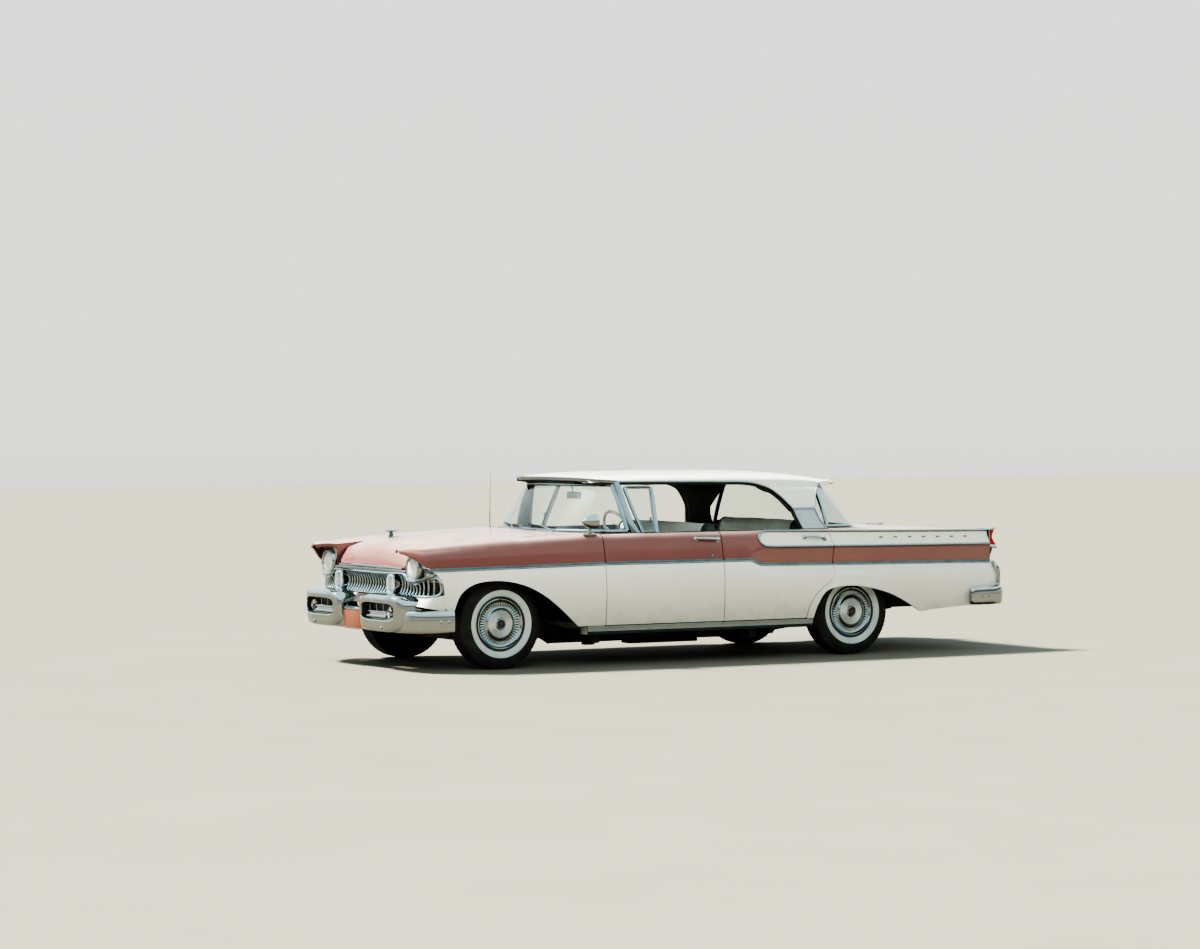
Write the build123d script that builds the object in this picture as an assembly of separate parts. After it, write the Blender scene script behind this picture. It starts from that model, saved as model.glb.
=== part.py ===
from build123d import *
import math
import os

# Four-door pillarless hardtop saloon of the late 1950s, full size, in millimetres.
# Frame: +X to the rear of the car, +Y to the car's right, +Z up. The origin is on the ground under the middle of the
# car. Lengths below are first written from the front axle line and moved to that origin by at().
# Every panel is a ruled loft through a short table of stations, or a prism of lines and arcs.

os.makedirs("parts", exist_ok=True)

# ---------------------------------------------------------------- driving dimensions
LENGTH = 5362.0          # bumper to bumper
WHEELBASE = 3099.0
FRONT_OVERHANG = 850.0
AXLE_X = FRONT_OVERHANG - LENGTH / 2   # place of the front axle from the origin
TRACK_HALF = 754.0
TYRE_R = 335.0
TYRE_HALF_W = 100.0
RIM_R = 196.0            # rim flange
COVER_R = 181.0          # wheel cover
GAP = 7.0                # shut line between panels
SKIN = 16.0              # thickness of fenders, hood and quarters
DOOR_T = 112.0           # thickness of a whole door
SILL_Z0, SILL_Z1 = 240.0, 301.0
DOOR_Z0 = 308.0
ROOF_Z = 1435.0
DRIP_Y, DRIP_Z = 672.0, 1352.0
GLASS_Z0, GLASS_Z1 = 1000.0, 1338.0
DOOR_F, DOOR_M, DOOR_R = 812.0, 1840.0, 2848.0   # centres of the three shut lines, from the front axle
HOOD_R = 520.0           # rear edge of the hood
LID_F, LID_R = 3425.0, 4395.0   # front and rear of the trunk lid
KINGPIN_Y = 640.0
STEER_TILT = 25.0        # steering column above the horizontal
STEER_C = (1280.0, -400.0, 945.0)


def at(x):
    """x measured from the front axle, in the part's own frame."""
    return x + AXLE_X


# ---------------------------------------------------------------- body side table
# columns: station x, half width, shoulder height, strip height, strip inset, band height, band inset,
#          shoulder-roll inset, shoulder-top inset, underside height
SIDE = [
    (-640, 905, 905, 755, 12, 830, 22, 45, 80, 470),
    (-450, 940, 922, 758, 14, 840, 26, 50, 88, 430),
    (-100, 972, 945, 764, 18, 850, 32, 56, 96, 300),
    (400, 988, 967, 772, 20, 860, 35, 58, 100, 240),
    (812, 995, 980, 778, 20, 865, 36, 58, 100, 240),
    (1840, 1002, 982, 780, 20, 865, 36, 58, 100, 240),
    (2150, 1002, 982, 760, 24, 860, 38, 60, 100, 240),
    (2300, 1001, 982, 742, 44, 858, 38, 72, 90, 240),
    (2848, 998, 978, 732, 50, 855, 36, 74, 86, 240),
    (3400, 988, 968, 728, 50, 852, 36, 74, 86, 330),
    (4000, 962, 956, 722, 48, 846, 36, 70, 84, 352),
    (4400, 925, 948, 715, 44, 842, 34, 66, 80, 372),
]


def side(x):
    """The side table at x, by straight interpolation."""
    for a, b in zip(SIDE, SIDE[1:]):
        if a[0] <= x <= b[0]:
            t = (x - a[0]) / (b[0] - a[0])
            return [p + (q - p) * t for p, q in zip(a, b)]
    return list(SIDE[0] if x < SIDE[0][0] else SIDE[-1])


def outer(x, z0=None):
    """Outside of the body side at x, from z0 up to the shoulder, as (y, z)."""
    _, w, zt, zs, s1, zb, s2, s3, s4, zu = side(x)
    z0 = zu if z0 is None else z0
    low = w - 14 - 24 * max(0.0, (330 - z0) / 90)
    pts = [(low, z0)]
    if z0 < 500:
        pts.append((w - 14 + 8 * 0, max(z0 + 40, 335)))
    pts += [(w, max(z0 + 80, 560)), (w - 8, 690), (w - s1, zs), (w - s2, zb), (w - s3, zt - 32), (w - s4, zt)]
    return pts


def stations(x0, x1):
    """x0, the table's own stations between, and x1."""
    return [x0] + [s[0] for s in SIDE if x0 + 25 < s[0] < x1 - 25] + [x1]


def ruled(sections):
    """Ruled loft through closed (y, z) polygons at stations x."""
    wires = [Wire.make_polygon([Vector(at(x), y, z) for y, z in pts], close=True) for x, pts in sections]
    return Solid.make_loft(wires, ruled=True)


def prism_y(pts, y0, y1):
    """Prism of a closed (x, z) polygon between y0 and y1."""
    f = Face(Wire.make_polygon([Vector(at(x), y0, z) for x, z in pts], close=True))
    return extrude(f, amount=abs(y1 - y0), dir=(0, 1 if y1 > y0 else -1, 0))


def prism_z(pts, z0, z1):
    """Prism of a closed (x, y) polygon between z0 and z1."""
    f = Face(Wire.make_polygon([Vector(at(x), y, z0) for x, y in pts], close=True))
    return extrude(f, amount=z1 - z0, dir=(0, 0, 1))


def box(x0, x1, y0, y1, z0, z1):
    """Block between two corners, x from the front axle."""
    return Pos(at((x0 + x1) / 2), (y0 + y1) / 2, (z0 + z1) / 2) * Box(abs(x1 - x0), abs(y1 - y0), abs(z1 - z0))


def rod(a, b, r):
    """Round bar from a to b, x from the front axle."""
    a = Vector(at(a[0]), a[1], a[2])
    b = Vector(at(b[0]), b[1], b[2])
    d = b - a
    return Solid.make_cylinder(r, d.length, Plane(origin=a, z_dir=d))


def right_left(s):
    """The piece and its mirror image across the car, as two solids."""
    return Compound(children=[*s.solids(), *mirror(s, about=Plane.XZ).solids()])


def one(s):
    """The single solid of a boolean result."""
    got = s.solids() if hasattr(s, "solids") else [s]
    got = sorted(got, key=lambda q: -q.volume)
    if len(got) > 1 and got[1].volume > 500:
        print("  note: extra solid dropped", [round(g.volume) for g in got])
    return got[0]


written = []


def save(name, shape):
    export_step(shape, f"parts/{name}.step")
    written.append(name)


# ---------------------------------------------------------------- wheel arches, lines and arcs in (x, z)
def arch(points, y0, y1):
    """Prism of an arch outline: points are joined by three-point arcs, two spans at a time, and closed below."""
    v = [Vector(at(x), y0, z) for x, z in points]
    edges = [Edge.make_three_point_arc(v[i], v[i + 1], v[i + 2]) for i in range(0, len(v) - 2, 2)]
    low = [v[-1], Vector(v[-1].X, y0, -60), Vector(v[0].X, y0, -60), v[0]]
    edges += [Edge.make_line(a, b) for a, b in zip(low, low[1:])]
    return extrude(Face(Wire(edges)), amount=y1 - y0, dir=(0, 1, 0))


FRONT_ARCH = [(-462, 250), (-452, 380), (-432, 475), (-385, 572), (-283, 638), (-90, 659), (120, 621), (301, 532), (464, 404), (560, 318), (655, 226)]
REAR_ARCH = [(2640, 232), (2652, 335), (2686, 420), (2760, 512), (2998, 546), (3310, 489), (3480, 420), (3616, 345), (3760, 250)]

# shut line behind the rear door, from the shoulder down
REAR_SHUT = [(2848, 1010), (2850, 864), (2836, 640), (2786, 580), (2660, 478), (2592, 330), (2586, 296)]

# ---------------------------------------------------------------- front fenders
def fender_top(x):
    """Inner edge of the fender, at the hood's seam, as (y, z)."""
    t = (x + 640) / (HOOD_R + 640)
    t = max(0.0, min(1.0, t))
    return 588 + 84 * t, 893 + 90 * t


def fender_section(x, z0=None):
    o = outer(x, z0)
    ys, zs = fender_top(x)
    zt = o[-1][1]
    top = [((o[-1][0] + ys) / 2, (zt + zs) / 2 + 6), (ys + GAP / 2, zs)]
    inner = [(ys + GAP / 2, zs - SKIN), ((o[-1][0] + ys) / 2, (zt + zs) / 2 + 6 - SKIN), (o[-1][0] - 4, zt - SKIN)]
    inner += [(y - SKIN, z - (6 if z > 850 else 0)) for y, z in reversed(o[:-1])]
    return o + top + inner


fend = ruled([(x, fender_section(x, side(x)[9] if x < 390 else 306)) for x in sorted(stations(-640, DOOR_F - GAP / 2) + [HOOD_R])])
fend = fend - arch(FRONT_ARCH, 800, 1100) - box(-700, -506, 560, 1100, 440, 726)
# brow over the lamp, and the lamp's panel
brow = ruled([
    (-632, [(880, 800), (893, 850), (862, 880), (800, 905), (700, 915), (600, 893), (600, 878), (700, 897), (800, 887), (845, 862), (868, 810)]),
    (-785, [(806, 862), (806, 872), (796, 882), (774, 892), (740, 896), (700, 890), (700, 882), (740, 886), (770, 880), (788, 870), (796, 858)]),
])
lamp_panel = box(-632, -612, 598, 893, 727, 884) - rod((-700, 705, 752), (-560, 705, 752), 97)
fend = one(fend + brow + lamp_panel)
save("front_fenders", right_left(fend))

# ---------------------------------------------------------------- inner fenders: aprons that carry the front fenders
apron = prism_y([(-540, 470), (-540, 770), (-300, 870), (630, 890), (630, 470), (430, 470), (330, 640), (150, 735), (-150, 735), (-330, 640), (-430, 470)], 440, 456)
apron = apron + prism_y([(-500, 470), (-430, 470), (-330, 640), (-150, 735), (150, 735), (330, 640), (430, 470), (630, 470), (630, 486), (440, 486), (340, 652), (156, 751), (-156, 751), (-340, 652), (-440, 486), (-500, 486)], 456, 880)
save("inner_fenders", right_left(one(apron)))

# ---------------------------------------------------------------- cowl, firewall and toe board
cowl = box(640, 660, -870, 870, 336, 930)
cowl = cowl + ruled([(HOOD_R + GAP, [(-668, 978), (-350, 990), (0, 996), (350, 990), (668, 978), (668, 918), (0, 930), (-668, 918)]),
                     (800, [(-668, 984), (-350, 992), (0, 996), (350, 992), (668, 984), (668, 930), (0, 930), (-668, 930)])])
cowl = cowl - box(600, 700, -140, 140, 300, 470)
for k in (-1, 1):
    cowl = cowl + box(640, 806, k * 850, k * 868, 306, 935)
    cowl = cowl + box(700, 806, k * 868, k * 955, 312, 690)
save("cowl_and_firewall", one(cowl))

# ---------------------------------------------------------------- hood
HOOD = [  # x, half width, edge height, mid height, crown height, skin depth
    (-655, 520, 742, 762, 770, 30),
    (-620, 560, 800, 836, 852, 60),
    (-560, 583, 858, 906, 926, 46),
    (-460, 592, 896, 944, 962, 28),
    (-250, 607, 918, 958, 974, 20),
    (100, 634, 948, 976, 988, 18),
    (HOOD_R, 668, 983, 998, 1004, 18),
]


def hood_section(hw, ze, zm, zc, t):
    up = [(-hw, ze), (-hw * 0.55, zm), (-hw * 0.2, zc), (hw * 0.2, zc), (hw * 0.55, zm), (hw, ze)]
    return up + [(y, z - t) for y, z in reversed(up)]


hood = ruled([(x, hood_section(*r)) for x, *r in HOOD])
save("hood", hood)

# ---------------------------------------------------------------- front end
lamps = Compound(children=[s for k in (-1, 1) for s in (rod((-668, k * 705, 752), (-560, k * 705, 752), 92)).solids()])
save("headlights", lamps)

grille_plan = [(-652, 0), (-652, 560), (-632, 760), (-590, 875), (-540, 922), (-512, 926), (-512, 890), (-560, 800), (-590, 560), (-590, 0)]
gr = prism_z(grille_plan, 548, 656) + prism_z([(-652, 0), (-652, 556), (-600, 556), (-600, 0)], 650, 706)
gr = gr - prism_z([(-700, 0), (-700, 548), (-615, 548), (-615, 0)], 572, 684)
gr = gr - prism_z([(-700, 560), (-700, 960), (-500, 960), (-520, 905), (-575, 850), (-606, 740), (-615, 560)], 572, 632)
gr = gr + mirror(gr, about=Plane.XZ)
save("grille", one(gr))

apron_f = box(-560, -545, -820, 820, 330, 545)
for k in (-1, 1):
    apron_f = apron_f - box(-600, -500, k * 335, k * 435, 320, 446)
save("radiator_and_support", one(apron_f + box(-546, -440, -325, 325, 360, 790)))

# front bumper: bar with wings, and two nose pods with an air slot each
bar_plan = [(-800, 0), (-800, 650), (-760, 800), (-660, 925), (-470, 992), (-452, 992), (-452, 968), (-470, 960), (-640, 890), (-715, 780), (-745, 640), (-745, 0)]
bar = prism_z(bar_plan, 282, 448)
pod = ruled([(-850, [(210, 372), (190, 420), (205, 520), (240, 548), (690, 556), (720, 540), (740, 400), (720, 372)]),
             (-690, [(170, 372), (160, 420), (170, 530), (215, 560), (735, 568), (772, 550), (800, 400), (780, 372)])])
pod = pod - box(-900, -800, 255, 690, 398, 488) - box(-832, -600, 196, 745, 384, 540)
bump = bar + pod
bump = bump + mirror(bump, about=Plane.XZ)
for k in (-1, 1):
    bump = bump + box(-750, -634, k * 360, k * 410, 345, 425)
save("front_bumper", one(bump))

# ---------------------------------------------------------------- doors
def door_section(x):
    o = outer(x, DOOR_Z0)
    w = side(x)[1]
    zt = o[-1][1]
    return o + [(w - DOOR_T, zt - 4), (w - DOOR_T, DOOR_Z0)]


fdoor = ruled([(x, door_section(x)) for x in stations(DOOR_F + GAP / 2, DOOR_M - GAP / 2)])
fdoor = fdoor - prism_z([(DOOR_M - GAP / 2, 985), (DOOR_M + 20, 985), (DOOR_M + 20, 860), (DOOR_M - GAP / 2 - 30, 860)], 280, 1010)
rdoor = ruled([(x, door_section(x)) for x in stations(DOOR_M + GAP / 2, DOOR_R + 20)])


def shut(shift, y0, y1):
    """Everything behind the rear door's shut line, moved forward by shift."""
    pts = [(x - shift, z) for x, z in REAR_SHUT]
    return prism_y(pts + [(pts[-1][0], 200), (3200, 200), (3200, 1010)], y0, y1)


rdoor = rdoor - shut(0, 968, 1080) - shut(14, 930, 980) - shut(28, 850, 950)
# the flat under the window, hollow between the skins where the glass drops
for d, x0, x1, name in ((fdoor, 1300, 1790, "front_door"), (rdoor, 1900, 2560, "rear_door")):
    d = d - box(x0, x1, 902, 922, 420, 1100)
    d = one(d)
    save(name + "_right", d)
    save(name + "_left", one(mirror(d, about=Plane.XZ)))

# vent window of each front door: frame bars and pane, leaning in with the side glass
LEAN = math.atan((886 - 690) / (1345 - 978))   # side glass from the vertical
up = 1 / math.cos(LEAN)


def side_glass(points, y0, y1):
    """Prism of an (x, z) outline that leans in with the side glass, between y0 and y1 of its own depth."""
    flat = prism_y([(x, (z - 978) * up) for x, z in points], y0, y1)
    return Pos(0, 886, 978) * Rot(math.degrees(LEAN), 0, 0) * flat


VENT_IN = [(1216, 1000), (1282, 1000), (1334, 1306), (1156, 1306)]
vent = side_glass([(1194, 960), (1306, 960), (1362, 1322), (1132, 1322)], -12, 2)
vent = vent - side_glass(VENT_IN, -20, -8) - side_glass(VENT_IN, -3, 10)
vent = one(vent - box(1000, 1500, 800, 1000, 900, 988))
save("vent_window_right", vent)
save("vent_window_left", one(mirror(vent, about=Plane.XZ)))

# ---------------------------------------------------------------- sills and centre posts
sill = ruled([(x, [(side(x)[1] - 46, SILL_Z0), (side(x)[1] - 30, SILL_Z0 + 12), (side(x)[1] - 12, SILL_Z1), (side(x)[1] - 130, SILL_Z1), (side(x)[1] - 130, SILL_Z0)]) for x in stations(662, 2628)])
post = box(DOOR_M - 42, DOOR_M + 42, 812, 876, 290, 900)
save("sills_and_centre_posts", right_left(one(sill + post)))

# ---------------------------------------------------------------- quarter panels
def lid_seam(x):
    """The trunk lid's side seam, as (y, z)."""
    t = max(0.0, min(1.0, (x - LID_F) / (LID_R - LID_F)))
    return 640 - 30 * t, 962 - 30 * t


INNER_EDGE = [(2575, 836), (2860, 836), (3010, 822), (3160, 745), (3280, 655), (LID_F, 640 + GAP), (LID_R, 610 + GAP)]


def quarter_section(x):
    o = outer(x, 306 if x <= 2700 else side(x)[9])
    zt = o[-1][1]
    yi = next(p[1] + (q[1] - p[1]) * (x - p[0]) / (q[0] - p[0]) for p, q in zip(INNER_EDGE, INNER_EDGE[1:]) if x <= q[0])
    zi = zt + 4 if x < 3000 else lid_seam(x)[1] + 2
    top = [((o[-1][0] + yi) / 2, (zt + zi) / 2), (yi, zi)]
    inner = [(yi, zi - SKIN), ((o[-1][0] + yi) / 2, (zt + zi) / 2 - SKIN), (o[-1][0] - 10, zt - SKIN)]
    inner += [(y - SKIN, z - (6 if z > 850 else 0)) for y, z in reversed(o[:-1])]
    return o + top + inner


quarter = ruled([(x, quarter_section(x)) for x in (2575, 2700, 2860, 3010, 3160, 3280, LID_F, 3700, 4000, LID_R)])
quarter = quarter - arch(REAR_ARCH, 780, 1100) - prism_y([(x + GAP, z) for x, z in REAR_SHUT] + [(2000, 296), (2000, 1010)], 879, 1100)
# tail: closes the quarter behind, under the fin lamp
tail = prism_y([(4375, 372), (4395, 372), (4442, 505), (4448, 560), (4440, 640), (4390, 712), (4370, 712), (4405, 640), (4412, 520)], 632, 878)
fin_back = box(4379, 4395, 626, 872, 700, 930) + box(4375, 4395, 860, 912, 376, 712)
quarter = one(quarter + tail + fin_back)
rear_panel = prism_y([(4375, 372), (4395, 372), (4442, 505), (4448, 560), (4446, 612), (4420, 612), (4412, 520)], -640, 640)
for k in (-1, 1):
    rear_panel = rear_panel - box(4300, 4500, k * 350, k * 420, 366, 426)

# tail lamps: V-shaped, at the ends of the fins
fin_lamp = prism_y([(4402, 946), (4452, 950), (4424, 884), (4470, 822), (4402, 826)], 700, 868)
save("tail_lights", right_left(one(fin_lamp)))

# ---------------------------------------------------------------- trunk lid
LID = [  # x, half width, edge height, crown height, skin depth
    (LID_F, 640, 962, 985, 20),
    (3800, 628, 952, 974, 20),
    (4200, 616, 940, 958, 22),
    (4340, 612, 934, 946, 26),
]


def lid_section(hw, ze, zc, t):
    up = [(-hw, ze), (-hw * 0.5, (ze + 2 * zc) / 3), (0, zc), (hw * 0.5, (ze + 2 * zc) / 3), (hw, ze)]
    return up + [(y, z - t) for y, z in reversed(up)]


lid = ruled([(x, lid_section(*r)) for x, *r in LID])
lid = lid + prism_y([(4336, 908), (4340, 940), (4395, 925), (4400, 850), (4412, 720), (4450, 650), (4450, 622), (4430, 622), (4392, 715), (4378, 850), (4372, 905)], -608, 608)
save("trunk_lid", one(lid))

# panel between the rear window and the lid, and the parcel shelf under the glass
RW_LOW = [(3330, 0), (3318, 330), (3270, 560), (3170, 720), (3020, 806), (2880, 826)]
RW_TOP = [(3095, 0), (3086, 240), (3050, 420), (2990, 560), (2925, 632), (2868, 655)]
under_glass = [(x + 5, y + 2) for x, y in RW_LOW]
hole = prism_z([(2800, 0)] + under_glass + [(2800, 828)], 900, 1100)
deck = ruled([(3200, [(-648, 966), (-400, 985), (0, 997), (400, 985), (648, 966), (648, 950), (0, 980), (-648, 950)]),
              (LID_F - GAP, [(-640, 963), (-400, 978), (0, 988), (400, 978), (640, 963), (640, 947), (0, 970), (-640, 947)])])
deck = deck - hole - mirror(hole, about=Plane.XZ)
half = [(2905, 0)] + [(x - 12, y - (14 if y else 0)) for x, y in RW_LOW[:5]] + [(2905, 806)]
shelf = prism_z(half, 926, 942)
shelf = shelf + mirror(shelf, about=Plane.XZ)
bulkhead = prism_y([(2972, 590), (2988, 590), (2925, 930), (2905, 930)], -590, 590)
save("parcel_shelf", one(shelf + bulkhead))
rear_body = quarter + rear_panel + mirror(quarter, about=Plane.XZ)
for k in (-1, 1):   # gutter that ties the deck to the quarters
    deck = deck + box(3290, 3412, k * 630, k * 655, 944, 952)
rear_body = rear_body + deck
print("  rear body solids", [round(q.volume) for q in rear_body.solids()])
save("quarter_panels_and_deck", one(rear_body))

# ---------------------------------------------------------------- windscreen posts, glass, roof
def plan(points, z):
    """Closed (x, y) outline at z, half table mirrored across the car."""
    return Wire.make_polygon([Vector(at(x), y, z) for x, y in points], close=True)


def band(lower, upper, t, z0, z1):
    """Ruled sheet of thickness t between a lower and an upper half plan curve, from the middle out."""
    def loop(half, s):
        inn = [(x + s * t, max(0.0, y - (t * 0.9 if i else 0))) for i, (x, y) in enumerate(half)]
        full = [(x, -y) for x, y in reversed(half[1:])] + half
        back = [(x, -y) for x, y in reversed(inn[1:])] + inn
        return full + back[::-1]
    s = 1 if lower[-1][0] > lower[0][0] else -1
    return Solid.make_loft([plan(loop(lower, s), z0), plan(loop(upper, s), z1)], ruled=True)


WS_LOW = [(668, 0), (690, 300), (748, 520), (858, 716), (1000, 826), (1070, 850)]
WS_TOP = [(918, 0), (928, 240), (950, 420), (985, 540), (1028, 620), (1050, 650)]
save("windshield_glass", band(WS_LOW, WS_TOP, 7, GLASS_Z0, GLASS_Z1))

save("rear_window_glass", band(RW_LOW, RW_TOP, 7, GLASS_Z0, 1306))

post_a = Solid.make_loft([
    Wire.make_polygon([Vector(at(x), y, 962) for x, y in [(1084, 868), (1180, 868), (1176, 812), (1088, 812)]], close=True),
    Wire.make_polygon([Vector(at(x), y, 1358) for x, y in [(1062, 690), (1112, 690), (1108, 640), (1066, 640)]], close=True)], ruled=True)
knee = box(815, 1100, 730, 868, 950, 984)
post_a = one(post_a + knee)

ROOF = [  # x, half width, rail height, shoulder height, crown height
    (900, 560, 1372, 1384, 1392),
    (1000, 640, 1360, 1396, 1412),
    (1250, 672, 1353, 1404, 1430),
    (1900, 676, 1352, 1406, ROOF_Z),
    (2500, 674, 1350, 1396, 1425),
    (2900, 668, 1334, 1368, 1392),
    (3110, 560, 1340, 1352, 1362),
]


def roof_section(hw, zr, zs, zc):
    up = [(-hw, zr), (-hw + 22, (zr + zs) / 2 + 4), (-hw * 0.84, zs), (-hw * 0.45, zc - 6), (0, zc), (hw * 0.45, zc - 6), (hw * 0.84, zs), (hw - 22, (zr + zs) / 2 + 4), (hw, zr)]
    down = [(y * 0.93, z - 26 if abs(y) < hw * 0.8 else z - 8 - 0.5 * (z - zr)) for y, z in reversed(up)]
    down[0] = (hw - 40, zr - 6)
    down[-1] = (-hw + 40, zr - 6)
    return up + down


roof = ruled([(x, roof_section(*r)) for x, *r in ROOF])
# quarter pillars: wide at the roof, waisted at the band, wider at the belt
PILLAR = [(985, 2640, 2856, 856, 806), (1140, 2582, 2788, 784, 736), (1366, 2430, 2895, 655, 604)]   # height, front, rear, outside, inside
pil = Solid.make_loft([Wire.make_polygon([Vector(at(a), y1, z), Vector(at(b), y1, z), Vector(at(b - 8), y0, z), Vector(at(a + 8), y0, z)], close=True) for z, a, b, y1, y0 in PILLAR], ruled=True)
print("  roof shell", round(roof.volume), "pillar", round(pil.volume))
header = box(905, 990, -545, 545, 1343, 1380)
for extra in (pil, mirror(pil, about=Plane.XZ), header, post_a, mirror(post_a, about=Plane.XZ)):
    roof = roof + extra
    print("  roof", round(roof.volume), len(roof.solids()))
save("roof_and_pillars", one(roof))

# ---------------------------------------------------------------- floor, frame and running gear
floor = prism_y([(664, 330), (960, 252), (2560, 252), (2560, 236), (955, 236), (664, 314)], -848, 848)
floor = floor - prism_z([(640, 139), (1200, 109), (2640, 109), (2640, -109), (1200, -109), (640, -139)], 200, 345)
tunnel = ruled([(700, [(-150, 250), (-120, 420), (120, 420), (150, 250), (138, 250), (110, 408), (-110, 408), (-138, 250)]),
                (1200, [(-120, 250), (-90, 350), (90, 350), (120, 250), (108, 250), (80, 338), (-80, 338), (-108, 250)]),
                (2700, [(-120, 250), (-90, 400), (90, 400), (120, 250), (108, 250), (80, 388), (-80, 388), (-108, 250)])])
kick = prism_y([(2540, 236), (2600, 236), (2740, 460), (2960, 560), (3260, 560), (3460, 440), (4370, 440), (4370, 456), (3465, 456), (3265, 576), (2955, 576), (2730, 474), (2592, 252), (2540, 252)], -606, 606)
kick = kick - prism_y([(2500, 200), (2500, 390), (2697, 390), (2697, 200)], -109, 109)
trunk_floor = box(3540, 4370, -800, 800, 440, 456)
house_roof = [(2705, 400), (2740, 560), (2860, 690), (3000, 738), (3200, 738), (3340, 690), (3460, 560), (3560, 440)]
houses = None
for k in (-1, 1):
    shell = prism_y(house_roof + [(x * 0.985 + 46, z - 14) for x, z in reversed(house_roof)], k * 606, k * 872)
    wall = prism_y([(2740, 470), (2760, 560), (2868, 680), (3005, 726), (3195, 726), (3332, 680), (3446, 560), (3520, 456)], k * 594, k * 607)
    houses = shell + wall if houses is None else houses + shell + wall
floor_pan = floor + tunnel + kick + trunk_floor + houses
print("  floor solids", [round(q.volume) for q in floor_pan.solids()])
save("floor_pan", one(floor_pan))

rail = prism_y([(-630, 345), (-630, 430), (-300, 430), (250, 400), (640, 300), (740, 222), (2590, 222), (2745, 430), (2950, 500), (3250, 500), (3480, 400), (4340, 400),
                (4340, 330), (3500, 330), (3240, 425), (2980, 425), (2810, 380), (2640, 160), (700, 160), (600, 230), (240, 320), (-300, 345)], 350, 420)
frame = rail + mirror(rail, about=Plane.XZ)
for x0, x1, z0, z1, hw in ((-625, -575, 350, 425, 420), (-90, 90, 300, 340, 420), (-90, 90, 190, 305, 330), (1120, 1190, 204, 222, 420), (2300, 2360, 204, 222, 420), (3520, 3570, 345, 395, 420), (4285, 4335, 340, 395, 420)):
    frame = frame + box(x0, x1, -hw, hw, z0, z1)
for k in (-1, 1):
    for x0 in (770, 2150):
        frame = frame + box(x0, x0 + 60, k * 400, k * 846, 168, 230) + box(x0 - 10, x0 + 70, k * 700, k * 760, 150, 175)
save("frame", one(frame))

engine = box(-330, 420, -260, 260, 346, 800) + prism_y([(420, 430), (1100, 300), (1100, 232), (420, 240)], -86, 86)
save("engine_and_driveline", Compound(children=[one(engine), rod((1110, 0, 285), (2930, 0, 315), 38)]))

axle = rod((WHEELBASE, -655, TYRE_R), (WHEELBASE, 655, TYRE_R), 42) + Pos(at(WHEELBASE), 0, TYRE_R) * Sphere(148) + rod((2935, 0, 316), (3060, 0, 330), 60)
axle = axle & box(2900, 3300, -700, 700, 165, 415)
save("rear_axle", one(axle))
leaf = prism_y([(2440, 196), (2470, 184), (3099, 256), (3660, 330), (3700, 360), (3700, 436), (3676, 436), (3672, 366), (3640, 352), (3099, 288), (2470, 212), (2440, 222)], 500, 560) + box(3040, 3160, 495, 565, 246, 262)
save("leaf_springs", right_left(one(leaf)))

arm_lo = prism_z([(-170, 350), (-150, 350), (-28, 605), (28, 605), (150, 350), (170, 350), (50, 632), (-50, 632)], 205, 232) + box(-45, 45, 560, 634, 205, 232)
arm_lo = arm_lo + box(-176, 176, 338, 358, 200, 236)
arm_up = prism_z([(-110, 425), (-92, 425), (-22, 600), (22, 600), (92, 425), (110, 425), (40, 634), (-40, 634)], 455, 475) + box(-116, 116, 420, 436, 448, 480)
save("control_arms", Compound(children=[*one(arm_lo).solids(), *one(arm_up).solids(), *mirror(one(arm_lo), about=Plane.XZ).solids(), *mirror(one(arm_up), about=Plane.XZ).solids()]))

pipe = rod((340, 300, 372), (700, 300, 165), 26) + Pos(at(700), 300, 165) * Sphere(28) + rod((700, 300, 165), (2560, 300, 165), 26) + box(1400, 2000, 200, 335, 116, 196)
save("exhaust", right_left(one(pipe)))
save("fuel_tank", box(3600, 4250, -330, 330, 250, 430))

# ---------------------------------------------------------------- cabin
dash = prism_y([(800, 760), (800, 948), (960, 948), (1010, 900), (985, 770), (900, 740)], -800, 800)
ca, sa = math.cos(math.radians(STEER_TILT)), math.sin(math.radians(STEER_TILT))
sx, sy, sz = STEER_C
column = rod((sx - 560 * ca, sy, sz - 560 * sa), (sx - 68 * ca, sy, sz - 68 * sa), 26)
save("dashboard_and_column", one(dash + column))


def bench(points, hw):
    """Bench seat across the cabin: the outline of its cushion and backrest, in (x, z)."""
    return prism_y(points, -hw, hw)


save("front_seat", bench([(1395, 380), (1380, 540), (1410, 580), (1790, 550), (1870, 985), (1895, 1003), (1960, 1000), (1985, 960), (1975, 560), (1900, 380)], 690))
save("rear_seat", bench([(2270, 420), (2255, 550), (2285, 590), (2670, 560), (2745, 995), (2770, 1012), (2830, 1006), (2850, 960), (2850, 600), (2715, 500), (2620, 420)], 590))

# ---------------------------------------------------------------- rear bumper
rb = prism_z([(4512, 0), (4512, 600), (4500, 780), (4470, 880), (4420, 950), (4330, 985), (4200, 998), (4150, 1000),
              (4150, 977), (4200, 974), (4330, 960), (4406, 933), (4452, 870), (4464, 780), (4470, 600), (4470, 0)], 372, 500)
rb = rb + mirror(rb, about=Plane.XZ)
for k in (-1, 1):
    rb = rb + box(4344, 4475, k * 355, k * 415, 375, 420)
save("rear_bumper", one(rb))

# ---------------------------------------------------------------- wheels, knuckles, steering wheel
def disc(r, y0, y1, x, z=TYRE_R):
    """Disc on the wheel's axis between y0 and y1."""
    return rod((x, y0, z), (x, y1, z), r)


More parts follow.
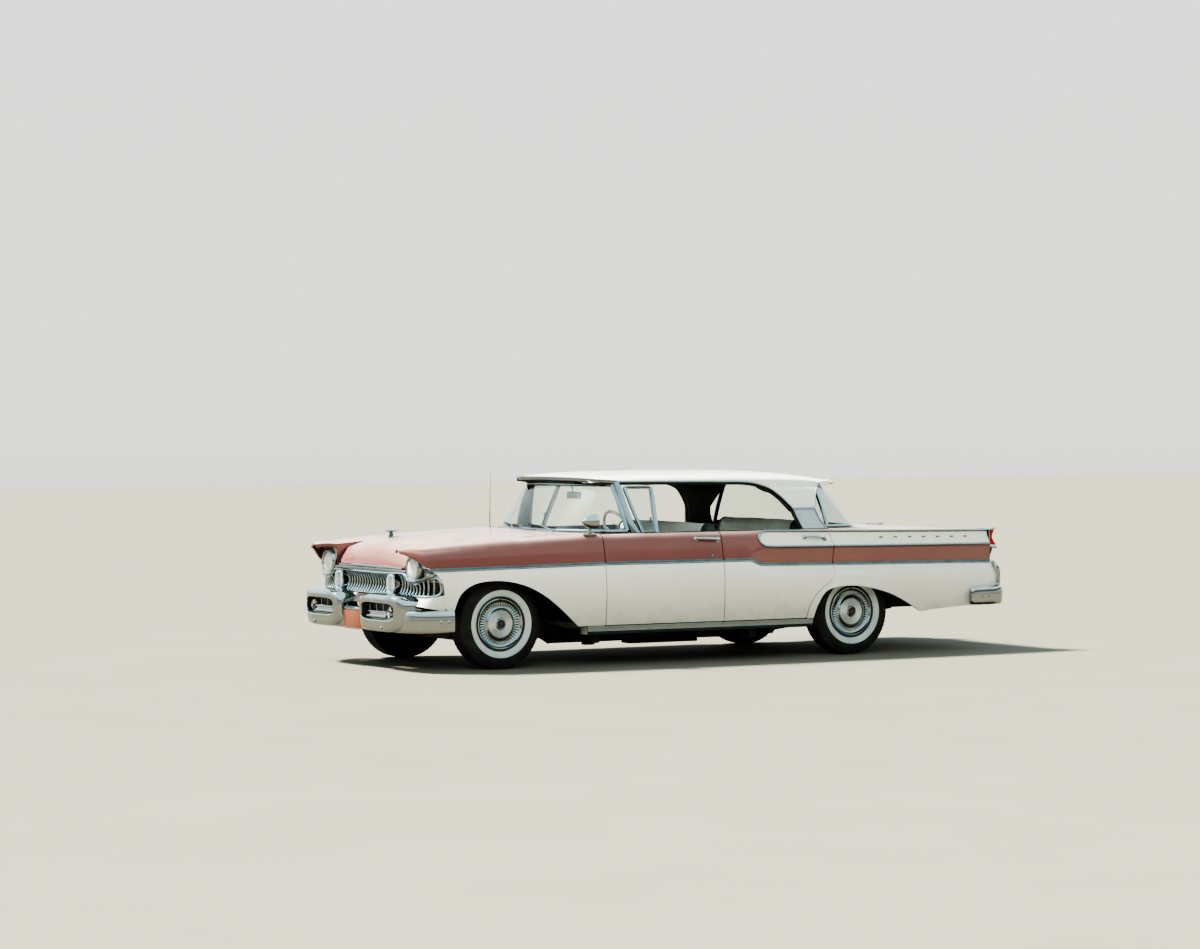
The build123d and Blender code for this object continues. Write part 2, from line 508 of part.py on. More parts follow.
def tyre(x, y):
    """Tyre at track y: revolved outline of lines and arcs about the wheel's axis."""
    r0, r1, h = RIM_R + 5, TYRE_R, TYRE_HALF_W
    pts = [(-72, r0), (-93, r0 + 26), (-h, r0 + 60), (-96, r1 - 34), (-80, r1 - 8), (-62, r1), (62, r1), (80, r1 - 8), (96, r1 - 34), (h, r0 + 60), (93, r0 + 26), (72, r0), (72, r0 - 8.5), (-72, r0 - 8.5)]
    e = [Edge.make_three_point_arc(Vector(0, *pts[0]), Vector(0, *pts[1]), Vector(0, *pts[2])),
         Edge.make_three_point_arc(Vector(0, *pts[2]), Vector(0, *pts[3]), Vector(0, *pts[4])),
         Edge.make_line(Vector(0, *pts[4]), Vector(0, *pts[5])),
         Edge.make_line(Vector(0, *pts[5]), Vector(0, *pts[6])),
         Edge.make_line(Vector(0, *pts[6]), Vector(0, *pts[7])),
         Edge.make_three_point_arc(Vector(0, *pts[7]), Vector(0, *pts[8]), Vector(0, *pts[9])),
         Edge.make_three_point_arc(Vector(0, *pts[9]), Vector(0, *pts[10]), Vector(0, *pts[11])),
         Edge.make_line(Vector(0, *pts[11]), Vector(0, *pts[12])),
         Edge.make_line(Vector(0, *pts[12]), Vector(0, *pts[13])),
         Edge.make_line(Vector(0, *pts[13]), Vector(0, *pts[0]))]
    s = Solid.revolve(Face(Wire(e)), 360, Axis.Y)
    return Pos(at(x), y, TYRE_R) * s


def wheel(x, y):
    """Rim, disc, drum and cover as one piece: revolved outline, outer face towards +Y."""
    pts = [(-88, 0), (-88, 150), (-60, 150), (-60, 168), (-80, 170), (-80, RIM_R + 3), (-72.5, RIM_R + 3), (-72.5, RIM_R - 4), (72.5, RIM_R - 4), (72.5, RIM_R + 3), (80, RIM_R + 3), (82, COVER_R), (62, 118), (78, 100), (86, 34), (92, 30), (92, 0)]
    s = Solid.revolve(Face(Wire.make_polygon([Vector(0, a, b) for a, b in pts], close=True)), 360, Axis.Y)
    return Pos(at(x), y, TYRE_R) * s


for x, axle_name, y in ((0, "front", TRACK_HALF), (WHEELBASE, "rear", TRACK_HALF - 5)):
    t, w = tyre(x, y), wheel(x, y)
    save(f"tyre_{axle_name}_right", t)
    save(f"tyre_{axle_name}_left", mirror(t, about=Plane.XZ))
    save(f"wheel_{axle_name}_right", w)
    save(f"wheel_{axle_name}_left", mirror(w, about=Plane.XZ))

knuckle = box(-32, 32, KINGPIN_Y - 32, KINGPIN_Y + 20, 238, 449) + rod((0, KINGPIN_Y, TYRE_R), (0, TRACK_HALF - 93, TYRE_R), 40) + box(30, 170, KINGPIN_Y - 30, KINGPIN_Y - 8, 250, 275)
knuckle = one(knuckle)
save("knuckle_right", knuckle)
save("knuckle_left", one(mirror(knuckle, about=Plane.XZ)))

rim = Solid.make_torus(205, 13, Plane(origin=(0, 0, 0), z_dir=(0, 0, 1)))
hub = Pos(0, 0, -30) * Cylinder(38, 60)
sw = rim + hub + Pos(0, 0, -14) * Box(402, 26, 14) + Pos(0, -101, -14) * Box(26, 200, 14)
sw = Plane(origin=(at(sx), sy, sz), x_dir=(0, 1, 0), z_dir=(ca, 0, sa)) * sw
save("steering_wheel", one(sw))

print(len(written), "nodes", written)
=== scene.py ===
import bpy, bmesh, math
import numpy as np
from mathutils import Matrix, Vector, noise


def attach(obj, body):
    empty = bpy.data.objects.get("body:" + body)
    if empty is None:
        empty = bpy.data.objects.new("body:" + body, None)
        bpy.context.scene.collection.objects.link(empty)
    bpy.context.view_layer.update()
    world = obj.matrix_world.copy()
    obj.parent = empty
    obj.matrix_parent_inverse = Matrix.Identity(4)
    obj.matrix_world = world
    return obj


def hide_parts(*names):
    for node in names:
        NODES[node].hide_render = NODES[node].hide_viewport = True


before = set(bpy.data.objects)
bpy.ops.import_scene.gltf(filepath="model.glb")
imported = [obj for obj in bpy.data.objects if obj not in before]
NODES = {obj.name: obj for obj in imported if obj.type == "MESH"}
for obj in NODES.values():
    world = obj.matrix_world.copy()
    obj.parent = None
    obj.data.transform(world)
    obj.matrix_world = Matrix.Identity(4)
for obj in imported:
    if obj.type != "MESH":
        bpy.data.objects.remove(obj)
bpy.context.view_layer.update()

# ------------------------------------------------------------------ numbers
# Lengths are millimetres measured back from the front axle (x), across from
# the middle (y) and up from the ground (z); to_m turns them into the row frame.
AXLE_X = -1831.0
GAP = 7.0

SIDE_COLS = ("x", "w", "zt", "zs", "s1", "zb", "s2", "s3", "s4", "zu")
SIDE = np.array([
    (-640, 905, 905, 759, 12, 830, 22, 45, 80, 470),
    (-450, 940, 922, 762, 14, 840, 26, 50, 88, 430),
    (-100, 972, 945, 768, 18, 850, 32, 56, 96, 300),
    (400, 988, 967, 775, 20, 860, 35, 58, 100, 240),
    (812, 995, 980, 781, 20, 865, 36, 58, 100, 240),
    (1840, 1002, 982, 781, 20, 865, 36, 58, 100, 240),
    (2070, 1002, 982, 781, 22, 862, 37, 59, 100, 240),
    (2190, 1002, 982, 744, 36, 860, 38, 66, 96, 240),
    (2300, 1001, 982, 740, 44, 858, 38, 72, 90, 240),
    (2848, 998, 978, 732, 50, 855, 36, 74, 86, 240),
    (3400, 988, 968, 726, 50, 850, 36, 74, 86, 330),
    (4000, 962, 956, 719, 48, 843, 36, 70, 84, 352),
    (4400, 925, 948, 714, 44, 840, 34, 66, 80, 372)], float)

FRONT_ARCH = [(-462, 250), (-452, 380), (-432, 475), (-385, 572), (-283, 638), (-90, 659),
              (120, 621), (301, 532), (464, 404), (560, 318), (575, 306)]
REAR_ARCH = [(2640, 232), (2652, 335), (2686, 420), (2760, 512), (2998, 546), (3310, 489),
             (3480, 420), (3616, 345), (3660, 322)]
REAR_SHUT = [(2586, 300), (2600, 380), (2660, 478), (2722, 535), (2786, 576), (2828, 612), (2846, 660)]


def cr(points, n=8, closed=False):
    """Centripetal Catmull-Rom spline through the points, n steps a span."""
    p = np.asarray(points, float)
    if closed:
        q = np.vstack([p[-1], p, p[0], p[1]])
    else:
        q = np.vstack([2 * p[0] - p[1], p, 2 * p[-1] - p[-2]])
    out = []
    for i in range(len(q) - 3):
        a, b, c, d = q[i:i + 4]
        t0 = 0.0
        t1 = t0 + max(np.linalg.norm(b - a), 1e-6) ** .5
        t2 = t1 + max(np.linalg.norm(c - b), 1e-6) ** .5
        t3 = t2 + max(np.linalg.norm(d - c), 1e-6) ** .5
        for t in np.linspace(t1, t2, n, endpoint=False):
            a1 = (t1 - t) / (t1 - t0) * a + (t - t0) / (t1 - t0) * b
            a2 = (t2 - t) / (t2 - t1) * b + (t - t1) / (t2 - t1) * c
            a3 = (t3 - t) / (t3 - t2) * c + (t - t2) / (t3 - t2) * d
            b1 = (t2 - t) / (t2 - t0) * a1 + (t - t0) / (t2 - t0) * a2
            b2 = (t3 - t) / (t3 - t1) * a2 + (t - t1) / (t3 - t1) * a3
            out.append((t2 - t) / (t2 - t1) * b1 + (t - t1) / (t2 - t1) * b2)
    if not closed:
        out.append(q[-2])
    return np.array(out)


def smooth_table(xs, ys, x):
    """Monotone cubic through a table: no overshoot between rows."""
    xs, ys = np.asarray(xs, float), np.asarray(ys, float)
    h = np.diff(xs)
    d = np.diff(ys) / h
    m = np.zeros_like(ys)
    m[0], m[-1] = d[0], d[-1]
    for i in range(1, len(xs) - 1):
        if d[i - 1] * d[i] > 0:
            w1, w2 = 2 * h[i] + h[i - 1], h[i] + 2 * h[i - 1]
            m[i] = (w1 + w2) / (w1 / d[i - 1] + w2 / d[i])
    x = min(max(float(x), xs[0]), xs[-1])
    i = min(max(int(np.searchsorted(xs, x)) - 1, 0), len(xs) - 2)
    t = (x - xs[i]) / h[i]
    return float(ys[i] * (1 + 2 * t) * (1 - t) ** 2 + h[i] * m[i] * t * (1 - t) ** 2
                 + ys[i + 1] * t * t * (3 - 2 * t) + h[i] * m[i + 1] * t * t * (t - 1))


def row_at(x):
    return {c: smooth_table(SIDE[:, 0], SIDE[:, k], x) for k, c in enumerate(SIDE_COLS)}


def step(a, b, t):
    u = min(max((t - a) / (b - a), 0.0), 1.0)
    return u * u * (3 - 2 * u)


def to_m(verts):
    a = np.array(verts, float).reshape(-1, 3).copy()
    a[:, 0] += AXLE_X
    return a / 1000.0


# ------------------------------------------------------------------ mesh code
def add(name, verts, faces, mats, body, face_mat=None, auto=32, mirror=False, weld=1e-5, recalc=False):
    a = to_m(verts)
    if mirror:
        a[:, 1] *= -1
        faces = [tuple(reversed(f)) for f in faces]
    me = bpy.data.meshes.new(name)
    me.from_pydata(a.tolist(), [], [tuple(int(i) for i in f) for f in faces])
    for m in (mats if isinstance(mats, (list, tuple)) else [mats]):
        me.materials.append(m)
    if face_mat is not None:
        me.polygons.foreach_set("material_index", np.asarray(face_mat, np.int32))
    bm = bmesh.new()
    bm.from_mesh(me)
    bmesh.ops.remove_doubles(bm, verts=bm.verts, dist=weld)
    bmesh.ops.dissolve_degenerate(bm, edges=bm.edges, dist=1e-6)
    if recalc:
        bmesh.ops.recalc_face_normals(bm, faces=bm.faces)
    bm.to_mesh(me)
    bm.free()
    me.shade_smooth()
    me.set_sharp_from_angle(angle=math.radians(auto))
    ob = bpy.data.objects.new(name, me)
    bpy.context.scene.collection.objects.link(ob)
    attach(ob, body)
    return ob


def grid_faces(nr, nc, wr=False, wc=False, off=0, flip=False):
    f = []
    for i in range(nr if wr else nr - 1):
        for j in range(nc if wc else nc - 1):
            a, b = off + i * nc + j, off + i * nc + (j + 1) % nc
            c, d = off + ((i + 1) % nr) * nc + (j + 1) % nc, off + ((i + 1) % nr) * nc + j
            f.append((d, c, b, a) if flip else (a, b, c, d))
    return f


def normals(g):
    """Unit normals of a grid (nr, nc, 3), by the cross of its two directions."""
    u = np.gradient(g, axis=1)
    v = np.gradient(g, axis=0)
    n = np.cross(u, v)
    l = np.linalg.norm(n, axis=2, keepdims=True)
    l[l < 1e-9] = 1
    return n / l


def shell(g, th, inner=None, flip=False, fm=None, inner_mat=0, edge_mat=None):
    """Closed shell: the outer grid, an inner one th below it (or given), and its four edges.
    With flip False the outside is towards cross(along columns, along rows)."""
    nr, nc = g.shape[:2]
    n = normals(g) * (-1 if flip else 1)
    if inner is None:
        inner = g - n * th
    verts = np.vstack([g.reshape(-1, 3), inner.reshape(-1, 3)])
    o = nr * nc
    faces = grid_faces(nr, nc, flip=flip)
    fmat = [fm(i, j) if fm else 0 for i in range(nr - 1) for j in range(nc - 1)]
    faces += grid_faces(nr, nc, off=o, flip=not flip)
    fmat += [inner_mat if inner_mat is not None else (fm(i, j) if fm else 0) for i in range(nr - 1) for j in range(nc - 1)]
    edge = []
    for j in range(nc - 1):
        edge.append(((j, j + 1, o + j + 1, o + j), (0, j)))
        k = (nr - 1) * nc
        edge.append(((k + j + 1, k + j, o + k + j, o + k + j + 1), (nr - 2, j)))
    for i in range(nr - 1):
        a, b = i * nc, (i + 1) * nc
        edge.append(((b, a, o + a, o + b), (i, 0)))
        a, b = a + nc - 1, b + nc - 1
        edge.append(((a, b, o + b, o + a), (i, nc - 2)))
    for q, (i, j) in edge:
        faces.append(tuple(q) if flip else tuple(reversed(q)))
        fmat.append(edge_mat if edge_mat is not None else (fm(min(i, nr - 2), min(j, nc - 2)) if fm else 0))
    return verts, faces, fmat


def frames(path, normal):
    p = np.asarray(path, float)
    t = np.gradient(p, axis=0)
    t /= np.linalg.norm(t, axis=1, keepdims=True)
    n = np.asarray(normal, float)
    if n.ndim == 1:
        n = np.tile(n, (len(p), 1))
    n = n - t * (n * t).sum(1, keepdims=True)
    n /= np.linalg.norm(n, axis=1, keepdims=True)
    return p, t, n, np.cross(t, n)


def sweep(path, prof, normal, closed=False, caps=True, scale=None):
    """A closed profile of (a along the normal, b along t x n) carried along a path."""
    p, t, n, b = frames(path, normal)
    if closed:
        q = np.asarray(path, float)
        t = np.roll(q, -1, 0) - np.roll(q, 1, 0)
        t /= np.linalg.norm(t, axis=1, keepdims=True)
        n = np.asarray(normal, float)
        n = np.tile(n, (len(q), 1)) if n.ndim == 1 else n
        n = n - t * (n * t).sum(1, keepdims=True)
        n /= np.linalg.norm(n, axis=1, keepdims=True)
        b = np.cross(t, n)
    pr = np.asarray(prof, float)
    k = len(pr)
    s = np.ones(len(p)) if scale is None else np.asarray(scale, float)
    g = p[:, None] + n[:, None] * (pr[None, :, 0, None] * s[:, None, None]) + b[:, None] * (pr[None, :, 1, None] * s[:, None, None])
    v = g.reshape(-1, 3)
    f = grid_faces(len(p), k, wr=closed, wc=True)
    if caps and not closed:
        f.append(tuple(reversed(range(k))))
        f.append(tuple(range((len(p) - 1) * k, len(p) * k)))
    return v, f


def ring_prof(r, n=10, ry=None):
    a = np.linspace(0, 2 * math.pi, n, endpoint=False)
    return np.stack([r * np.cos(a), (ry or r) * np.sin(a)], 1)


def tube(path, r, n=10, closed=False, scale=None):
    p = np.asarray(path, float)
    d = p[min(1, len(p) - 1)] - p[0]
    up = np.array([0, 0, 1.0]) if abs(d[2]) < 0.8 * np.linalg.norm(d) else np.array([0, 1.0, 0])
    # a carried frame, so the tube never twists
    t = np.gradient(p, axis=0) if not closed else np.roll(p, -1, 0) - np.roll(p, 1, 0)
    t /= np.linalg.norm(t, axis=1, keepdims=True)
    ns = []
    v = up - t[0] * (up @ t[0])
    v /= np.linalg.norm(v)
    for k in range(len(p)):
        v = v - t[k] * (v @ t[k])
        v /= np.linalg.norm(v)
        ns.append(v.copy())
    return sweep(p, ring_prof(r, n), np.array(ns), closed=closed, scale=scale)


def lathe(prof, centre, axis=(0, 1, 0), n=64, closed=False, wob=None):
    """Turns (along axis, radius) points about an axis through centre."""
    ax = np.asarray(axis, float)
    ax /= np.linalg.norm(ax)
    u = np.cross(ax, (0, 0, 1.0) if abs(ax[2]) < .9 else (1.0, 0, 0))
    u /= np.linalg.norm(u)
    w = np.cross(ax, u)
    pr = np.asarray(prof, float)
    v = []
    for a, r in pr:
        for k in range(n):
            th = 2 * math.pi * k / n
            da = wob(a, r, th) if wob else 0.0
            v.append(np.asarray(centre, float) + ax * (a + da) + (u * math.cos(th) + w * math.sin(th)) * r)
    f = grid_faces(len(pr), n, wc=True, wr=closed)
    return np.array(v), f


def join(parts):
    """Several (verts, faces) or (verts, faces, mats) as one."""
    V, F, M = [], [], []
    o = 0
    for q in parts:
        v, f = q[0], q[1]
        m = q[2] if len(q) > 2 else 0
        V.append(np.asarray(v, float).reshape(-1, 3))
        F += [tuple(int(i) + o for i in x) for x in f]
        M += list(m) if hasattr(m, "__len__") else [m] * len(f)
        o += len(V[-1])
    return np.vstack(V), F, M


def rbox(c, d, r=2.0, seg=2, rot=None):
    """A block with rounded edges, as verts and faces."""
    bm = bmesh.new()
    bmesh.ops.create_cube(bm, size=1)
    for v in bm.verts:
        v.co = Vector((v.co.x * d[0], v.co.y * d[1], v.co.z * d[2]))
    r = min(r, min(d) * .45)
    bmesh.ops.bevel(bm, geom=list(bm.edges), offset=r, segments=seg, profile=.5, affect="EDGES")
    bm.verts.ensure_lookup_table()
    v = np.array([tuple(x.co) for x in bm.verts])
    f = [tuple(x.index for x in q.verts) for q in bm.faces]
    bm.free()
    if rot is not None:
        v = v @ np.asarray(rot, float).T
    return v + np.asarray(c, float), f


def prism(outline, a0, a1, plane="xz", bevel=0.0, seg=2):
    """An outline of (u, v) pushed from a0 to a1 along the third axis, with its edges eased."""
    bm = bmesh.new()
    ix = {"xz": (0, 2, 1), "yz": (1, 2, 0), "xy": (0, 1, 2)}[plane]
    vs = []
    for u, v in outline:
        p = [0.0, 0, 0]
        p[ix[0]], p[ix[1]], p[ix[2]] = u, v, a0
        vs.append(bm.verts.new(p))
    face = bm.faces.new(vs)
    r = bmesh.ops.extrude_face_region(bm, geom=[face])
    for v in [x for x in r["geom"] if isinstance(x, bmesh.types.BMVert)]:
        v.co[ix[2]] = a1
    bmesh.ops.recalc_face_normals(bm, faces=bm.faces)
    if bevel:
        bmesh.ops.bevel(bm, geom=list(bm.edges), offset=bevel, segments=seg, profile=.5, affect="EDGES", clamp_overlap=True)
    bm.verts.ensure_lookup_table()
    v = np.array([tuple(x.co) for x in bm.verts])
    f = [tuple(x.index for x in q.verts) for q in bm.faces]
    bm.free()
    return v, f


def rot_y(deg):
    a = math.radians(deg)
    return np.array([[math.cos(a), 0, math.sin(a)], [0, 1, 0], [-math.sin(a), 0, math.cos(a)]])


def rot_z(deg):
    a = math.radians(deg)
    return np.array([[math.cos(a), -math.sin(a), 0], [math.sin(a), math.cos(a), 0], [0, 0, 1]])


def rot_x(deg):
    a = math.radians(deg)
    return np.array([[1, 0, 0], [0, math.cos(a), -math.sin(a)], [0, math.sin(a), math.cos(a)]])


SIDES = (("right", False, 1), ("left", True, -1))

# ------------------------------------------------------------------ materials
def new_mat(name):
    m = bpy.data.materials.new(name)
    m.use_nodes = True
    nt = m.node_tree
    nt.nodes.clear()
    out = nt.nodes.new("ShaderNodeOutputMaterial")
    p = nt.nodes.new("ShaderNodeBsdfPrincipled")
    nt.links.new(p.outputs[0], out.inputs[0])
    return m, nt, p


def node(nt, kind, **props):
    n = nt.nodes.new(kind)
    ins = props.pop("ins", {})
    for k, v in props.items():
        setattr(n, k, v)
    for k, v in ins.items():
        if isinstance(v, bpy.types.NodeSocket):
            nt.links.new(v, n.inputs[k])
        else:
            n.inputs[k].default_value = v
    return n


def coords(nt):
    return node(nt, "ShaderNodeTexCoord").outputs["Object"]


def mapped(nt, co, scale=(1, 1, 1), rot=(0, 0, 0)):
    return node(nt, "ShaderNodeMapping", ins={"Vector": co, "Scale": scale, "Rotation": rot}).outputs[0]


def noise_tex(nt, co, scale, detail=4.0, rough=.55, dist=0.0):
    return node(nt, "ShaderNodeTexNoise", ins={"Vector": co, "Scale": scale, "Detail": detail, "Roughness": rough, "Distortion": dist}).outputs["Fac"]


def ramp(nt, fac, stops):
    r = node(nt, "ShaderNodeValToRGB", ins={"Fac": fac})
    e = r.color_ramp.elements
    while len(e) < len(stops):
        e.new(.5)
    for q, (pos, col) in zip(e, stops):
        q.position = pos
        q.color = (*col, 1) if len(col) == 3 else col
    return r.outputs["Color"]


def vrange(nt, val, a, b, c, d):
    return node(nt, "ShaderNodeMapRange", ins={"Value": val, "From Min": a, "From Max": b, "To Min": c, "To Max": d}).outputs[0]


def mixc(nt, fac, a, b, mode="MIX"):
    n = node(nt, "ShaderNodeMix", data_type="RGBA", blend_type=mode)
    for k, v in ((0, fac), (6, a), (7, b)):
        if isinstance(v, bpy.types.NodeSocket):
            nt.links.new(v, n.inputs[k])
        else:
            n.inputs[k].default_value = (*v, 1) if hasattr(v, "__len__") and len(v) == 3 else v
    return n.outputs[2]


def math_node(nt, op, a, b=0.0, clamp=False):
    n = node(nt, "ShaderNodeMath", operation=op, use_clamp=clamp)
    for k, v in ((0, a), (1, b)):
        if isinstance(v, bpy.types.NodeSocket):
            nt.links.new(v, n.inputs[k])
        else:
            n.inputs[k].default_value = v
    return n.outputs[0]


def bump(nt, height, strength, dist, normal=None):
    n = node(nt, "ShaderNodeBump", ins={"Height": height, "Strength": strength, "Distance": dist})
    if normal is not None:
        nt.links.new(normal, n.inputs["Normal"])
    return n.outputs[0]


def up_facing(nt):
    g = node(nt, "ShaderNodeNewGeometry")
    s = node(nt, "ShaderNodeSeparateXYZ", ins={"Vector": g.outputs["Normal"]})
    return s.outputs["Z"]


def edges_worn(nt, lo=.52, hi=.62):
    g = node(nt, "ShaderNodeNewGeometry")
    return vrange(nt, g.outputs["Pointiness"], lo, hi, 0, 1)


def height_z(nt):
    s = node(nt, "ShaderNodeSeparateXYZ", ins={"Vector": coords(nt)})
    return s.outputs["Z"]


def paint(name, base, dark, light, top_dust_and_highlight=(.62, .58, .50), rough=.34, coat=.9, dust=.25, low_shade_dirt_col=(.28, .27, .20), low_shade_amount=.25):
    """Enamel: slow colour drift and a fine orange peel; paler on upward faces (dust, and for the coral a painted sunlit
    highlight), darker towards the bottom (painted shade of the low panels, with road dirt).
    """
    m, nt, p = new_mat(name)
    co = coords(nt)
    slow = noise_tex(nt, co, 1.3, 3)
    fine = noise_tex(nt, co, 9, 3)
    col = ramp(nt, slow, [(.30, dark), (.52, base), (.75, light)])
    # darker towards the bottom: painted shade of the low panels, mixed with road dirt
    low = vrange(nt, height_z(nt), .74, .25, 0, low_shade_amount)
    low_shade_and_dirt = math_node(nt, "MULTIPLY", low, vrange(nt, fine, .35, .70, .82, 1), True)
    # upward faces paler: dust, and for the coral a painted sunlit highlight on the tops
    facing_light_and_dust = math_node(nt, "MULTIPLY", vrange(nt, up_facing(nt), .30, .95, 0, dust), vrange(nt, noise_tex(nt, co, 5, 4), .30, .75, .45, 1), True)
    d = math_node(nt, "MAXIMUM", low_shade_and_dirt, facing_light_and_dust)
    nt.links.new(mixc(nt, low_shade_and_dirt, mixc(nt, facing_light_and_dust, col, top_dust_and_highlight), low_shade_dirt_col), p.inputs["Base Color"])
    r = math_node(nt, "ADD", vrange(nt, fine, .3, .8, rough - .03, rough + .04), math_node(nt, "MULTIPLY", d, .25))
    nt.links.new(r, p.inputs["Roughness"])
    peel = noise_tex(nt, co, 150, 1)
    nt.links.new(bump(nt, peel, .010, .001), p.inputs["Normal"])
    p.inputs["Coat Weight"].default_value = coat
    p.inputs["Coat Roughness"].default_value = .06
    p.inputs["Specular IOR Level"].default_value = .5
    return m


def metal(name, base, dark, rough=(.05, .16), scale=9, brushed=None, pits=.0, coat=0.0, sky_and_shade_tint=None):
    """Plated or polished metal, with haze in patches, fine pits and a slow ripple."""
    m, nt, p = new_mat(name)
    co = coords(nt)
    haze = noise_tex(nt, co, scale, 6, .6)
    fine = noise_tex(nt, co, scale * 14, 4)
    col = ramp(nt, haze, [(.30, dark), (.60, base)])
    if sky_and_shade_tint:
        # painted reflection and shade with some road film: the plate's colour is multiplied bluish on upward faces like
        # the sky it reflects, and darker on sideways and overhanging faces
        up = vrange(nt, up_facing(nt), -.9, .75, 0, 1)
        facing_light_and_dust = ramp(nt, up, [(.0, sky_and_shade_tint[0]), (.47, sky_and_shade_tint[1]), (.60, sky_and_shade_tint[1]), (.82, sky_and_shade_tint[2])])
        col = mixc(nt, 1.0, col, facing_light_and_dust, "MULTIPLY")
    nt.links.new(col, p.inputs["Base Color"])
    p.inputs["Metallic"].default_value = 1.0
    r = vrange(nt, haze, .30, .72, rough[0], rough[1])
    if pits:
        spots = vrange(nt, node(nt, "ShaderNodeTexVoronoi", ins={"Vector": co, "Scale": 240.0}).outputs["Distance"], .0, .10, 1, 0)
        spots = math_node(nt, "MULTIPLY", spots, vrange(nt, fine, .55, .70, 0, 1), True)
        r = math_node(nt, "ADD", r, math_node(nt, "MULTIPLY", spots, pits))
    nt.links.new(r, p.inputs["Roughness"])
    if brushed:
        b = noise_tex(nt, mapped(nt, co, brushed), 40, 3)
        nt.links.new(bump(nt, b, .12, .001), p.inputs["Normal"])
    else:
        nt.links.new(bump(nt, noise_tex(nt, co, 4.5, 2), .10, .004), p.inputs["Normal"])
    return m


def grit(name, base, dark, light, rough=(.6, .9), scale=30, bmp=.3, metallic=0.0, dust=None, spec=.4):
    """Dull surfaces: castings, chassis black, rubber, board. Colour and roughness both drift."""
    m, nt, p = new_mat(name)
    co = coords(nt)
    a = noise_tex(nt, co, scale * .2, 5)
    b = noise_tex(nt, co, scale * 4, 5)
    col = ramp(nt, a, [(.28, dark), (.52, base), (.78, light)])
    if dust:
        f = math_node(nt, "MULTIPLY", vrange(nt, up_facing(nt), .2, 1, 0, .7), vrange(nt, noise_tex(nt, co, scale * .5, 6), .35, .7, 0, 1), True)
        col = mixc(nt, f, col, dust)
    nt.links.new(col, p.inputs["Base Color"])
    nt.links.new(vrange(nt, b, .3, .75, rough[0], rough[1]), p.inputs["Roughness"])
    p.inputs["Metallic"].default_value = metallic
    p.inputs["Specular IOR Level"].default_value = spec
    nt.links.new(bump(nt, b, bmp, .002), p.inputs["Normal"])
    return m


def cloth(name, base, dark, light, scale=420.0, stripe=None, sheen=.25):
    """Woven upholstery: over and under threads by two crossed waves, slubs and worn, lighter patches."""
    m, nt, p = new_mat(name)
    co = coords(nt)
    w1 = node(nt, "ShaderNodeTexWave", wave_type="BANDS", bands_direction="X", ins={"Vector": co, "Scale": scale, "Distortion": .6, "Detail": 1.0}).outputs["Fac"]
    w2 = node(nt, "ShaderNodeTexWave", wave_type="BANDS", bands_direction="Y", ins={"Vector": co, "Scale": scale, "Distortion": .6, "Detail": 1.0}).outputs["Fac"]
    w3 = node(nt, "ShaderNodeTexWave", wave_type="BANDS", bands_direction="Z", ins={"Vector": co, "Scale": scale, "Distortion": .6, "Detail": 1.0}).outputs["Fac"]
    weave = math_node(nt, "MULTIPLY", math_node(nt, "ADD", w1, w3), w2)
    slow = noise_tex(nt, co, 6, 5)
    slub = noise_tex(nt, co, 160, 4)
    col = ramp(nt, math_node(nt, "ADD", math_node(nt, "MULTIPLY", slow, .6), math_node(nt, "MULTIPLY", slub, .4)), [(.32, dark), (.52, base), (.72, light)])
    if stripe:
        s = node(nt, "ShaderNodeTexWave", wave_type="BANDS", bands_direction="Y", ins={"Vector": co, "Scale": 26.0, "Distortion": .1}).outputs["Fac"]
        col = mixc(nt, math_node(nt, "MULTIPLY", vrange(nt, s, .8, .95, 0, 1), .45), col, stripe)
    nt.links.new(col, p.inputs["Base Color"])
    nt.links.new(vrange(nt, slub, .3, .7, .72, .95), p.inputs["Roughness"])
    p.inputs["Sheen Weight"].default_value = sheen
    p.inputs["Sheen Roughness"].default_value = .4
    p.inputs["Specular IOR Level"].default_value = .25
    nt.links.new(bump(nt, weave, .35, .0008, bump(nt, slub, .2, .001)), p.inputs["Normal"])
    return m


def vinyl(name, base, dark, light, rough=(.38, .6), grain=170.0, coat=.0):
    """Grained coated cloth or moulded plastic."""
    m, nt, p = new_mat(name)
    co = coords(nt)
    cells = node(nt, "ShaderNodeTexVoronoi", feature="DISTANCE_TO_EDGE", ins={"Vector": co, "Scale": grain}).outputs["Distance"]
    slow = noise_tex(nt, co, 5, 5)
    nt.links.new(ramp(nt, slow, [(.3, dark), (.52, base), (.75, light)]), p.inputs["Base Color"])
    nt.links.new(vrange(nt, noise_tex(nt, co, 40, 4), .3, .7, rough[0], rough[1]), p.inputs["Roughness"])
    nt.links.new(bump(nt, cells, .22, .0008), p.inputs["Normal"])
    p.inputs["Coat Weight"].default_value = coat
    return m


def glass(name, tint, rough=.0, smear=.02):
    m, nt, p = new_mat(name)
    co = coords(nt)
    p.inputs["Base Color"].default_value = (*tint, 1)
    p.inputs["Transmission Weight"].default_value = 1.0
    p.inputs["IOR"].default_value = 1.45
    nt.links.new(vrange(nt, noise_tex(nt, co, 6, 6), .45, .8, rough, rough + smear), p.inputs["Roughness"])
    nt.links.new(ramp(nt, noise_tex(nt, co, 2, 2), [(.3, tuple(x * .96 for x in tint)), (.7, tint)]), p.inputs["Base Color"])
    return m


# coral: the pale pink on upward faces is partly dust and partly a painted sunlit highlight
CORAL = paint("coral_enamel", (.188, .060, .052), (.173, .055, .047), (.205, .067, .058), top_dust_and_highlight=(.84, .70, .60), dust=.48)
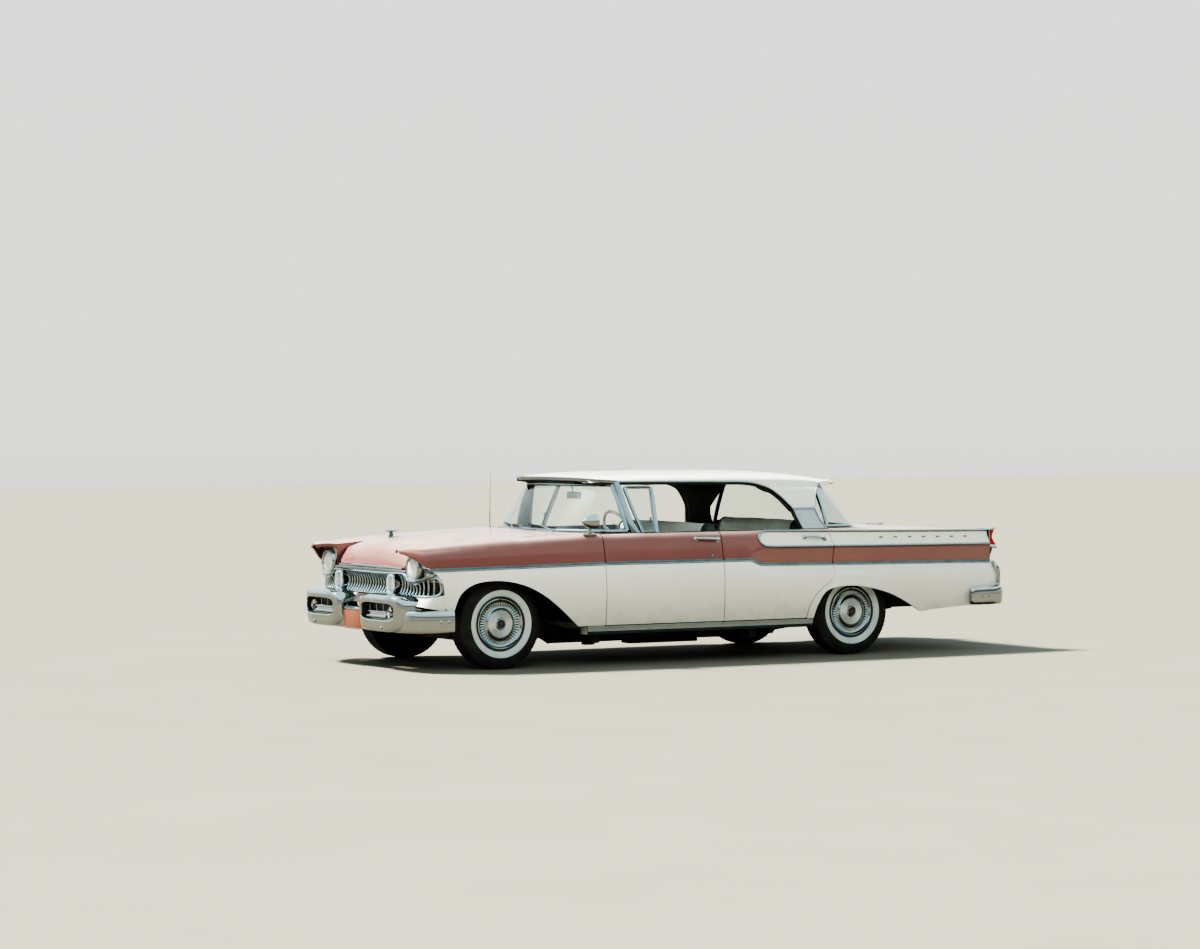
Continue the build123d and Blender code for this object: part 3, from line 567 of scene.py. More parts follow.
# white: strongly darkened towards the bottom, painted shade of the low panels with road dirt
WHITE = paint("white_enamel", (.800, .785, .700), (.770, .750, .660), (.830, .815, .740), top_dust_and_highlight=(.80, .77, .68), dust=.30, low_shade_amount=.85)
SILVER = metal("silver_panel", (.62, .64, .63), (.52, .54, .53), rough=(.34, .46), scale=14, brushed=(2, 2, 60))
# tints multiplied into bright metal by facing: painted shade on hanging and sideways faces, painted sky reflection on
# upward faces, with some road film
SKY_SHADE_TINT = ((.16, .15, .14), (.35, .35, .335), (.82, .97, 1.0))
COVER_SKY_SHADE_TINT = ((.22, .215, .20), (.48, .48, .46), (.80, .96, 1.0))
CHROME = metal("chrome_plate", (.88, .90, .90), (.78, .81, .82), rough=(.03, .10), pits=.20, sky_and_shade_tint=SKY_SHADE_TINT)
STAINLESS = metal("stainless_trim", (.62, .67, .69), (.50, .55, .57), rough=(.08, .20), brushed=(3, 60, 60), sky_and_shade_tint=SKY_SHADE_TINT)
CHANNEL = metal("strip_channel_blue_grey", (.16, .20, .23), (.10, .13, .15), rough=(.29, .42))
SATIN = metal("satin_plate", (.60, .60, .58), (.46, .46, .45), rough=(.29, .44), brushed=(3, 30, 80))
COVER = metal("wheel_cover_plate", (.60, .65, .66), (.46, .51, .53), rough=(.05, .14), sky_and_shade_tint=COVER_SKY_SHADE_TINT)
BLACK_RUBBER = grit("tyre_black", (.018, .017, .016), (.011, .011, .011), (.034, .032, .030), rough=(.62, .88), scale=60, bmp=.12)
# whitewall toned down to grey-green: painted shade, the white rubber as it looks out of the sun
WHITEWALL_SHADE_TONED = grit("whitewall_rubber_painted_shade", (.47, .53, .50), (.40, .45, .42), (.53, .59, .56), rough=(.5, .75), scale=46, bmp=.05)
SEAL = grit("weather_seal", (.022, .022, .022), (.012, .012, .012), (.05, .048, .045), rough=(.55, .8), scale=60, bmp=.2)
UNDER = grit("chassis_black", (.030, .028, .026), (.014, .013, .012), (.075, .066, .054), rough=(.55, .9), scale=24, bmp=.35, dust=(.16, .14, .11))
CAST = grit("cast_iron", (.12, .13, .13), (.06, .065, .065), (.19, .195, .19), rough=(.5, .8), scale=40, bmp=.5, metallic=.6, dust=(.17, .15, .12))
SPRING = grit("spring_steel_grey", (.05, .044, .038), (.028, .025, .022), (.09, .070, .052), rough=(.5, .8), scale=34, bmp=.35, metallic=.7)
# exhaust scale made very dark: partly its own dark scale, partly painted shade of the underside
RUST_AND_SHADE = grit("exhaust_scale_and_painted_shade", (.060, .042, .032), (.030, .022, .018), (.105, .070, .046), rough=(.7, .95), scale=44, bmp=.6, metallic=.25)
# tank given a near-black colour instead of tinned grey: painted shade of the space under the car
TANK_SHADE_DARKENED = grit("tinned_tank_painted_shade", (.040, .040, .038), (.022, .022, .021), (.075, .074, .070), rough=(.4, .7), scale=30, bmp=.2, metallic=.8)
ENGINE_PAINT = grit("engine_enamel", (.05, .10, .13), (.03, .06, .08), (.08, .15, .18), rough=(.35, .6), scale=26, bmp=.3)
PALE_CLOTH = cloth("seat_cloth_grey_green", (.54, .59, .53), (.44, .49, .44), (.62, .67, .61), stripe=(.70, .74, .68))
SEAT_VINYL = vinyl("seat_vinyl_dark", (.040, .055, .055), (.028, .038, .038), (.075, .095, .095))
DOOR_VINYL = vinyl("door_vinyl_green", (.16, .21, .20), (.12, .16, .15), (.21, .26, .25))
IVORY = vinyl("ivory_plastic_moulded", (.88, .86, .77), (.82, .79, .69), (.92, .90, .83), rough=(.285, .38), grain=20, coat=.6)
DASH = paint("dash_enamel", (.16, .20, .20), (.12, .16, .16), (.21, .26, .25), dust=.12, rough=.35)
TRIM = vinyl("dark_trim_board", (.020, .021, .022), (.013, .014, .015), (.036, .038, .038), rough=(.5, .78))
HEADLINER = cloth("headlining", (.075, .08, .078), (.055, .06, .058), (.10, .105, .10), scale=300, sheen=.1)
CARPET = cloth("carpet_pile", (.045, .055, .052), (.025, .032, .03), (.08, .095, .09), scale=180, sheen=.4)
GLASS = glass("window_glass_tint", (.90, .965, .945))
# parking lens tinted grey: painted shade, so the lamp reads dark inside its slot
PARK_LENS = glass("parking_lens_shade_grey", (.62, .62, .56), rough=.12, smear=.10)
RED_LENS = glass("red_lens_ribbed", (.60, .018, .014), rough=.08, smear=.05)
next(n for n in RED_LENS.node_tree.nodes if n.type == "BSDF_PRINCIPLED").inputs["Transmission Weight"].default_value = .45
AMBER = vinyl("orange_plate_enamel", (.175, .054, .028), (.155, .047, .024), (.20, .064, .034), rough=(.3, .5), grain=40)
RED_DOT = vinyl("red_enamel_dot", (.20, .02, .02), (.15, .012, .012), (.26, .03, .025), rough=(.29, .38), grain=20)
BLACK_PAINT = grit("gloss_black_enamel", (.022, .022, .023), (.012, .012, .012), (.040, .040, .040), rough=(.29, .44), scale=24, bmp=.10)
DISC_GREY = metal("spun_disc", (.62, .66, .66), (.50, .54, .55), rough=(.285, .40), brushed=(60, 60, 60))


def lens_mat():
    """Pressed headlamp glass: vertical flutes; the glass is given a near-white, mostly opaque colour, a painted
    reflection of the bright bowl behind it.
    """
    m, nt, p = new_mat("headlamp_lens_painted_bright")
    co = coords(nt)
    w = node(nt, "ShaderNodeTexWave", wave_type="BANDS", bands_direction="Y", ins={"Vector": co, "Scale": 34.0, "Distortion": .15}).outputs["Fac"]
    p.inputs["Transmission Weight"].default_value = .30
    p.inputs["IOR"].default_value = 1.5
    nt.links.new(ramp(nt, noise_tex(nt, co, 20, 3), [(.3, (.90, .92, .88)), (.7, (.97, .98, .95))]), p.inputs["Base Color"])
    nt.links.new(vrange(nt, w, 0, 1, .06, .22), p.inputs["Roughness"])
    nt.links.new(bump(nt, w, .5, .003), p.inputs["Normal"])
    return m


LENS = lens_mat()

def cowl_mat():
    """Body colour above the hood line, sprayed black below it."""
    m = CORAL.copy()
    m.name = "cowl_enamel_and_black"
    nt = m.node_tree
    p = next(n for n in nt.nodes if n.type == "BSDF_PRINCIPLED")
    src = p.inputs["Base Color"].links[0].from_socket
    wob = vrange(nt, noise_tex(nt, coords(nt), 9, 3), .3, .7, -.01, .01)
    f = vrange(nt, math_node(nt, "ADD", height_z(nt), wob), .925, .935, 0, 1)
    nt.links.new(mixc(nt, f, (.020, .019, .018), src), p.inputs["Base Color"])
    return m


COWL = cowl_mat()

# materials of the CAD nodes that stay in view
NODE_MATS = {
    "inner_fenders": UNDER, "cowl_and_firewall": COWL, "radiator_and_support": UNDER, "sills_and_centre_posts": WHITE,
    "parcel_shelf": HEADLINER, "floor_pan": CARPET, "frame": UNDER, "engine_and_driveline": ENGINE_PAINT, "rear_axle": UNDER,
    "leaf_springs": SPRING, "control_arms": SPRING, "exhaust": RUST_AND_SHADE, "fuel_tank": TANK_SHADE_DARKENED, "dashboard_and_column": DASH,
    "knuckle_right": CAST, "knuckle_left": CAST,
}


def under_and_over(name, top, bottom_col):
    """Pile on the upper side of a sheet and sprayed underseal below it."""
    m = top.copy()
    m.name = name
    nt = m.node_tree
    p = next(n for n in nt.nodes if n.type == "BSDF_PRINCIPLED")
    src = p.inputs["Base Color"].links[0].from_socket
    f = vrange(nt, up_facing(nt), -.2, .3, 0, 1)
    nt.links.new(mixc(nt, f, bottom_col, src), p.inputs["Base Color"])
    return m


NODE_MATS["floor_pan"] = under_and_over("floor_pile_and_underseal", CARPET, (.022, .021, .02))
for n, o in NODES.items():
    if n in NODE_MATS:
        for s in o.material_slots:
            s.material = NODE_MATS[n]
        if not o.material_slots:
            o.data.materials.append(NODE_MATS[n])


# ------------------------------------------------------------------ the body side
def insert_edges(x):
    """Lower and upper edge of the pale side panel, a bullet shape from its tip at 2177 back to the tail."""
    lo = float(np.interp(x, [2177, 2250, 2330, 4250, 4420], [864, 862, 858, 840, 838]))
    hi = float(np.interp(x, [2177, 2290, 4420], [977, 976, 942]))
    if x <= 2177:
        return None
    if x < 2257:
        k = math.sqrt(max(1 - ((2257 - x) / 80.0) ** 2, 0))
        zc, h = (lo + hi) / 2, (hi - lo) / 2 * k
        return zc - h, zc + h
    return lo, hi


def lower_ctrl(x):
    r = row_at(x)
    w, zs, s1 = r["w"], r["zs"], r["s1"]
    return [(w - 40, 228), (w - 30, 262), (w - 14, 335), (w - 3, 450), (w, 560), (w - 5, zs - 92), (w - s1 * .80, zs - 36),
            (w - s1, zs - 14), (w - (s1 + r["s2"]) / 2 - (1 if x < 2100 else -4), (zs + r["zb"]) / 2), (w - r["s2"], r["zb"]),
            (w - (r["s2"] * .55 + r["s3"] * .45), r["zb"] + (r["zt"] - 32 - r["zb"]) * .55), (w - r["s3"], r["zt"] - 32), (w - r["s3"] * .55 - r["s4"] * .45, r["zt"] - 10), (w - r["s4"], r["zt"])]


TIP = -778.0
NOSE = -640.0
TIP_CTRL = [(752, 860), (752, 863), (752, 866), (752, 868), (752, 870), (751, 872), (750, 875), (749, 878), (747, 881), (745, 884),
            (741, 888), (736, 891), (728, 894), (718, 897), (702, 898), (687, 895), (676, 890)]


def fender_inner(x):
    t = min(max((x + 640) / 1160.0, 0), 1)
    return 588 + 84 * t + 3.5, 893 + 90 * t


def top_ctrl(x, kind):
    r = row_at(x)
    y7, z7 = r["w"] - r["s4"], r["zt"]
    if kind == "fender":
        yi, zi = fender_inner(x)
        return [(y7 * .72 + yi * .28, z7 * .72 + zi * .28 + 7), (y7 * .3 + yi * .7, z7 * .3 + zi * .7 + 7), (yi, zi)]
    if kind == "door":
        return [(r["w"] - 108, z7 - 1), (r["w"] - 111, z7 - 6)]
    ie = INNER_EDGE_Y(x)
    zi = INNER_EDGE_Z(x)
    return [(y7 * .75 + ie * .25, z7 * .75 + zi * .25 + 4), (y7 * .35 + ie * .65, z7 * .35 + zi * .65 + 5), (ie, zi)]


def INNER_EDGE_Y(x):
    xs = [2575, 2860, 3010, 3160, 3280, 3425, 4395]
    ys = [836, 836, 822, 745, 655, 647, 617]
    return smooth_table(xs, ys, x)


def INNER_EDGE_Z(x):
    return smooth_table([2575, 2860, 3160, 3300, 3425, 4000, 4395], [984, 985, 984, 978, 966, 950, 934], x)


_sec = {}


def section(x, kind):
    """Dense (y, z) line of the body at x, from the sill up and over to the inner edge, with its z row marks."""
    key = (round(x, 2), kind)
    if key not in _sec:
        if x < NOSE:
            base = lower_ctrl(NOSE) + top_ctrl(NOSE, "fender")
            e = (NOSE - x) / (NOSE - TIP)
            k = e ** 1.25
            c = np.array(base) * (1 - k) + np.array(TIP_CTRL) * k
            c[:, 1] += 6 * math.sin(math.pi * e) * np.linspace(0, 1, len(c))
        else:
            c = np.array(lower_ctrl(x) + top_ctrl(x, kind))
        _sec[key] = cr(c, 8)
    return _sec[key]


def side_y(x, z, kind="door", bowl=True):
    d = section(x, kind)
    top = int(np.argmax(d[:, 1] > d[:, 1].max() - 2.0))
    zz = np.maximum.accumulate(d[:top + 1, 1] + np.arange(top + 1) * 1e-6)
    y = float(np.interp(z, zz, d[:top + 1, 0]))
    if bowl:
        e = insert_edges(x)
        if e and e[0] < z < e[1]:
            v = (z - (e[0] + e[1]) / 2) / ((e[1] - e[0]) / 2)
            y -= 15.0 * min((e[1] - e[0]) / 112.0, 1) * (1 - v * v)
    return y


def side_n(x, z, kind="door"):
    h = 3.0
    dyx = (side_y(x + h, z, kind, False) - side_y(x - h, z, kind, False)) / (2 * h)
    dyz = (side_y(x, z + h, kind, False) - side_y(x, z - h, kind, False)) / (2 * h)
    n = np.array([-dyx, 1.0, -dyz])
    return n / np.linalg.norm(n)


def dist_to(curve, x, z):
    d = np.hypot(curve[:, 0] - x, curve[:, 1] - z)
    return float(d.min())


NA, NB, NC, ND = 16, 5, 9, 9


def column(x, zb, kind, flare=None, flange=20.0, ztop=None):
    """The points of one panel column: a turned-in lip, then rows up to the strip, the band, the insert and over the top."""
    r = row_at(max(x, NOSE))
    d = section(x, kind)
    ztopmax = d[:, 1].max()
    e = insert_edges(x)
    full_lo = float(np.interp(x, [2177, 2250, 2330, 4250, 4420], [864, 862, 858, 840, 838]))
    lo, hi = full_lo, min(float(np.interp(x, [2177, 2290, 4420], [977, 976, 942])), r["zt"] - 4)
    if x < NOSE:
        k = ((NOSE - x) / (NOSE - TIP)) ** 1.25
        lo, hi = lo * (1 - k) + 872 * k, hi * (1 - k) + 886 * k
        hi = min(hi, ztopmax - 2.2)
        lo = min(lo, hi - 5)
    zs = r["zs"] - 15
    z = list(np.linspace(zb, zs, NA)) + list(np.linspace(zs, lo, NB + 1)[1:]) + list(np.linspace(lo, hi, NC + 1)[1:])
    for k in range(1, len(z)):
        z[k] = max(z[k], z[k - 1] + .35)
    over = [k for k in range(len(z)) if z[k] > hi]
    for k in over:
        z[k] = hi
    for k in range(len(z) - 2, -1, -1):
        z[k] = min(z[k], z[k + 1] - .3)
    pts = []
    for zz in z:
        y = side_y(x, zz, kind, kind != "fender")
        if flare is not None:
            y += 13.0 * math.exp(-(dist_to(flare, x, zz) / 40.0) ** 2)
        pts.append((x, y, zz))
    # over the top by length along the line
    top = int(np.argmax(d[:, 1] > d[:, 1].max() - 2.0))
    zz = np.maximum.accumulate(d[:top + 1, 1] + np.arange(top + 1) * 1e-6)
    start = np.array([np.interp(z[-1], zz, d[:top + 1, 0]), z[-1]])
    rest = np.vstack([start, d[np.searchsorted(zz, z[-1] + .2):]])
    s = np.r_[0, np.cumsum(np.hypot(*np.diff(rest, axis=0).T))]
    for q in np.linspace(0, s[-1], ND + 1)[1:]:
        pts.append((x, np.interp(q, s, rest[:, 0]), np.interp(q, s, rest[:, 1])))
    lip = [(x, pts[0][1] - flange, pts[0][2] + 1.5), (x, pts[0][1] - flange * .35, pts[0][2] - .5), (x, pts[0][1] - 2.5, pts[0][2] - .5)]
    if kind != "door":
        last = pts[-1]
        pts.append((x, last[1] - 1.5, last[2] - 3))
        pts.append((x, last[1] - 1.5, last[2] - 24))
    return lip + pts


def split_rows():
    return 3 + NA - 1, 3 + NA + NB - 1, 3 + NA + NB + NC - 1    # strip, insert low, insert high


def panel_mat(xs):
    s, lo, hi = split_rows()

    def fm(i, j):
        x = (xs[j] + xs[j + 1]) / 2
        if x < -628:
            return 0
        if i < s:
            return 1
        e = insert_edges(x)
        if e and lo <= i < hi:
            full = (float(np.interp(x, [2177, 2250, 2330, 4250, 4420], [864, 862, 858, 840, 838])), float(np.interp(x, [2177, 2290, 4420], [977, 976, 942])))
            zc = full[0] + (full[1] - full[0]) * ((i - lo + .5) / (hi - lo))
            return 1 if e[0] - 3 <= zc <= e[1] + 3 else 0
        return 0
    return fm


def flange_cols(g, depth, first=True, last=True):
    """Turned-in edges on the first and last column."""
    cols = [g]
    if first:
        a = g[:, :1].copy(); b = a.copy()
        a[:, :, 1] -= 2.5
        a[:, :, 0] -= .3
        b[:, :, 1] -= depth
        cols = [b, a] + cols
    if last:
        a = g[:, -1:].copy(); b = a.copy()
        a[:, :, 1] -= 2.5
        a[:, :, 0] += .3
        b[:, :, 1] -= depth
        cols = cols + [a, b]
    return np.concatenate(cols, axis=1)


# the fenders: nose cut-out, arch, and the visor over each lamp, as one sheet
NOSE_EDGE = cr([(TIP, 862), (-760, 856), (-730, 840), (-688, 806), (-640, 768), (-604, 742), (-566, 718), (-535, 682), (-516, 634), (-508, 566), (-502, 470), (-478, 438)], 6)
arch_f = cr(FRONT_ARCH, 7)
arch_f = arch_f[arch_f[:, 1] > 436]
arch_f2 = cr(FRONT_ARCH, 7)
tail_part = arch_f2[(arch_f2[:, 0] > 464) & (arch_f2[:, 1] > 306)]
front_cols = [tuple(p) for p in NOSE_EDGE if p[0] < -480] + [(-470, 437)] + [tuple(p) for p in arch_f2 if p[1] > 437 or p[0] > 300]
front_cols = [p for p in front_cols if p[0] < 574 and p[1] >= 306] + [(578, 306)] + [(x, 306) for x in np.linspace(600, 808.5, 12)]
front_cols = sorted({(round(float(a), 2), round(float(b), 2)) for a, b in front_cols})
fx = [p[0] for p in front_cols]
g = np.array([column(x, zb, "fender", flare=arch_f2) for x, zb in front_cols]).transpose(1, 0, 2)
g = flange_cols(g, 26, first=False)
fxs = fx + [fx[-1] + .3, fx[-1] + .31]
for side, mir, sg in SIDES:
    v, f, m = shell(g, 4.0, flip=True, fm=panel_mat(fxs), inner_mat=2)
    m = [0 if (mm == 2 and np.mean([v[i][0] for i in q]) < -575) else mm for q, mm in zip(f, m)]
    ob = add("fender_" + side, v, f, [CORAL, WHITE, UNDER], "body", m, mirror=mir, recalc=True, auto=40)
    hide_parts("front_fenders")

# the closed nose of each visor
for side, mir, sg in SIDES:
    rim = np.array([(y, z) for y, z in section(TIP, "fender") if z > 861])
    c = rim.mean(0)
    V = []
    for k, (dx, s) in enumerate(((.5, 1.0), (-1.8, .93), (-3.4, .72), (-4.2, .35), (-4.4, .02))):
        V += [(TIP + dx, c[0] + (p[0] - c[0]) * s, c[1] + (p[1] - c[1]) * s) for p in rim]
    n = len(rim)
    F = [(k * n + i, k * n + (i + 1) % n, (k + 1) * n + (i + 1) % n, (k + 1) * n + i) for k in range(4) for i in range(n)]
    add("visor_nose_" + side, np.array(V), F, CORAL, "body", mirror=mir, recalc=True)

# inner wall of each fender beside the hood, down to the grille
for side, mir, sg in SIDES:
    G = []
    for x in np.linspace(-637, -300, 26):
        yi, zi = fender_inner(x)
        G.append([(x, yi - 1.6 + .4 * t, zi - 6 - t * (zi - 6 - 690)) for t in np.linspace(0, 1, 10)])
    G = np.array(G).transpose(1, 0, 2)
    v, f, m = shell(G, 3.0, flip=True)
    add("fender_inner_wall_" + side, v, f, CORAL, "body", mirror=mir, recalc=True)

# ------------------------------------------------------------------ doors
DOOR_SPANS = {"front": (815.5, 1836.5), "rear": (1843.5, 2846.0)}


def door_cols(which):
    a, b = DOOR_SPANS[which]
    if which == "front":
        return [(x, 308.0) for x in np.linspace(a, b, 44)]
    cols = [(x, 308.0) for x in np.linspace(a, 2100, 12)] + [(x, 308.0) for x in np.linspace(2112, 2300, 26)]
    cols += [(x, 308.0) for x in np.linspace(2320, 2580, 10)]
    s = cr(REAR_SHUT, 6)
    cols += [(float(x), max(float(z), 308.0)) for x, z in s if x > 2586 and x < 2845.5] + [(2846.0, 664.0)]
    return sorted({(round(x, 2), round(z, 2)) for x, z in cols})


def door_grid(which):
    cols = door_cols(which)
    g = np.array([column(x, zb, "door", flange=12) for x, zb in cols]).transpose(1, 0, 2)
    inner = g.copy()
    nr = g.shape[0]
    for j, (x, zb) in enumerate(cols):
        w = row_at(x)["w"]
        for i in range(nr):
            z = min(max(g[i, j, 2], zb + 3), 971 - (nr - 1 - i) * .4)
            yi = w - 110 if z > 380 else w - 110 + (380 - z) * .25
            inner[i, j] = (x + (1.2 if j == 0 else -1.2 if j == len(cols) - 1 else 0), min(yi, g[i, j, 1] - 3), z)
    return g, inner, [c[0] for c in cols]


BODY_OF = {("front", "right"): "front_door_right_leaf", ("front", "left"): "front_door_left_leaf",
           ("rear", "right"): "rear_door_right_leaf", ("rear", "left"): "rear_door_left_leaf"}
for which in ("front", "rear"):
    g, inner, xs = door_grid(which)
    for side, mir, sg in SIDES:
        v, f, m = shell(g, 0, inner=inner, flip=True, fm=panel_mat(xs), inner_mat=2)
        ob = add("%s_door_%s_skin" % (which, side), v, f, [CORAL, WHITE, DOOR_VINYL], BODY_OF[which, side], m, mirror=mir, recalc=True, auto=40)
        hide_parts("%s_door_%s" % (which, side))


def on_side(x, z, off, kind="door"):
    """A point off the body side by off, along its normal."""
    n = side_n(x, z, kind)
    return np.array([x, side_y(x, z, kind), z]) + n * off, n


def side_sweep(pts, prof, kind="door", off=0.0, closed=False):
    P, N = [], []
    for x, z in pts:
        p, n = on_side(x, z, off, kind)
        P.append(p)
        N.append(n)
    return sweep(np.array(P), prof, np.array(N), closed=closed)


# door trim panels, arm rests, handles and winders, on the inside
def door_inside(which, side, mir):
    a, b = DOOR_SPANS[which]
    body = BODY_OF[which, side]
    w = 886.0
    parts = []
    # padded panel with vertical pleats above a plain kick panel
    x0, x1 = (a + 34, b - 34) if which == "front" else (a + 34, 2560)
    xs, zs = np.linspace(x0, x1, 90), np.linspace(0, 1, 22)
    G = np.zeros((22, 90, 3))
    for i, s in enumerate(zs):
        z = 560 + s * 385
        for j, x in enumerate(xs):
            e = min(x - x0, x1 - x, (z - 560) * 1.0, 945 - z)
            ease = min(max(e, 0) / 26.0, 1) ** .5
            pleat = 2.4 * abs(math.sin(math.pi * (x - x0) / 46.0)) ** .5 if 600 < z < 900 else 2.4
            G[i, j] = (x, w - 2.5 - (4 + 6 * ease + pleat * ease), z)
    v, f, m = shell(G, 4.0, inner=np.stack([G[:, :, 0], np.full(G.shape[:2], w + 1.0), G[:, :, 2]], 2), flip=False)
    pan = add("%s_door_%s_pleated_panel" % (which, side), v, f, PALE_CLOTH, body, mirror=mir, recalc=True)
    # kick panel with a bright edge
    v, f = rbox(((x0 + x1) / 2, w - 4.5, 450), (x1 - x0, 9, 190), 4)
    add("%s_door_%s_kick_panel" % (which, side), v, f, DOOR_VINYL, body, mirror=mir)
    v, f = sweep(np.array([(x, w - 11, 553) for x in np.linspace(x0, x1, 12)]), ring_prof(4, 8, 7), (0, -1, 0))
    add("%s_door_%s_bright_moulding" % (which, side), v, f, CHROME, body, mirror=mir, recalc=True)
    # arm rest
    xm = (x0 + x1) / 2 + (60 if which == "front" else 0)
    pr = np.array([(0, -30), (46, -30), (58, -18), (60, 4), (52, 20), (30, 26), (0, 26)])
    path = np.array([(x, w - 8, 690 + 8 * math.sin((x - xm + 170) / 340 * math.pi)) for x in np.linspace(xm - 170, xm + 170, 24)])
    sc = np.array([max(.25, min(1, math.sqrt(max(1 - ((x - xm) / 176.0) ** 4, 0)))) for x in path[:, 0]])
    v, f = sweep(path, pr, (0, -1, 0), scale=sc)
    rest = add("%s_door_%s_arm_rest" % (which, side), v, f, SEAT_VINYL, body, mirror=mir, recalc=True, auto=50)
    # remote handle and winder
    bits = []
    for hx, hz, ang, L in ((x0 + 150, 770, 8, 105), (x1 - 190, 600, -60, 120)):
        bits.append(lathe([(0, 0), (0, 22), (-5, 24), (-10, 20), (-14, 12), (-14, 0)], (hx, w - 12, hz), (0, 1, 0), 24))
        ca, sa = math.cos(math.radians(ang)), math.sin(math.radians(ang))
        pth = np.array([(hx + t * L * ca, w - 24 - 14 * math.sin(t * math.pi * .5), hz + t * L * sa) for t in np.linspace(0, 1, 10)])
        bits.append(tube(pth, 5.5, 10))
        bits.append(lathe([(-20, 0), (-20, 8), (-14, 11), (6, 9), (6, 0)], pth[-1], (0, 1, 0), 16))
    v, f, m = join(bits)
    add("%s_door_%s_handle_and_winder" % (which, side), v, f, CHROME, body, mirror=mir)
    # belt finisher at the window slot
    xs = np.linspace(a + 6, (b if which == "front" else 2600) - 6, 30)
    P = np.array([(x, row_at(x)["w"] - 107, 981) for x in xs])
    v, f = sweep(P, [(-5, -7), (-5, 5), (0, 8), (4, 6), (5, 0), (4, -7)], (0, 0, 1))
    add("%s_door_%s_window_slot_seal" % (which, side), v, f, SEAL, body, mirror=mir, recalc=True)


for which in ("front", "rear"):
    for side, mir, sg in SIDES:
        door_inside(which, side, mir)

# ------------------------------------------------------------------ quarters
arch_r = cr(REAR_ARCH, 7)
arch_r_top = arch_r[arch_r[:, 0] > 2853]


def quarter_bottom(x):
    if x < 3655:
        return float(np.interp(x, arch_r[:, 0], arch_r[:, 1]))
    return float(np.interp(x, [3655, 3760, 4000, 4200, 4400], [324, 336, 352, 360, 372]))


TAIL_PROFILE = [(4386, 380), (4420, 430), (4442, 505), (4448, 560), (4446, 610), (4436, 650), (4412, 690), (4388, 716), (4382, 760), (4386, 838), (4384, 940)]
tp = np.array(TAIL_PROFILE, float)


def tail_x(z):
    return float(np.interp(z, tp[:, 1], tp[:, 0]))


qx = [2853.0] + [float(p[0]) for p in arch_r_top if p[0] > 2856 and p[0] < 3650] + list(np.linspace(3665, 4240, 34))
qg = [column(x, quarter_bottom(x), "quarter", flare=arch_r if x < 3720 else None) for x in qx]
ends = np.linspace(0, 1, 11)[1:]
for t in ends:
    base = column(4240 + 150 * t, quarter_bottom(4240 + 150 * t), "quarter")
    col = []
    for (x, y, z) in base:
        xe = 4240 + (tail_x(min(max(z, 380), 940)) - 4240) * t
        tuck = 34.0 * t ** 4 * step(730, 640, z)
        col.append((xe, y - tuck, z))
    qg.append(col)
qxs = qx + [4240 + 150 * t for t in ends]
g = np.array(qg).transpose(1, 0, 2)
g = flange_cols(g, 24)
qxs = [qxs[0] - .31, qxs[0] - .3] + qxs + [qxs[-1] + .3, qxs[-1] + .31]
# the leg ahead of the wheel, under the shut line
leg_x = sorted({round(float(p[0]), 2) for p in arch_r if 2641 < p[0] < 2853} | {2853.0} | {round(x, 2) for x in np.linspace(2594, 2640, 5)})
shut = cr([(x + 7, z) for x, z in REAR_SHUT], 8)
L = []
for x in leg_x:
    zb = float(np.interp(x, arch_r[:, 0], arch_r[:, 1])) if x > 2641 else 304.0
    zb = max(zb, 304.0) if x < 2652 else zb
    zt = float(np.interp(x, shut[:, 0], shut[:, 1])) if x < 2852.5 else 672.0
    zt = max(zt, zb + 3)
    col = []
    ys = [side_y(x, zz, "quarter") + 13.0 * math.exp(-(dist_to(arch_r, x, zz) / 40.0) ** 2) for zz in np.linspace(zb, zt, 12)]
    zz = np.linspace(zb, zt, 12)
    col = [(x, ys[0] - 20, zb + 1.5), (x, ys[0] - 7, zb - .5), (x, ys[0] - 2.5, zb - .5)] + [(x, y, z) for y, z in zip(ys, zz)] + [(x, ys[-1] - 2.5, zt + .3), (x, ys[-1] - 22, zt + .3)]
    L.append(col)
leg = np.array(L).transpose(1, 0, 2)
leg = flange_cols(leg, 20, last=False)
for side, mir, sg in SIDES:
    v, f, m = shell(g, 4.0, flip=True, fm=panel_mat(qxs), inner_mat=2)
    v2, f2, m2 = shell(leg, 4.0, flip=True, inner_mat=2, fm=lambda i, j: 1)
    V_, F_, M_ = join([(v, f, m), (v2, f2, m2)])
    ob = add("quarter_" + side, V_, F_, [CORAL, WHITE, UNDER], "body", M_, mirror=mir, recalc=True, auto=40)
    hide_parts("quarter_panels_and_deck")

# ------------------------------------------------------------------ hood
HOOD = np.array([(-657, 516, 741, 757, 763), (-648, 536, 764, 788, 798), (-632, 552, 790, 824, 838), (-604, 567, 824, 868, 886), (-560, 583, 858, 906, 926), (-500, 590, 884, 932, 951),
                 (-400, 596, 903, 949, 966), (-250, 607, 918, 958, 974), (100, 634, 948, 976, 988), (518, 668, 983, 998, 1004)], float)
hood_line = cr(HOOD, 7)


def hood_z(row, y):
    x, hw, e, m, c = row
    s = min(abs(y) / hw, 1.0)
    d1, d2 = c - m, c - e
    a = (16 * d1 - d2) / 3.0
    ridge = 3.0 * math.exp(-(y / 34.0) ** 2) * step(-640, -480, x)
    return c - a * s * s - (d2 - a) * s ** 4 + ridge


def hood_top(x, y):
    k = [np.interp(x, hood_line[:, 0], hood_line[:, c]) for c in range(5)]
    return hood_z([x] + k[1:], y)


ss = np.sin(np.linspace(-1, 1, 41) * math.pi / 2)
G = np.array([[(r[0] + 14 * (1 - s * s) * -1 * step(-560, -655, r[0]) * 0 + (18 * s * s if r[0] < -600 else 18 * s * s * step(-540, -600, r[0])), s * r[1], hood_z(r, s * r[1])) for r in hood_line] for s in ss])
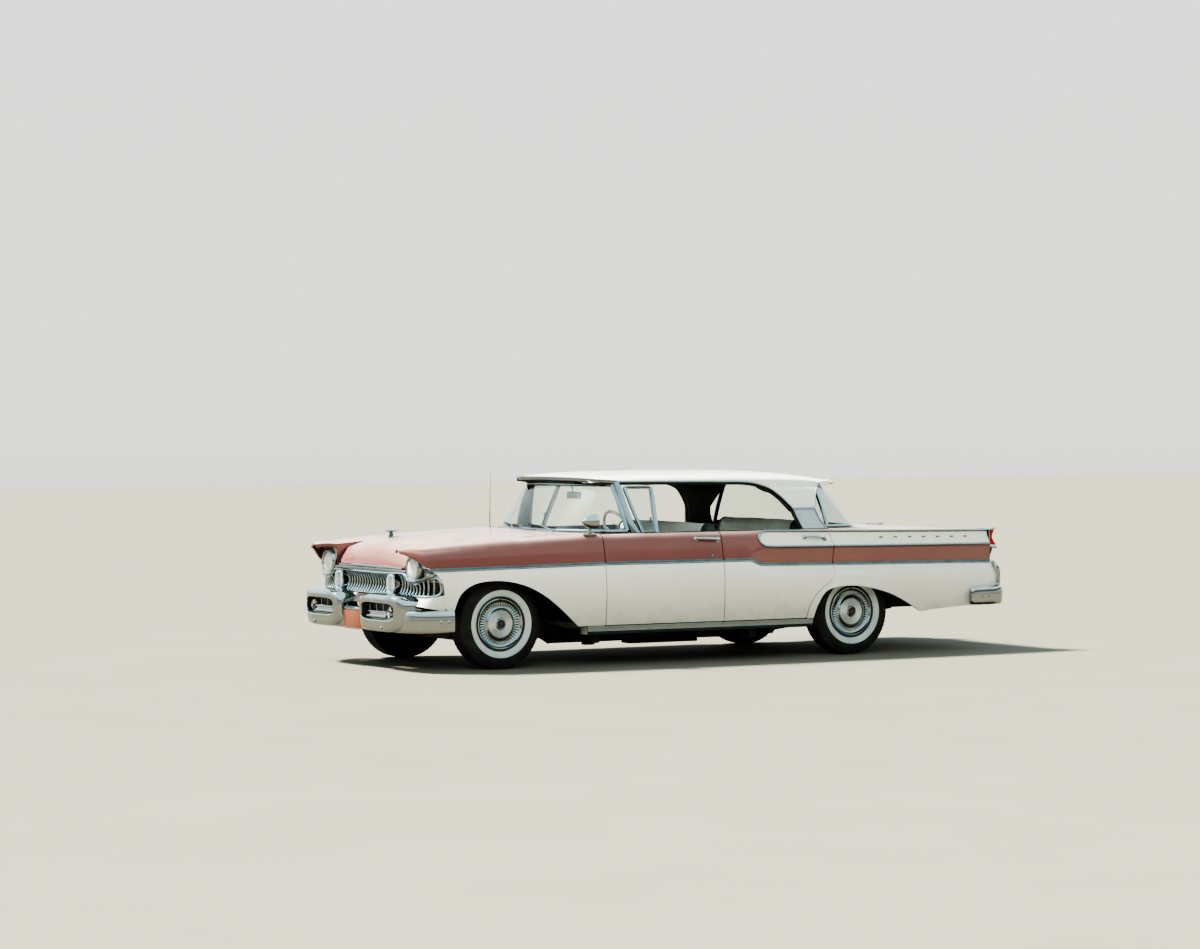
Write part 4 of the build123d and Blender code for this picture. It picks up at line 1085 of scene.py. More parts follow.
# turned-down edges
G = np.concatenate([G[:1] + np.array([0, 1.5, -16]), G[:1] + np.array([0, .6, -3]), G, G[-1:] + np.array([0, -.6, -3]), G[-1:] + np.array([0, -1.5, -16])], 0)
v, f, m = shell(G, 3.5, fm=lambda i, j: 0, inner_mat=0)
hood_piece = add("hood_skin", v, f, [CORAL], "hood_leaf", m, recalc=True, auto=45)
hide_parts("hood")
# pressed bracing under the hood
bits = []
for y0, y1 in ((-430, -300), (-110, 110), (300, 430)):
    for lo, hi in ((y0, y1),):
        pth = [(x, lo + (hi - lo) * .5, hood_top(x, (lo + hi) / 2) - 15) for x in np.linspace(-480, 480, 20)]
        bits.append(sweep(np.array(pth), [(-11, -40), (-11, 40), (0, 58), (4, 62), (4, -62), (0, -58)], (0, 0, 1)))
for x in (-430, -120, 200, 470):
    hw = np.interp(x, hood_line[:, 0], hood_line[:, 1]) - 30
    pth = [(x, y, hood_top(x, y) - 15) for y in np.linspace(-hw, hw, 26)]
    bits.append(sweep(np.array(pth), [(-11, -22), (-11, 22), (0, 34), (4, 38), (4, -38), (0, -34)], (0, 0, 1)))
v, f, m = join(bits)
add("hood_bracing", v, f, CORAL, "hood_leaf", recalc=True)

# hood ornament: a plain winged bullet on a stem
zc = hood_top(-482, 0)
bits = [lathe([(-34, 0), (-30, 5), (-16, 10), (6, 12), (34, 9), (66, 4), (80, 0)], (-486, 0, zc + 48), (1, 0, 0), 28),
        sweep(np.array([(-482 + t * 6, 0, zc - 4 + t * 42) for t in np.linspace(0, 1, 6)]), [(-14, -6), (0, -9), (22, -4), (26, 0), (22, 4), (0, 9), (-14, 6)], (1, 0, 0), scale=np.linspace(1.25, .7, 6)),
        prism([(-500, -26), (-470, -34), (-440, -38), (-428, -34), (-440, -10), (-450, 0), (-440, 10), (-428, 34), (-440, 38), (-470, 34), (-500, 26), (-512, 0)], zc + 44, zc + 50, "xy", 2.4),
        lathe([(0, 0), (0, 24), (4, 22), (8, 14), (9, 0)], (-482, 0, zc - 1), (0, 0, 1), 28)]
v, f, m = join(bits)
add("hood_ornament", v, f, CHROME, "hood_leaf", recalc=True, auto=40)
# bright lip along the hood's front edge
lipP = np.array([(hood_line[1, 0] - 7 + 18 * (y / 530.0) ** 2, y, 751 - 8 * (y / 530.0) ** 2) for y in np.linspace(-522, 522, 50)])
v, f = sweep(lipP, [(-6, -9), (4, -11), (8, -6), (9, 0), (8, 5), (3, 9), (-6, 9)], (-1, 0, 0))
add("hood_front_moulding", v, f, CHROME, "hood_leaf", recalc=True, auto=50)

# ------------------------------------------------------------------ roof
ROOF = np.array([(905, 560, 1366, 1380, 1388), (935, 600, 1364, 1389, 1399), (1000, 640, 1361, 1397, 1412), (1100, 661, 1358, 1401, 1423), (1250, 672, 1355, 1404, 1430), (1900, 676, 1352, 1406, 1435),
                 (2500, 674, 1350, 1399, 1427), (2750, 672, 1346, 1385, 1411), (2900, 668, 1336, 1370, 1393), (3000, 640, 1336, 1360, 1379), (3110, 560, 1340, 1352, 1362)], float)
WINDOW_REAR = cr([(2250, 1343), (2300, 1338), (2370, 1320), (2440, 1290), (2505, 1238), (2552, 1182), (2584, 1140)], 6)
PILLAR_REAR = cr([(2788, 1140), (2806, 1180), (2832, 1240), (2866, 1298), (2905, 1332)], 6)


def roof_row(x):
    return [smooth_table(ROOF[:, 0], ROOF[:, k], x) for k in range(1, 5)]


def pillar_y(z):
    return float(np.interp(z, [985, 1060, 1140, 1240, 1352], [857, 824, 788, 735, 675]))


def lower_edge(x, rail):
    if 2250 <= x <= 2584:
        return min(float(np.interp(x, WINDOW_REAR[:, 0], WINDOW_REAR[:, 1])), rail - 8)
    if 2584 < x < 2788:
        return 1140.0
    if 2788 <= x <= 2905:
        return min(float(np.interp(x, PILLAR_REAR[:, 0], PILLAR_REAR[:, 1])), rail - 5)
    return rail - 8


def roof_half(x):
    hw, rail, sh, c = roof_row(x)
    ctl = [(0, c), (.35 * hw, c - .10 * (c - sh)), (.65 * hw, c - .42 * (c - sh)), (.86 * hw, sh), (.955 * hw, sh - .34 * (sh - rail)), (.99 * hw, rail + .26 * (sh - rail)), (hw, rail + 3)]
    d = cr([(-ctl[1][0], ctl[1][1])] + ctl, 8)
    d = d[8:]
    s = np.r_[0, np.cumsum(np.hypot(*np.diff(d, axis=0).T))]
    q = np.r_[np.linspace(0, s[-1] * .62, 12), np.linspace(s[-1] * .62, s[-1], 15)[1:]]
    top = [(np.interp(k, s, d[:, 0]), np.interp(k, s, d[:, 1])) for k in q]
    lb = lower_edge(x, rail)
    side = []
    for t in np.linspace(0, 1, 15)[1:]:
        z = rail + 3 + (lb - rail - 3) * t
        blend = step(0, 60, rail + 3 - z)
        side.append((hw * (1 - blend) + max(pillar_y(z), hw) * blend, z))
    return top + side


rx = sorted({round(float(x), 2) for x in list(np.linspace(905, 1000, 9)) + list(np.linspace(1030, 2240, 34)) + list(WINDOW_REAR[:, 0]) + list(np.linspace(2600, 2780, 9)) + list(PILLAR_REAR[:, 0]) + list(np.linspace(2930, 3110, 10))})
cols = []
for x in rx:
    h = roof_half(x)
    bow = 12.0 * step(990, 905, x) - 10.0 * step(2990, 3110, x)
    L_ = [(x, -y, z) for y, z in reversed(h[1:])] + [(x, y, z) for y, z in h]
    hw = roof_row(x)[0]
    cols.append([(a - (bow if x < 1000 else 0) * (1 - min(abs(b) / hw, 1) ** 2), b, c) for a, b, c in L_])
G = np.array(cols).transpose(1, 0, 2)
n = normals(G)
half = len(roof_half(1500))
th = np.full(G.shape[:2], 9.0)
for j, x in enumerate(rx):
    deep = 42.0 * step(2230, 2380, x) * step(2915, 2860, x)
    for i in range(G.shape[0]):
        k = abs(i - (half - 1))
        if k > 26:
            th[i, j] += deep * step(26, 31, k)
inner = G - n * th[:, :, None]
v, f, m = shell(G, 0, inner=inner, fm=lambda i, j: 0, inner_mat=1, edge_mat=1)
roof = add("roof_skin", v, f, [WHITE, TRIM], "body", m, recalc=True, auto=50)
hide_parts("roof_and_pillars")
# front lip: a thick bright header over the windscreen
P = []
for y in np.linspace(-1, 1, 101):
    s_ = abs(y)
    x = float(np.interp(s_, [0, .42, .64, .76, .84, .90, .95, 1.0], [893, 895, 903, 915, 938, 985, 1040, 1090]))
    yy = float(np.interp(s_, [0, .42, .64, .76, .84, .90, .95, 1.0], [0, 300, 480, 560, 612, 648, 663, 670])) * (1 if y >= 0 else -1)
    P.append((x, yy, 1383 - 4 * s_ - 18 * s_ ** 5))
P = np.array(P)
dn = np.array([(-1.0, 2.6 * step(540, 662, abs(p[1])) * np.sign(p[1]), 0.0) for p in P])
v, f = sweep(P, [(-10, -14), (2, -15), (7, -10), (8, 0), (7, 9), (0, 13), (-12, 12)], dn)
add("roof_front_lip", v, f, STAINLESS, "body", recalc=True, auto=50)
# rear lip
P = []
for y in np.linspace(-1, 1, 61):
    s = abs(y)
    x = float(np.interp(s, [0, .5, .78, .9, 1.0], [3112, 3108, 3080, 3010, 2915]))
    yy = float(np.interp(s, [0, .5, .78, .9, 1.0], [0, 330, 556, 636, 671])) * (1 if y >= 0 else -1)
    P.append((x, yy, float(np.interp(s, [0, .78, .9, 1.0], [1352, 1346, 1339, 1334]))))
P = np.array(P)
dn = np.array([(1.0, 1.6 * (abs(p[1]) / 671) ** 5 * np.sign(p[1]), 0.0) for p in P])
v, f = sweep(P, [(-8, -8), (3, -9), (7, -3), (8, 10), (6, 22), (1, 29), (-8, 28)], dn)
add("roof_rear_lip", v, f, WHITE, "body", recalc=True, auto=50)
# headlining with its bows
hx = np.linspace(960, 3040, 80)
cols = []
for x in hx:
    hw, rail, sh, c = roof_row(x)
    bow = 5.0 * abs(math.sin((x - 960) / 400.0 * math.pi)) ** .4
    cols.append([(x, s * (hw - 14), c - 30 + bow - (c - rail - 12) * abs(s) ** 2.6) for s in np.linspace(-1, 1, 25)])
G = np.array(cols).transpose(1, 0, 2)
v, f, m = shell(G, 3.0)
add("headlining", v, f, HEADLINER, "body", recalc=True)

RAIL_PATH = cr([(1062, 660, 1360), (1110, 670, 1362), (1370, 683, 1361), (1700, 686, 1358), (2000, 686, 1354), (2250, 685, 1346), (2350, 689, 1326), (2440, 703, 1291), (2507, 737, 1236), (2556, 768, 1180),
                (2588, 793, 1138), (2608, 822, 1070), (2634, 860, 990)], 8)


def rail_n(p):
    k = step(1345, 1290, p[2])
    return np.array([0.0, 1.0 - .25 * k, .35 + .2 * k])


for side, mir, sg in SIDES:
    N = np.array([rail_n(p) for p in RAIL_PATH])
    v, f = sweep(RAIL_PATH, [(-8, -9), (6, -11), (11, -8), (12, -3), (6, 2), (4, 8), (-8, 9)], N)
    add("drip_rail_" + side, v, f, STAINLESS, "body", mirror=mir, recalc=True, auto=50)
    # dark seal inside the rail, where the door glass would meet it
    Q = RAIL_PATH + np.array([(-6, -14, -14)]) * 1.0
    v, f = sweep(Q, ring_prof(8, 8, 10), N)
    add("roof_rail_seal_" + side, v, f, SEAL, "body", mirror=mir, recalc=True)
    # lower pillar: the grey panel under the band
    zz = np.linspace(1141, 984, 14)
    xf = np.interp(zz, [985, 1060, 1140], [2638, 2606, 2584])
    xr = np.interp(zz, [985, 1060, 1140], [2856, 2812, 2788])
    G = np.array([[(a + (b - a) * t, pillar_y(z) + 3 * math.sin(math.pi * t), z) for t in np.linspace(0, 1, 10)] for a, b, z in zip(xf, xr, zz)])
    v, f, m = shell(G, 0, inner=G + np.array([0, -48, 0]), flip=False, inner_mat=1, edge_mat=1)
    add("pillar_base_" + side, v, f, [SILVER, TRIM], "body", m, mirror=mir, recalc=True)
    # the bright band, its two upright edges and the base moulding
    bits = []
    P = np.array([(x, pillar_y(1140) + 3 * math.sin(math.pi * (x - 2584) / 204.0), 1140) for x in np.linspace(2580, 2793, 12)])
    bits.append(sweep(P, [(-6, -9), (3, -9), (6, -4), (4, 0), (6, 4), (3, 9), (-6, 9)], (0, 1, 0)))
    P = np.array([(b, pillar_y(z), z) for b, z in zip(xr, zz)])
    bits.append(sweep(P, [(-8, -6), (4, -6), (6, 0), (4, 6), (-8, 6)], (.4, .9, 0)))
    P = np.array([(x, pillar_y(z), z) for x, z in PILLAR_REAR])
    bits.append(sweep(P, [(-8, -5), (3, -5), (5, 0), (3, 5), (-8, 5)], (.3, .9, 0)))
    P = np.array([(x, pillar_y(986) + 2, 987) for x in np.linspace(2634, 2862, 10)])
    bits.append(sweep(P, [(-6, -5), (3, -4), (4, 1), (0, 5), (-6, 5)], (0, 1, 0)))
    v, f, m = join(bits)
    add("pillar_bright_trim_" + side, v, f, STAINLESS, "body", mirror=mir, recalc=True, auto=50)

# ------------------------------------------------------------------ glass and its frames
WS_LOW = [(668, 0), (690, 300), (748, 520), (858, 716), (1000, 826), (1072, 852)]
WS_TOP = [(920, 0), (930, 240), (952, 420), (987, 540), (1028, 620), (1052, 652)]
RW_LOW = [(3330, 0), (3318, 330), (3270, 560), (3170, 720), (3020, 806), (2880, 828)]
RW_TOP = [(3095, 0), (3086, 240), (3050, 420), (2990, 560), (2925, 632), (2868, 657)]


def glass_grid(low, top, z0, z1, bulge, n=18, m=15):
    a, b = np.array(low, float), np.array(top, float)
    ta = cr(np.vstack([a[:0:-1] * [1, -1], a]), 8)
    tb = cr(np.vstack([b[:0:-1] * [1, -1], b]), 8)
    rows = []
    c = np.array([a[:, 0].mean(), 0])
    for t in np.linspace(0, 1, m):
        r = ta * (1 - t) + tb * t
        d = r - np.array([1150 if low is WS_LOW else 2750, 0])
        d /= np.linalg.norm(d, axis=1, keepdims=True)
        r = r + d * bulge * math.sin(math.pi * t)
        rows.append(np.column_stack([r, np.full(len(r), z0 + (z1 - z0) * t)]))
    return np.array(rows)


wg = glass_grid(WS_LOW, WS_TOP, 1000, 1342, 14)
rg = glass_grid(RW_LOW, RW_TOP, 998, 1318, 14)
for nm, g_, nd, fl in (("windshield_pane", wg, "windshield_glass", True), ("rear_window_pane", rg, "rear_window_glass", False)):
    v, f, m = shell(g_, 5.0, flip=fl)
    ob = add(nm, v, f, GLASS, "body", recalc=True, auto=60)
    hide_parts(nd)


def frame_round(g_, out_x, top_w=13):
    """Seal and bright moulding all round a pane."""
    bits, seal = [], []
    nr, nc = g_.shape[:2]
    nn = normals(g_)
    if (nn[nr // 2, nc // 2] @ np.array([out_x, 0, .3])) < 0:
        nn = -nn
    for path, norm, pr in ((g_[0], nn[0], [(-10, -14), (7, -14), (10, -6), (9, 6), (3, 11), (-10, 11)]),
                           (g_[-1], nn[-1], [(-10, -12), (5, -12), (8, -4), (7, 6), (2, 10), (-10, 10)]),
                           (g_[:, 0], nn[:, 0], [(-12, -16), (6, -15), (10, -6), (10, 6), (5, 14), (-12, 15)]),
                           (g_[:, -1], nn[:, -1], [(-12, -16), (6, -15), (10, -6), (10, 6), (5, 14), (-12, 15)])):
        bits.append(sweep(path, pr, norm))
        seal.append(sweep(path - norm * 9, ring_prof(9, 8, 15), norm))
    return join(bits), join(seal)


for nm, g_, ox in (("windshield", wg, -1.0), ("rear_window", rg, 1.0)):
    a, b = frame_round(g_, ox)
    add(nm + "_bright_frame", a[0], a[1], STAINLESS, "body", recalc=True, auto=50)
    add(nm + "_seal", b[0], b[1], SEAL, "body", recalc=True)

# windscreen posts
for side, mir, sg in SIDES:
    path = cr([(1142, 848, 965), (1126, 846, 1005), (1108, 832, 1050), (1096, 790, 1130), (1088, 736, 1230), (1084, 690, 1318), (1080, 668, 1356)], 7)
    wid = np.interp(path[:, 2], [965, 1010, 1060, 1358], [1.5, 1.15, .92, .86])
    v, f = sweep(path, [(-22, -26), (12, -28), (22, -20), (25, -6), (22, 10), (14, 24), (-10, 30), (-22, 22)], (-.15, 1, .35), scale=wid)
    add("windscreen_post_" + side, v, f, STAINLESS, "body", mirror=mir, recalc=True, auto=50)
    v, f = sweep(path + np.array([(10, -26, 0)]), [(-14, -26), (12, -28), (16, 0), (12, 26), (-14, 26)], (-.15, 1, .35), scale=wid)
    add("windscreen_post_trim_" + side, v, f, TRIM, "body", mirror=mir, recalc=True, auto=50)
    # vent window: frame, pane and its catch
    def vy(z):
        return float(np.interp(z, [960, 1345], [893, 690]))
    body = BODY_OF["front", side]
    loop = [(1190, 978), (1176, 1040), (1156, 1140), (1140, 1240), (1130, 1312), (1136, 1322), (1240, 1325), (1352, 1322), (1360, 1316), (1350, 1240), (1334, 1140), (1318, 1040), (1308, 978)]
    P = np.array([(x, vy(z), z) for x, z in loop])
    N = (0, .9, .45)
    bits = [sweep(cr(P, 4), [(-8, -7), (5, -7), (8, -2), (8, 3), (5, 7), (-8, 7)], N)]
    P2 = np.array([(x, vy(z), z) for x, z in [(1370, 1322), (1362, 1240), (1346, 1140), (1330, 1040), (1320, 975)]])
    bits.append(sweep(cr(P2, 4), [(-9, -8), (5, -8), (8, -3), (8, 4), (5, 8), (-9, 8)], N))
    P3 = np.array([(x, vy(z) - 2, z) for x, z in [(1204, 990), (1188, 1060), (1168, 1150), (1154, 1240), (1146, 1306), (1240, 1310), (1340, 1307), (1334, 1240), (1320, 1150), (1308, 1060), (1296, 990)]])
    bits.append(tube(np.vstack([cr(P3, 3)]), 4.5, 8, closed=True))
    bits.append(rbox((1296, vy(1080) - 14, 1080), (10, 22, 34), 3))
    v, f, m = join(bits)
    fr = add("vent_frame_" + side, v, f, STAINLESS, body, mirror=mir, recalc=True, auto=50)
    pane = []
    zz = np.linspace(986, 1310, 12)
    left = np.interp(zz, [978, 1040, 1140, 1240, 1312], [1196, 1182, 1162, 1147, 1138])
    right = np.interp(zz, [978, 1040, 1140, 1240, 1312], [1302, 1311, 1327, 1343, 1352])
    G = np.array([[(a + (b - a) * t, vy(z) + 1, z) for t in np.linspace(0, 1, 6)] for a, b, z in zip(left, right, zz)])
    v, f, m = shell(G, 4.0, flip=True)
    pn = add("vent_pane_" + side, v, f, GLASS, body, mirror=mir, recalc=True)
    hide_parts("vent_window_" + side)

# ------------------------------------------------------------------ deck, trunk lid, rear panel
cols = []
for x in np.linspace(3338, 3418, 6):
    cols.append([(x, y, 1000 - (x - 3338) * .16 - 26 * (abs(y) / 646) ** 2.2) for y in np.linspace(-646, 646, 33)])
G = np.array(cols).transpose(1, 0, 2)
v, f, m = shell(G, 4.0)
add("deck_panel", v, f, CORAL, "body", recalc=True)
# filler under the rear window ends, between pillar base and deck
for side, mir, sg in SIDES:
    G = []
    for x in np.linspace(2860, 3345, 26):
        lowx = np.array(RW_LOW)
        yin = float(np.interp(x, lowx[::-1, 0], lowx[::-1, 1])) - 12
        yo = INNER_EDGE_Y(x) + 4
        zi = INNER_EDGE_Z(x)
        G.append([(x, yo + (yin - yo) * t, zi + 2 + (997 - zi) * t) for t in np.linspace(0, 1, 8)])
    G = np.array(G).transpose(1, 0, 2)
    v, f, m = shell(G, 4.0, flip=True)
    add("deck_side_" + side, v, f, CORAL, "body", mirror=mir, recalc=True)
    # belt sill under the pillar, inboard of the door
    v, f = prism([(2578, 838), (2852, 838), (2852, 884), (2620, 884), (2590, 872)], 958, 985, "xy", 5)
    add("pillar_sill_" + side, v, f, CORAL, "body", mirror=mir)

LID = np.array([(3425, 640, 962, 985), (3500, 637, 961, 984), (3800, 628, 952, 974), (4100, 619, 943, 963), (4260, 615, 938, 954), (4340, 613, 933, 944), (4385, 611, 918, 926), (4400, 610, 896, 902)], float)
lid_line = cr(LID, 6)
skin_tail = [(4404, 870), (4407, 840), (4412, 780), (4418, 725), (4430, 690), (4444, 660), (4452, 640), (4452, 624)]
rows = []
for s in ss:
    rr = [(r[0], s * r[1], r[3] - (r[3] - r[2]) * abs(s) ** 2.4) for r in lid_line]
    rr += [(x - 4 * s * s, s * 610, z) for x, z in skin_tail]
    rows.append(rr)
G = np.array(rows)
G = np.concatenate([G[:1] + np.array([0, 1.5, -14]), G[:1] + np.array([0, .5, -2]), G, G[-1:] + np.array([0, -.5, -2]), G[-1:] + np.array([0, -1.5, -14])], 0)
v, f, m = shell(G, 4.0)
lid = add("trunk_lid_skin", v, f, CORAL, "trunk_lid_leaf", recalc=True, auto=45)
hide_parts("trunk_lid")
bits = []
for y in (-420, -150, 150, 420):
    pth = [(x, y, np.interp(x, LID[:, 0], LID[:, 3]) - (LID[0, 3] - LID[0, 2]) * (abs(y) / 640) ** 2.4 - 16) for x in np.linspace(3450, 4360, 24)]
    bits.append(sweep(np.array(pth), [(-12, -26), (-12, 26), (0, 40), (4, 42), (4, -42), (0, -40)], (0, 0, 1)))
for x in (3470, 3900, 4340):
    zt = np.interp(x, LID[:, 0], LID[:, 3])
    pth = [(x, y, zt - 22 * (abs(y) / 640) ** 2.4 - 16) for y in np.linspace(-600, 600, 26)]
    bits.append(sweep(np.array(pth), [(-12, -22), (-12, 22), (0, 34), (4, 38), (4, -38), (0, -34)], (0, 0, 1)))
v, f, m = join(bits)
add("trunk_lid_bracing", v, f, CORAL, "trunk_lid_leaf", recalc=True)
# rear panel below the lid and beside it
tpx = cr([(4440, 615), (4448, 570), (4443, 505), (4418, 430), (4388, 385)], 6)
G = np.array([[(x + 4 - 18 * abs(s) ** 3, s * 905, z) for x, z in tpx] for s in np.linspace(-1, 1, 41)])
v, f, m = shell(G, 4.0, flip=False)
add("rear_panel_low", v, f, WHITE, "body", recalc=True)
for side, mir, sg in SIDES:
    G = []
    for z in np.linspace(612, 938, 26):
        xe = tail_x(z) + (0 if z > 720 else 0)
        yo = side_y(4388, min(z, 935), "quarter") - 3 - 34.0 * step(730, 640, z)
        G.append([(xe + 2 * math.sin(math.pi * t), yo + (617 - yo) * t, z) for t in np.linspace(0, 1, 10)])
    G = np.array(G)
    v, f, m = shell(G, 4.0, fm=lambda i, j: 1 if i < 9 else 0)
    add("rear_corner_" + side, v, f, [CORAL, WHITE], "body", m, mirror=mir, recalc=True)

# ------------------------------------------------------------------ bright work along the sides
STRIP = [(-2, -15), (4.5, -15), (8.5, -11), (8, -7), (5.5, -2), (5.5, 3), (8, 8), (8.5, 12), (4.5, 15), (-2, 15)]
EDGE = [(-3, -9), (5, -9), (9.5, -4.5), (10.5, 0), (9.5, 4.5), (5, 9), (-3, 9)]
SPANS = [("fender", "fender", -622, 805, "body"), ("front_door", "door", 817, 1835, "front"), ("rear_door", "door", 1845, 2844, "rear"), ("quarter", "quarter", 2855, 4381, "body")]
for nm, kind, a, b, bd in SPANS:
    nstep = max(int((b - a) / 24), 30)
    xs = sorted(set(np.linspace(a, b, nstep)) | {x for x in np.linspace(2060, 2200, 16) if a < x < b})
    path = [(x, row_at(x)["zs"] - 15) for x in xs]
    for side, mir, sg in SIDES:
        body = "body" if bd == "body" else BODY_OF[bd, side]
        P, N = [], []
        for x, z in path:
            p, n = on_side(x, z, 0, kind)
            P.append(p)
            N.append(n)
        sc = np.ones(len(P))
        if nm == "fender":
            sc = np.array([min(1.0, .35 + (x + 622) / 60.0) for x, z in path])
        v, f = sweep(np.array(P), STRIP, np.array(N), scale=sc)
        fmx = [1 if (k < (len(P) - 1) * len(STRIP) and k % len(STRIP) in (3, 4, 5)) else 0 for k in range(len(f))]
        add("side_strip_%s_%s" % (nm, side), v, f, [STAINLESS, CHANNEL], body, fmx, mirror=mir, recalc=True, auto=50)


def insert_path(kind):
    hi = lambda x: float(np.interp(x, [2177, 2290, 4420], [977, 976, 942]))
    lo = lambda x: float(np.interp(x, [2177, 2250, 2330, 4250, 4420], [864, 862, 858, 840, 838]))
    if kind == "door":
        up = [(x, hi(x)) for x in np.linspace(2844, 2262, 30)]
        tip = []
        for a in np.linspace(90, 270, 26)[1:-1]:
            c = (hi(2257) + lo(2257)) / 2
            tip.append((2257 + 80 * math.cos(math.radians(a)), c + (hi(2257) - lo(2257)) / 2 * math.sin(math.radians(a))))
        return [up + tip + [(x, lo(x)) for x in np.linspace(2262, 2844, 30)]]
    return [[(x, hi(x)) for x in np.linspace(2855, 4378, 60)], [(x, lo(x)) for x in np.linspace(2855, 4378, 60)]]


for kind, nm in (("door", "rear_door"), ("quarter", "quarter")):
    for side, mir, sg in SIDES:
        body = "body" if kind == "quarter" else BODY_OF["rear", side]
        bits = []
        for path in insert_path(kind):
            P, N = [], []
            for x, z in path:
                p, n = on_side(x, z, 0, kind)
                P.append(p)
                N.append(n)
            bits.append(sweep(np.array(P), EDGE, np.array(N)))
        v, f, m = join(bits)
        add("panel_outline_%s_%s" % (nm, side), v, f, STAINLESS, body, mirror=mir, recalc=True, auto=50)

# plain studs spaced along the pale panel
for side, mir, sg in SIDES:
    bits = []
    for k in range(7):
        x = 3320 + k * 138
        z = .5 * (insert_edges(x)[0] + insert_edges(x)[1]) + 6
        p, n = on_side(x, z, 3, "quarter")
        bits.append(rbox(p + n * 1.5, (32, 12, 11), 3.5))
    v, f, m = join(bits)
    add("quarter_studs_" + side, v, f, STAINLESS, "body", mirror=mir)

# rocker mouldings
for side, mir, sg in SIDES:
    P = np.array([(x, row_at(x)["w"] - 14, 271) for x in np.linspace(655, 2640, 60)])
    v, f = sweep(P, [(-6, -31), (-2, -31), (1, -26), (2, -12), (5, -6), (3, 0), (5, 6), (4, 14), (7, 20), (6, 28), (1, 31), (-6, 31)], (0, 1, 0))
    add("rocker_moulding_" + side, v, f, STAINLESS, "body", mirror=mir, recalc=True, auto=40)

# door handles with their buttons, and the key locks


def handle(which, x0, x1, z0, z1, side, mir):
    body = BODY_OF[which, side]
    bits = []
    A, nA = on_side(x0, z0, 0)
    B, nB = on_side(x1, z1, 0)
    path = []
    for t in np.linspace(0, 1, 22):
        p, n = on_side(x0 + (x1 - x0) * t, z0 + (z1 - z0) * t, 8 + 26 * math.sin(math.pi * min(max(t, .02), .98)) ** .45)
        path.append(p)
    path = np.array(path)
    sc = np.array([.75 + .35 * math.sin(math.pi * t) for t in np.linspace(0, 1, 22)])
    bits.append(sweep(path, ring_prof(6.0, 12, 10.5), nA, scale=sc))
    for P, n, r in ((A, nA, 19), (B, nB, 22)):
        d = lathe([(-4, 0), (-4, r), (3, r), (7, r * .8), (9, r * .35), (9, 0)], P, tuple(n), 28)
        bits.append(d)
    p, n = on_side(x1 - 2, z1, 12)
    bits.append(lathe([(0, 0), (0, 11), (8, 11), (11, 8), (12, 0)], p, tuple(n), 24))
    v, f, m = join(bits)
    add("%s_door_handle_%s" % (which, side), v, f, CHROME, body, mirror=mir, recalc=True, auto=45)


for side, mir, sg in SIDES:
    handle("front", 1612, 1806, 930, 920, side, mir)
    handle("rear", 2604, 2784, 922, 908, side, mir)
    p, n = on_side(1748, 800, 0)
    v, f = lathe([(-3, 0), (-3, 12), (2, 12), (5, 9), (5, 4), (3, 3), (3, 0)], p, tuple(n), 24)
    add("front_door_lock_" + side, v, f, CHROME, BODY_OF["front", side], mirror=mir)

# fender mirror on the driver's side
mb = np.array([719.0, -912, 984])
bits = [prism([(mb[0] - 62, mb[1] - 12), (mb[0] - 30, mb[1] - 22), (mb[0] + 40, mb[1] - 20), (mb[0] + 56, mb[1]), (mb[0] + 40, mb[1] + 18), (mb[0] - 30, mb[1] + 18), (mb[0] - 62, mb[1] + 8)], 972, 990, "xy", 5),
        sweep(cr([(716, -912, 986), (712, -920, 1010), (704, -934, 1040), (700, -944, 1066)], 6), ring_prof(11, 12, 8), (1, 0, 0), scale=np.linspace(1.25, .8, 19)),
        lathe([(-74, 0), (-70, 10), (-54, 26), (-28, 42), (4, 52), (30, 56), (44, 57), (48, 54), (48, 50), (42, 49), (40, 0)], (700, -948, 1075), (1, 0, 0), 44)]
v, f, m = join(bits)
add("side_mirror", v, f, CHROME, "body", recalc=True, auto=45)
v, f = lathe([(-2, 0), (-2, 49), (2, 49), (3, 47), (3, 0)], (744, -948, 1075), (1, 0, 0), 44)
add("side_mirror_face", v, f, COVER, "body", recalc=True)

# aerial on the far side of the cowl
bits = [lathe([(0, 0), (0, 20), (6, 17), (16, 11), (30, 8), (34, 5), (34, 0)], (792, 800, 981), (0, 0, 1), 28),
        tube([(792, 800, 1010), (794, 800.5, 1120)], 4.2, 10), tube([(794, 800.5, 1118), (797, 801, 1270)], 3.0, 10), tube([(797, 801, 1268), (801, 802, 1408)], 2.0, 10),
        lathe([(-4, 0), (-3, 3), (0, 4), (3, 3), (4, 0)], (801, 802, 1410), (0, 0, 1), 16)]
v, f, m = join(bits)
add("aerial", v, f, CHROME, "body", recalc=True)

